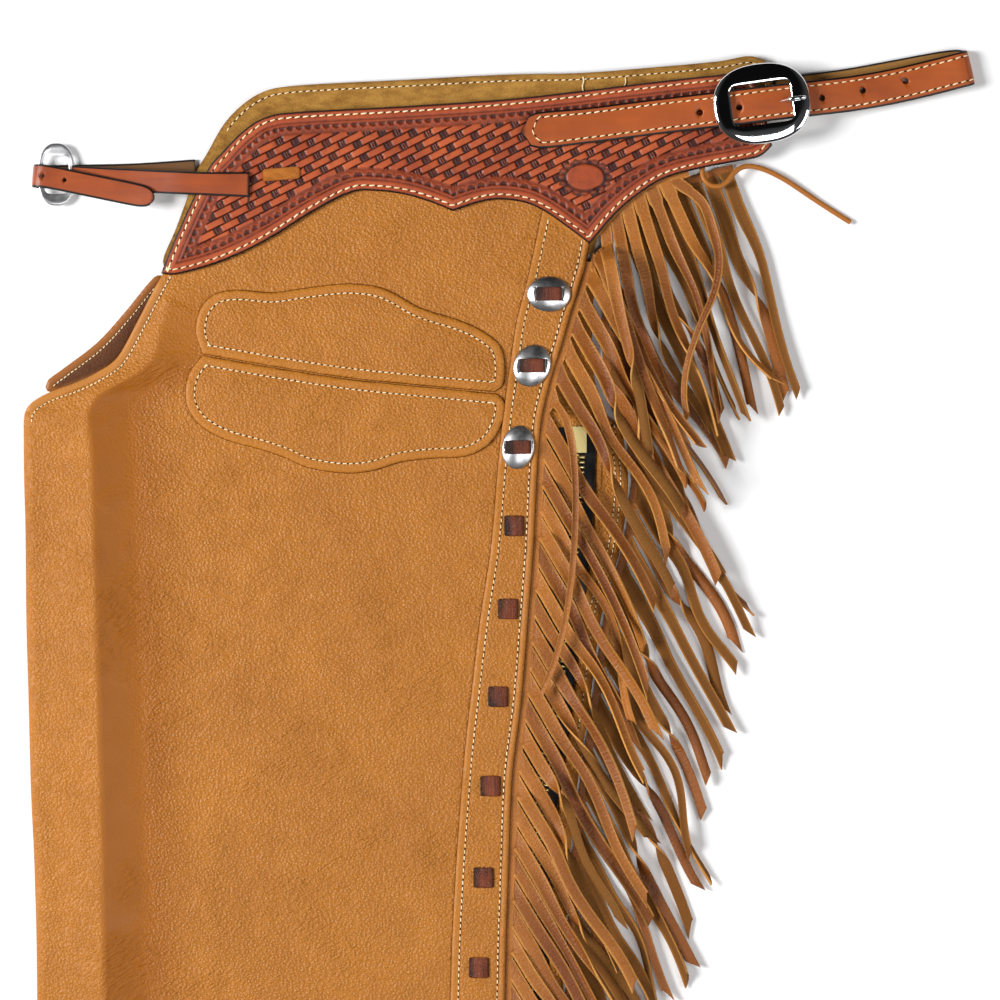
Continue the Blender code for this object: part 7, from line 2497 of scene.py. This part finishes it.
@dataclass
class Look:
    """What only shows of a strand: how it curls, narrows, sways and twists."""

    dice: random.Random

    def __post_init__(self) -> None:
        """Draws the strand's own values."""
        self.cup = self.dice.uniform(-0.7, 1.9)
        self.slim = self.dice.uniform(0.64, 0.96)
        self.sway = self.dice.uniform(0.6, 4.6)
        self.phase = self.dice.uniform(0.0, 2 * math.pi)
        self.waves = self.dice.uniform(0.7, 1.5)
        self.twist = math.radians(self.dice.choice((0, 0, 0, 24, -38, 56, -66, 180, -180, 176)))
        self.twist_at = self.dice.uniform(0.3, 0.72)
        self.twist_over = self.dice.uniform(0.22, 0.42)
        self.tone = self.dice.uniform(0.0, 0.75)
        self.cut = self.dice.uniform(0.7, 1.0)
        self.suede = self.dice.random()


@dataclass
class FringeWork:
    """Makes each fringe as its backing and its strands, with a rounded section for each strand."""

    spacing: float = 3.6
    section: tuple[tuple[float, float], ...] = (
        (1.0, 0.15), (0.92, 0.95), (0.6, 1.0), (0.3, 1.0), (0.0, 1.0), (-0.3, 1.0), (-0.6, 1.0),
        (-0.92, 0.95), (-1.0, 0.15), (-1.0, -0.5), (-0.92, -1.0), (-0.45, -1.0), (0.0, -1.0), (0.45, -1.0),
        (0.92, -1.0), (1.0, -0.5))

    def build(self) -> None:
        """Makes every fringe, the lowest first, so that each lies over the ones under it."""
        heights = HeightMap()
        for fringe in FRINGES:
            marks, strands = self.strands_of(fringe, heights)
            self.fringe(fringe, marks, strands)

    @staticmethod
    def along_line(line: Sequence[tuple[float, float]], spacing: float) -> list[tuple[float, float]]:
        """Points at this spacing along a line of straight pieces, from its start."""
        points, reached = [line[0]], 0.0
        for a, b in zip(line, line[1:]):
            run = math.hypot(b[0] - a[0], b[1] - a[1])
            while reached + run >= spacing * len(points):
                part = (spacing * len(points) - reached) / run
                points.append((a[0] + (b[0] - a[0]) * part, a[1] + (b[1] - a[1]) * part))
            reached += run
        return points

    def strands_of(self, fringe: Fringe,
                   heights: HeightMap) -> tuple[list[tuple[float, float]], list[Strand]]:
        """All strands of a fringe, laid over what is already there: every second one first.

        Args:
            fringe: the fringe.
            heights: what lies on the floor already.

        Returns:
            The marks between the roots, and the strands.
        """
        dice = random.Random(fringe.seed)
        marks = self.along_line(fringe.root, fringe.pitch)
        made = []
        for i, (a, b) in enumerate(zip(marks, marks[1:])):
            run = math.hypot(b[0] - a[0], b[1] - a[1])
            ux, uy = (b[0] - a[0]) / run * SLIT / 2, (b[1] - a[1]) / run * SLIT / 2
            heading = fringe.first + (fringe.last - fringe.first) * i / (len(marks) - 2)
            made.append(Strand(fringe, i, (a[0] + ux, a[1] + uy), (b[0] - ux, b[1] - uy), heading, dice))
        if fringe.node == "fringe_near_leg":
            for i, (low, high, heading) in enumerate(TIP_STRANDS, len(made)):
                made.append(Strand(fringe, i, low, high, heading, dice))
        for strand in sorted(made[::2] + made[1::2], key=lambda strand: strand.reach):
            strand.lay(heights)
        return marks, made

    def fringe(self, fringe: Fringe, marks: list[tuple[float, float]], strands: list[Strand]) -> None:
        """Makes one fringe as a single piece."""
        looks = random.Random(fringe.seed + 500)
        kinds = (Mark.FLESH, Mark.CUT, Mark.TONE_AND_SHADE, Mark.RUN, Mark.SIDE)
        points: list[np.ndarray] = []
        faces: list[tuple[int, ...]] = []
        values: dict[Mark, list[np.ndarray]] = {mark: [] for mark in kinds}
        across, up = np.array(self.section).T
        edge = np.where(abs(across) == 1.0, 1.0, np.where((abs(across) > 0.9) & (up > 0), 0.6, 0.0))
        count = 0
        for number, strand in enumerate(strands):
            look = Look(looks)
            rings, places, wide = self.rings(strand, look)
            size = rings.shape[1]
            faces += [tuple(count + i for i in f) for f in grid_faces(len(rings), size, closed=True)]
            faces.append(tuple(count + i for i in range(size)))
            faces.append(tuple(count + (len(rings) - 1) * size + i for i in range(size)))
            points.append(rings.reshape(-1, 3))
            under = (up > 0) == (look.suede < fringe.suede_share)
            shadow = 0.4 * ease((places - 12.0) / 50.0) * (1 - ease((places - 70.0) / 70.0))
            values[Mark.FLESH].append(np.tile(under.astype(float), len(rings)))
            values[Mark.CUT].append(np.tile(edge * look.cut, len(rings)))
            values[Mark.TONE_AND_SHADE].append(np.repeat(look.tone + shadow, size))
            values[Mark.RUN].append(np.repeat(places + 61.0 * number, size))
            values[Mark.SIDE].append((wide[:, None] * across).ravel())
            count += len(rings) * size
        backing = self.backing(fringe, marks)
        size = backing.shape[1]
        faces += [tuple(count + i for i in f) for f in grid_faces(len(backing), size, closed=True)]
        faces.append(tuple(count + i for i in range(size)))
        faces.append(tuple(count + (len(backing) - 1) * size + i for i in range(size)))
        points.append(backing.reshape(-1, 3))
        for mark in kinds:
            values[mark].append(np.full(len(backing) * size, 0.1 if mark is Mark.TONE_AND_SHADE else 0.0))
        made = piece(fringe.node.replace("fringe", "strands"), np.vstack(points), faces, fringe.finish,
                     {mark: np.concatenate(v) for mark, v in values.items()}, sharp=42.0)
        dress(made, fringe.finish, fringe.node)

    def rings(self, strand: Strand, look: Look) -> tuple[np.ndarray, np.ndarray, np.ndarray]:
        """The strand's rings, from its root to its slanted tip.

        Args:
            strand: the strand.
            look: how it curls and twists.

        Returns:
            An array of rings, points and coordinates, each ring's distance from the root and its half width.
        """
        half = STRAND_WALL / 2
        across, up = np.array(self.section).T
        end = strand.length - abs(strand.cut) / 2
        places = np.append(np.arange(0.0, end - self.spacing * 0.6, self.spacing), end)
        way = places / strand.length
        line = np.array([strand.sample(float(s)) for s in places])
        angle = np.radians(line[:, 2])
        sway = 0.0 if strand.reach > 1.0 else look.sway
        swing = np.sin(look.phase + 2 * math.pi * look.waves * way) * sway * ease((places - 18.0) / 50.0)
        plan = line[:, :2] + np.stack([-np.sin(angle), np.cos(angle)], axis=1) * swing[:, None]
        ahead = np.gradient(plan, axis=0)
        ahead /= np.linalg.norm(ahead, axis=1, keepdims=True)
        left = np.stack([-ahead[:, 1], ahead[:, 0]], axis=1)
        twist = look.twist * ease((way - look.twist_at) / look.twist_over + 0.5)
        roll = (np.array([strand.roll_at(w) for w in way]) + twist)[:, None]
        wide = (np.array([strand.width_at(w) for w in way]) / 2
                * (1 - (1 - look.slim) * ease((places - 26.0) / 40.0)))
        heights = soft_curve(strand.places(), strand.heights, places) + 0.75 * abs(np.sin(twist)) * wide
        heights = np.minimum(heights, HIGHEST)
        curl = (look.cup * ease(places / 40.0))[:, None]
        lift = up * half + curl * (across * across - 0.4)
        side = across * wide[:, None] * np.cos(roll) - lift * np.sin(roll)
        rise = across * wide[:, None] * np.sin(roll) + lift * np.cos(roll)
        slant = np.zeros_like(side)
        slant[-1] = strand.cut * 0.62 * across
        flat = plan[:, None, :] + left[:, None, :] * side[..., None] + ahead[:, None, :] * slant[..., None]
        rings = np.concatenate([flat, (heights[:, None] + rise)[..., None]], axis=-1)
        share = ((1 + across) / 2)[:, None]
        root = np.array(strand.low) + (np.array(strand.high) - np.array(strand.low)) * share
        rings[0] = np.column_stack([root, strand.root_z + up * half])
        start = rings[0] - (*(ahead[0] * strand.lead), 0.0)
        return np.concatenate([start[None], rings]), np.append(-strand.lead, places), np.append(wide[0], wide)

    @staticmethod
    def backing(fringe: Fringe, marks: list[tuple[float, float]]) -> np.ndarray:
        """The uncut strip that the strands hang from."""
        line = np.array(marks)
        run = np.gradient(line, axis=0)
        run /= np.linalg.norm(run, axis=1, keepdims=True)
        side = np.stack([-run[:, 1], run[:, 0]], axis=1)
        half = STRAND_WALL / 2
        rings = []
        for outer, inner in zip(line + side * (fringe.lead * 0.8 - 1.0), line + side * fringe.backing):
            rings.append([(*outer, fringe.root_z - half * 0.9), (*outer, fringe.root_z + half * 0.9),
                          (*inner, fringe.root_z + half * 0.9), (*inner, fringe.root_z - half * 0.9)])
        return np.array(rings)


# ----------------------------------------------------------------------------------------------------------
# Thong, camera and lights
# ----------------------------------------------------------------------------------------------------------


@dataclass
class Thong:
    """The thong that hangs from under the yoke, with its free end on the floor."""

    radius: float = THONG_RADIUS

    def build(self) -> None:
        line = smooth_line(THONG, 1.2)
        along = np.gradient(line, axis=0)
        along /= np.linalg.norm(along, axis=1, keepdims=True)
        side = np.cross(along, (0.0, 0.0, 1.0))
        side /= np.linalg.norm(side, axis=1, keepdims=True)
        up = np.cross(side, along)
        angles = np.linspace(0.0, 2 * math.pi, 12, endpoint=False)
        rings = []
        for k in range(len(line)):
            squash = 0.82 + 0.1 * math.sin(k * 0.11)
            rings.append(line[k] + self.radius * (1.05 * np.outer(np.cos(angles), side[k])
                                                  + squash * np.outer(np.sin(angles), up[k])))
        made = tube("thong_lace", np.array(rings), FRINGE_HIDE,
                    {Mark.PLAIN: np.full((len(line), 12), 0.6), Mark.TONE_AND_SHADE: np.full((len(line), 12), 0.2)})
        dress(made, FRINGE_HIDE, "thong")
        path = PATTERN.world(line)


@dataclass
class Studio:
    """The floor, the lights and the camera."""

    framed: float = 650.0
    middle: tuple[float, float, float] = (0.65, 718.25, 9.0)
    lens: float = 200.0
    sensor: float = 36.0
    surround_levels: tuple[float, float] = (0.08, 0.98)

    def build(self) -> None:
        """Sets the stage."""
        self.camera()
        self.floor()
        self.lights()

    def camera(self) -> None:
        """A long lens that looks straight down."""
        data = bpy.data.cameras.new("camera")
        data.lens = self.lens
        data.sensor_width = self.sensor
        data.clip_end = 50.0
        made = bpy.data.objects.new("camera", data)
        x, y, z = PATTERN.world([self.middle])[0]
        made.location = (x, y, z + self.framed / 1000 * self.lens / self.sensor)
        bpy.context.scene.collection.objects.link(made)
        bpy.context.scene.camera = made

    def floor(self) -> None:
        """A plain pale floor."""
        mesh = bpy.data.meshes.new("floor")
        far = 6.0
        mesh.from_pydata([(-far, -far, -0.0002), (far, -far, -0.0002), (far, far, -0.0002),
                          (-far, far, -0.0002)],
                         [], [(0, 1, 2, 3)])
        mesh.materials.append(material(FLOOR))
        made = bpy.data.objects.new("floor", mesh)
        bpy.context.scene.collection.objects.link(made)

    def lights(self) -> None:
        """A key light from the left, a weaker one from the right, and a pale surround."""
        middle = Vector(PATTERN.world([self.middle])[0])
        for name, away, size, power in (
            ("key", Vector((-2.3, 0.2, 1.9)), 1.1, 121.0),
            ("fill", Vector((2.4, -0.6, 2.2)), 1.6, 41.0),
            ("low", Vector((0.55, -0.95, 3.0)), 1.2, 24.0),
        ):
            data = bpy.data.lights.new(name, "AREA")
            data.size = size
            data.energy = power
            made = bpy.data.objects.new(name, data)
            made.location = middle + away
            made.rotation_euler = (-away).to_track_quat("-Z", "Y").to_euler()
            bpy.context.scene.collection.objects.link(made)
        self.surround()
        bpy.context.scene.view_settings.view_transform = "Standard"

    def surround(self) -> None:
        """A studio round the piece: pale at its sides and towards its hem, dark overhead and beyond."""
        world = bpy.data.worlds.new("surround")
        world.use_nodes = True
        nodes = Nodes(world.node_tree)
        way = nodes.add("ShaderNodeTexCoord", {}).outputs["Generated"]
        x, y, _ = nodes.add("ShaderNodeSeparateXYZ", {0: way}).outputs
        hemward = nodes.number("MAXIMUM", nodes.number("MULTIPLY", y, -1.0), 0.0)
        sides = nodes.number("ADD", nodes.number("ABSOLUTE", x), nodes.number("MULTIPLY", hemward, 0.3))
        corner = nodes.number("SUBTRACT", nodes.number("MULTIPLY", x, 0.45), nodes.number("MULTIPLY", y, 0.9))
        pale = nodes.number("MAXIMUM", nodes.between(sides, 0.3, 0.62), nodes.between(corner, 0.02, 0.12))
        level = nodes.between(pale, 0.0, 1.0, *self.surround_levels)
        seen = nodes.add("ShaderNodeLightPath", {}).outputs["Is Camera Ray"]
        background = world.node_tree.nodes["Background"]
        world.node_tree.links.new(nodes.number("MAXIMUM", level, seen), background.inputs["Strength"])
        bpy.context.scene.world = world


def main() -> None:
    """Builds the pieces in order."""
    logging.basicConfig(level=logging.INFO, format="%(name)s %(message)s")
    Studio().build()
    Thong().build()
    sewing = Sewing(Repeater())
    Leg(sewing).build()
    Yoke(sewing).build()
    Pockets(sewing).build()
    ConchoStrip(sewing).build()
    Waist(sewing).build()
    Zip(sewing).build()
    FringeWork().build()


if __name__ == "__main__":
    main()
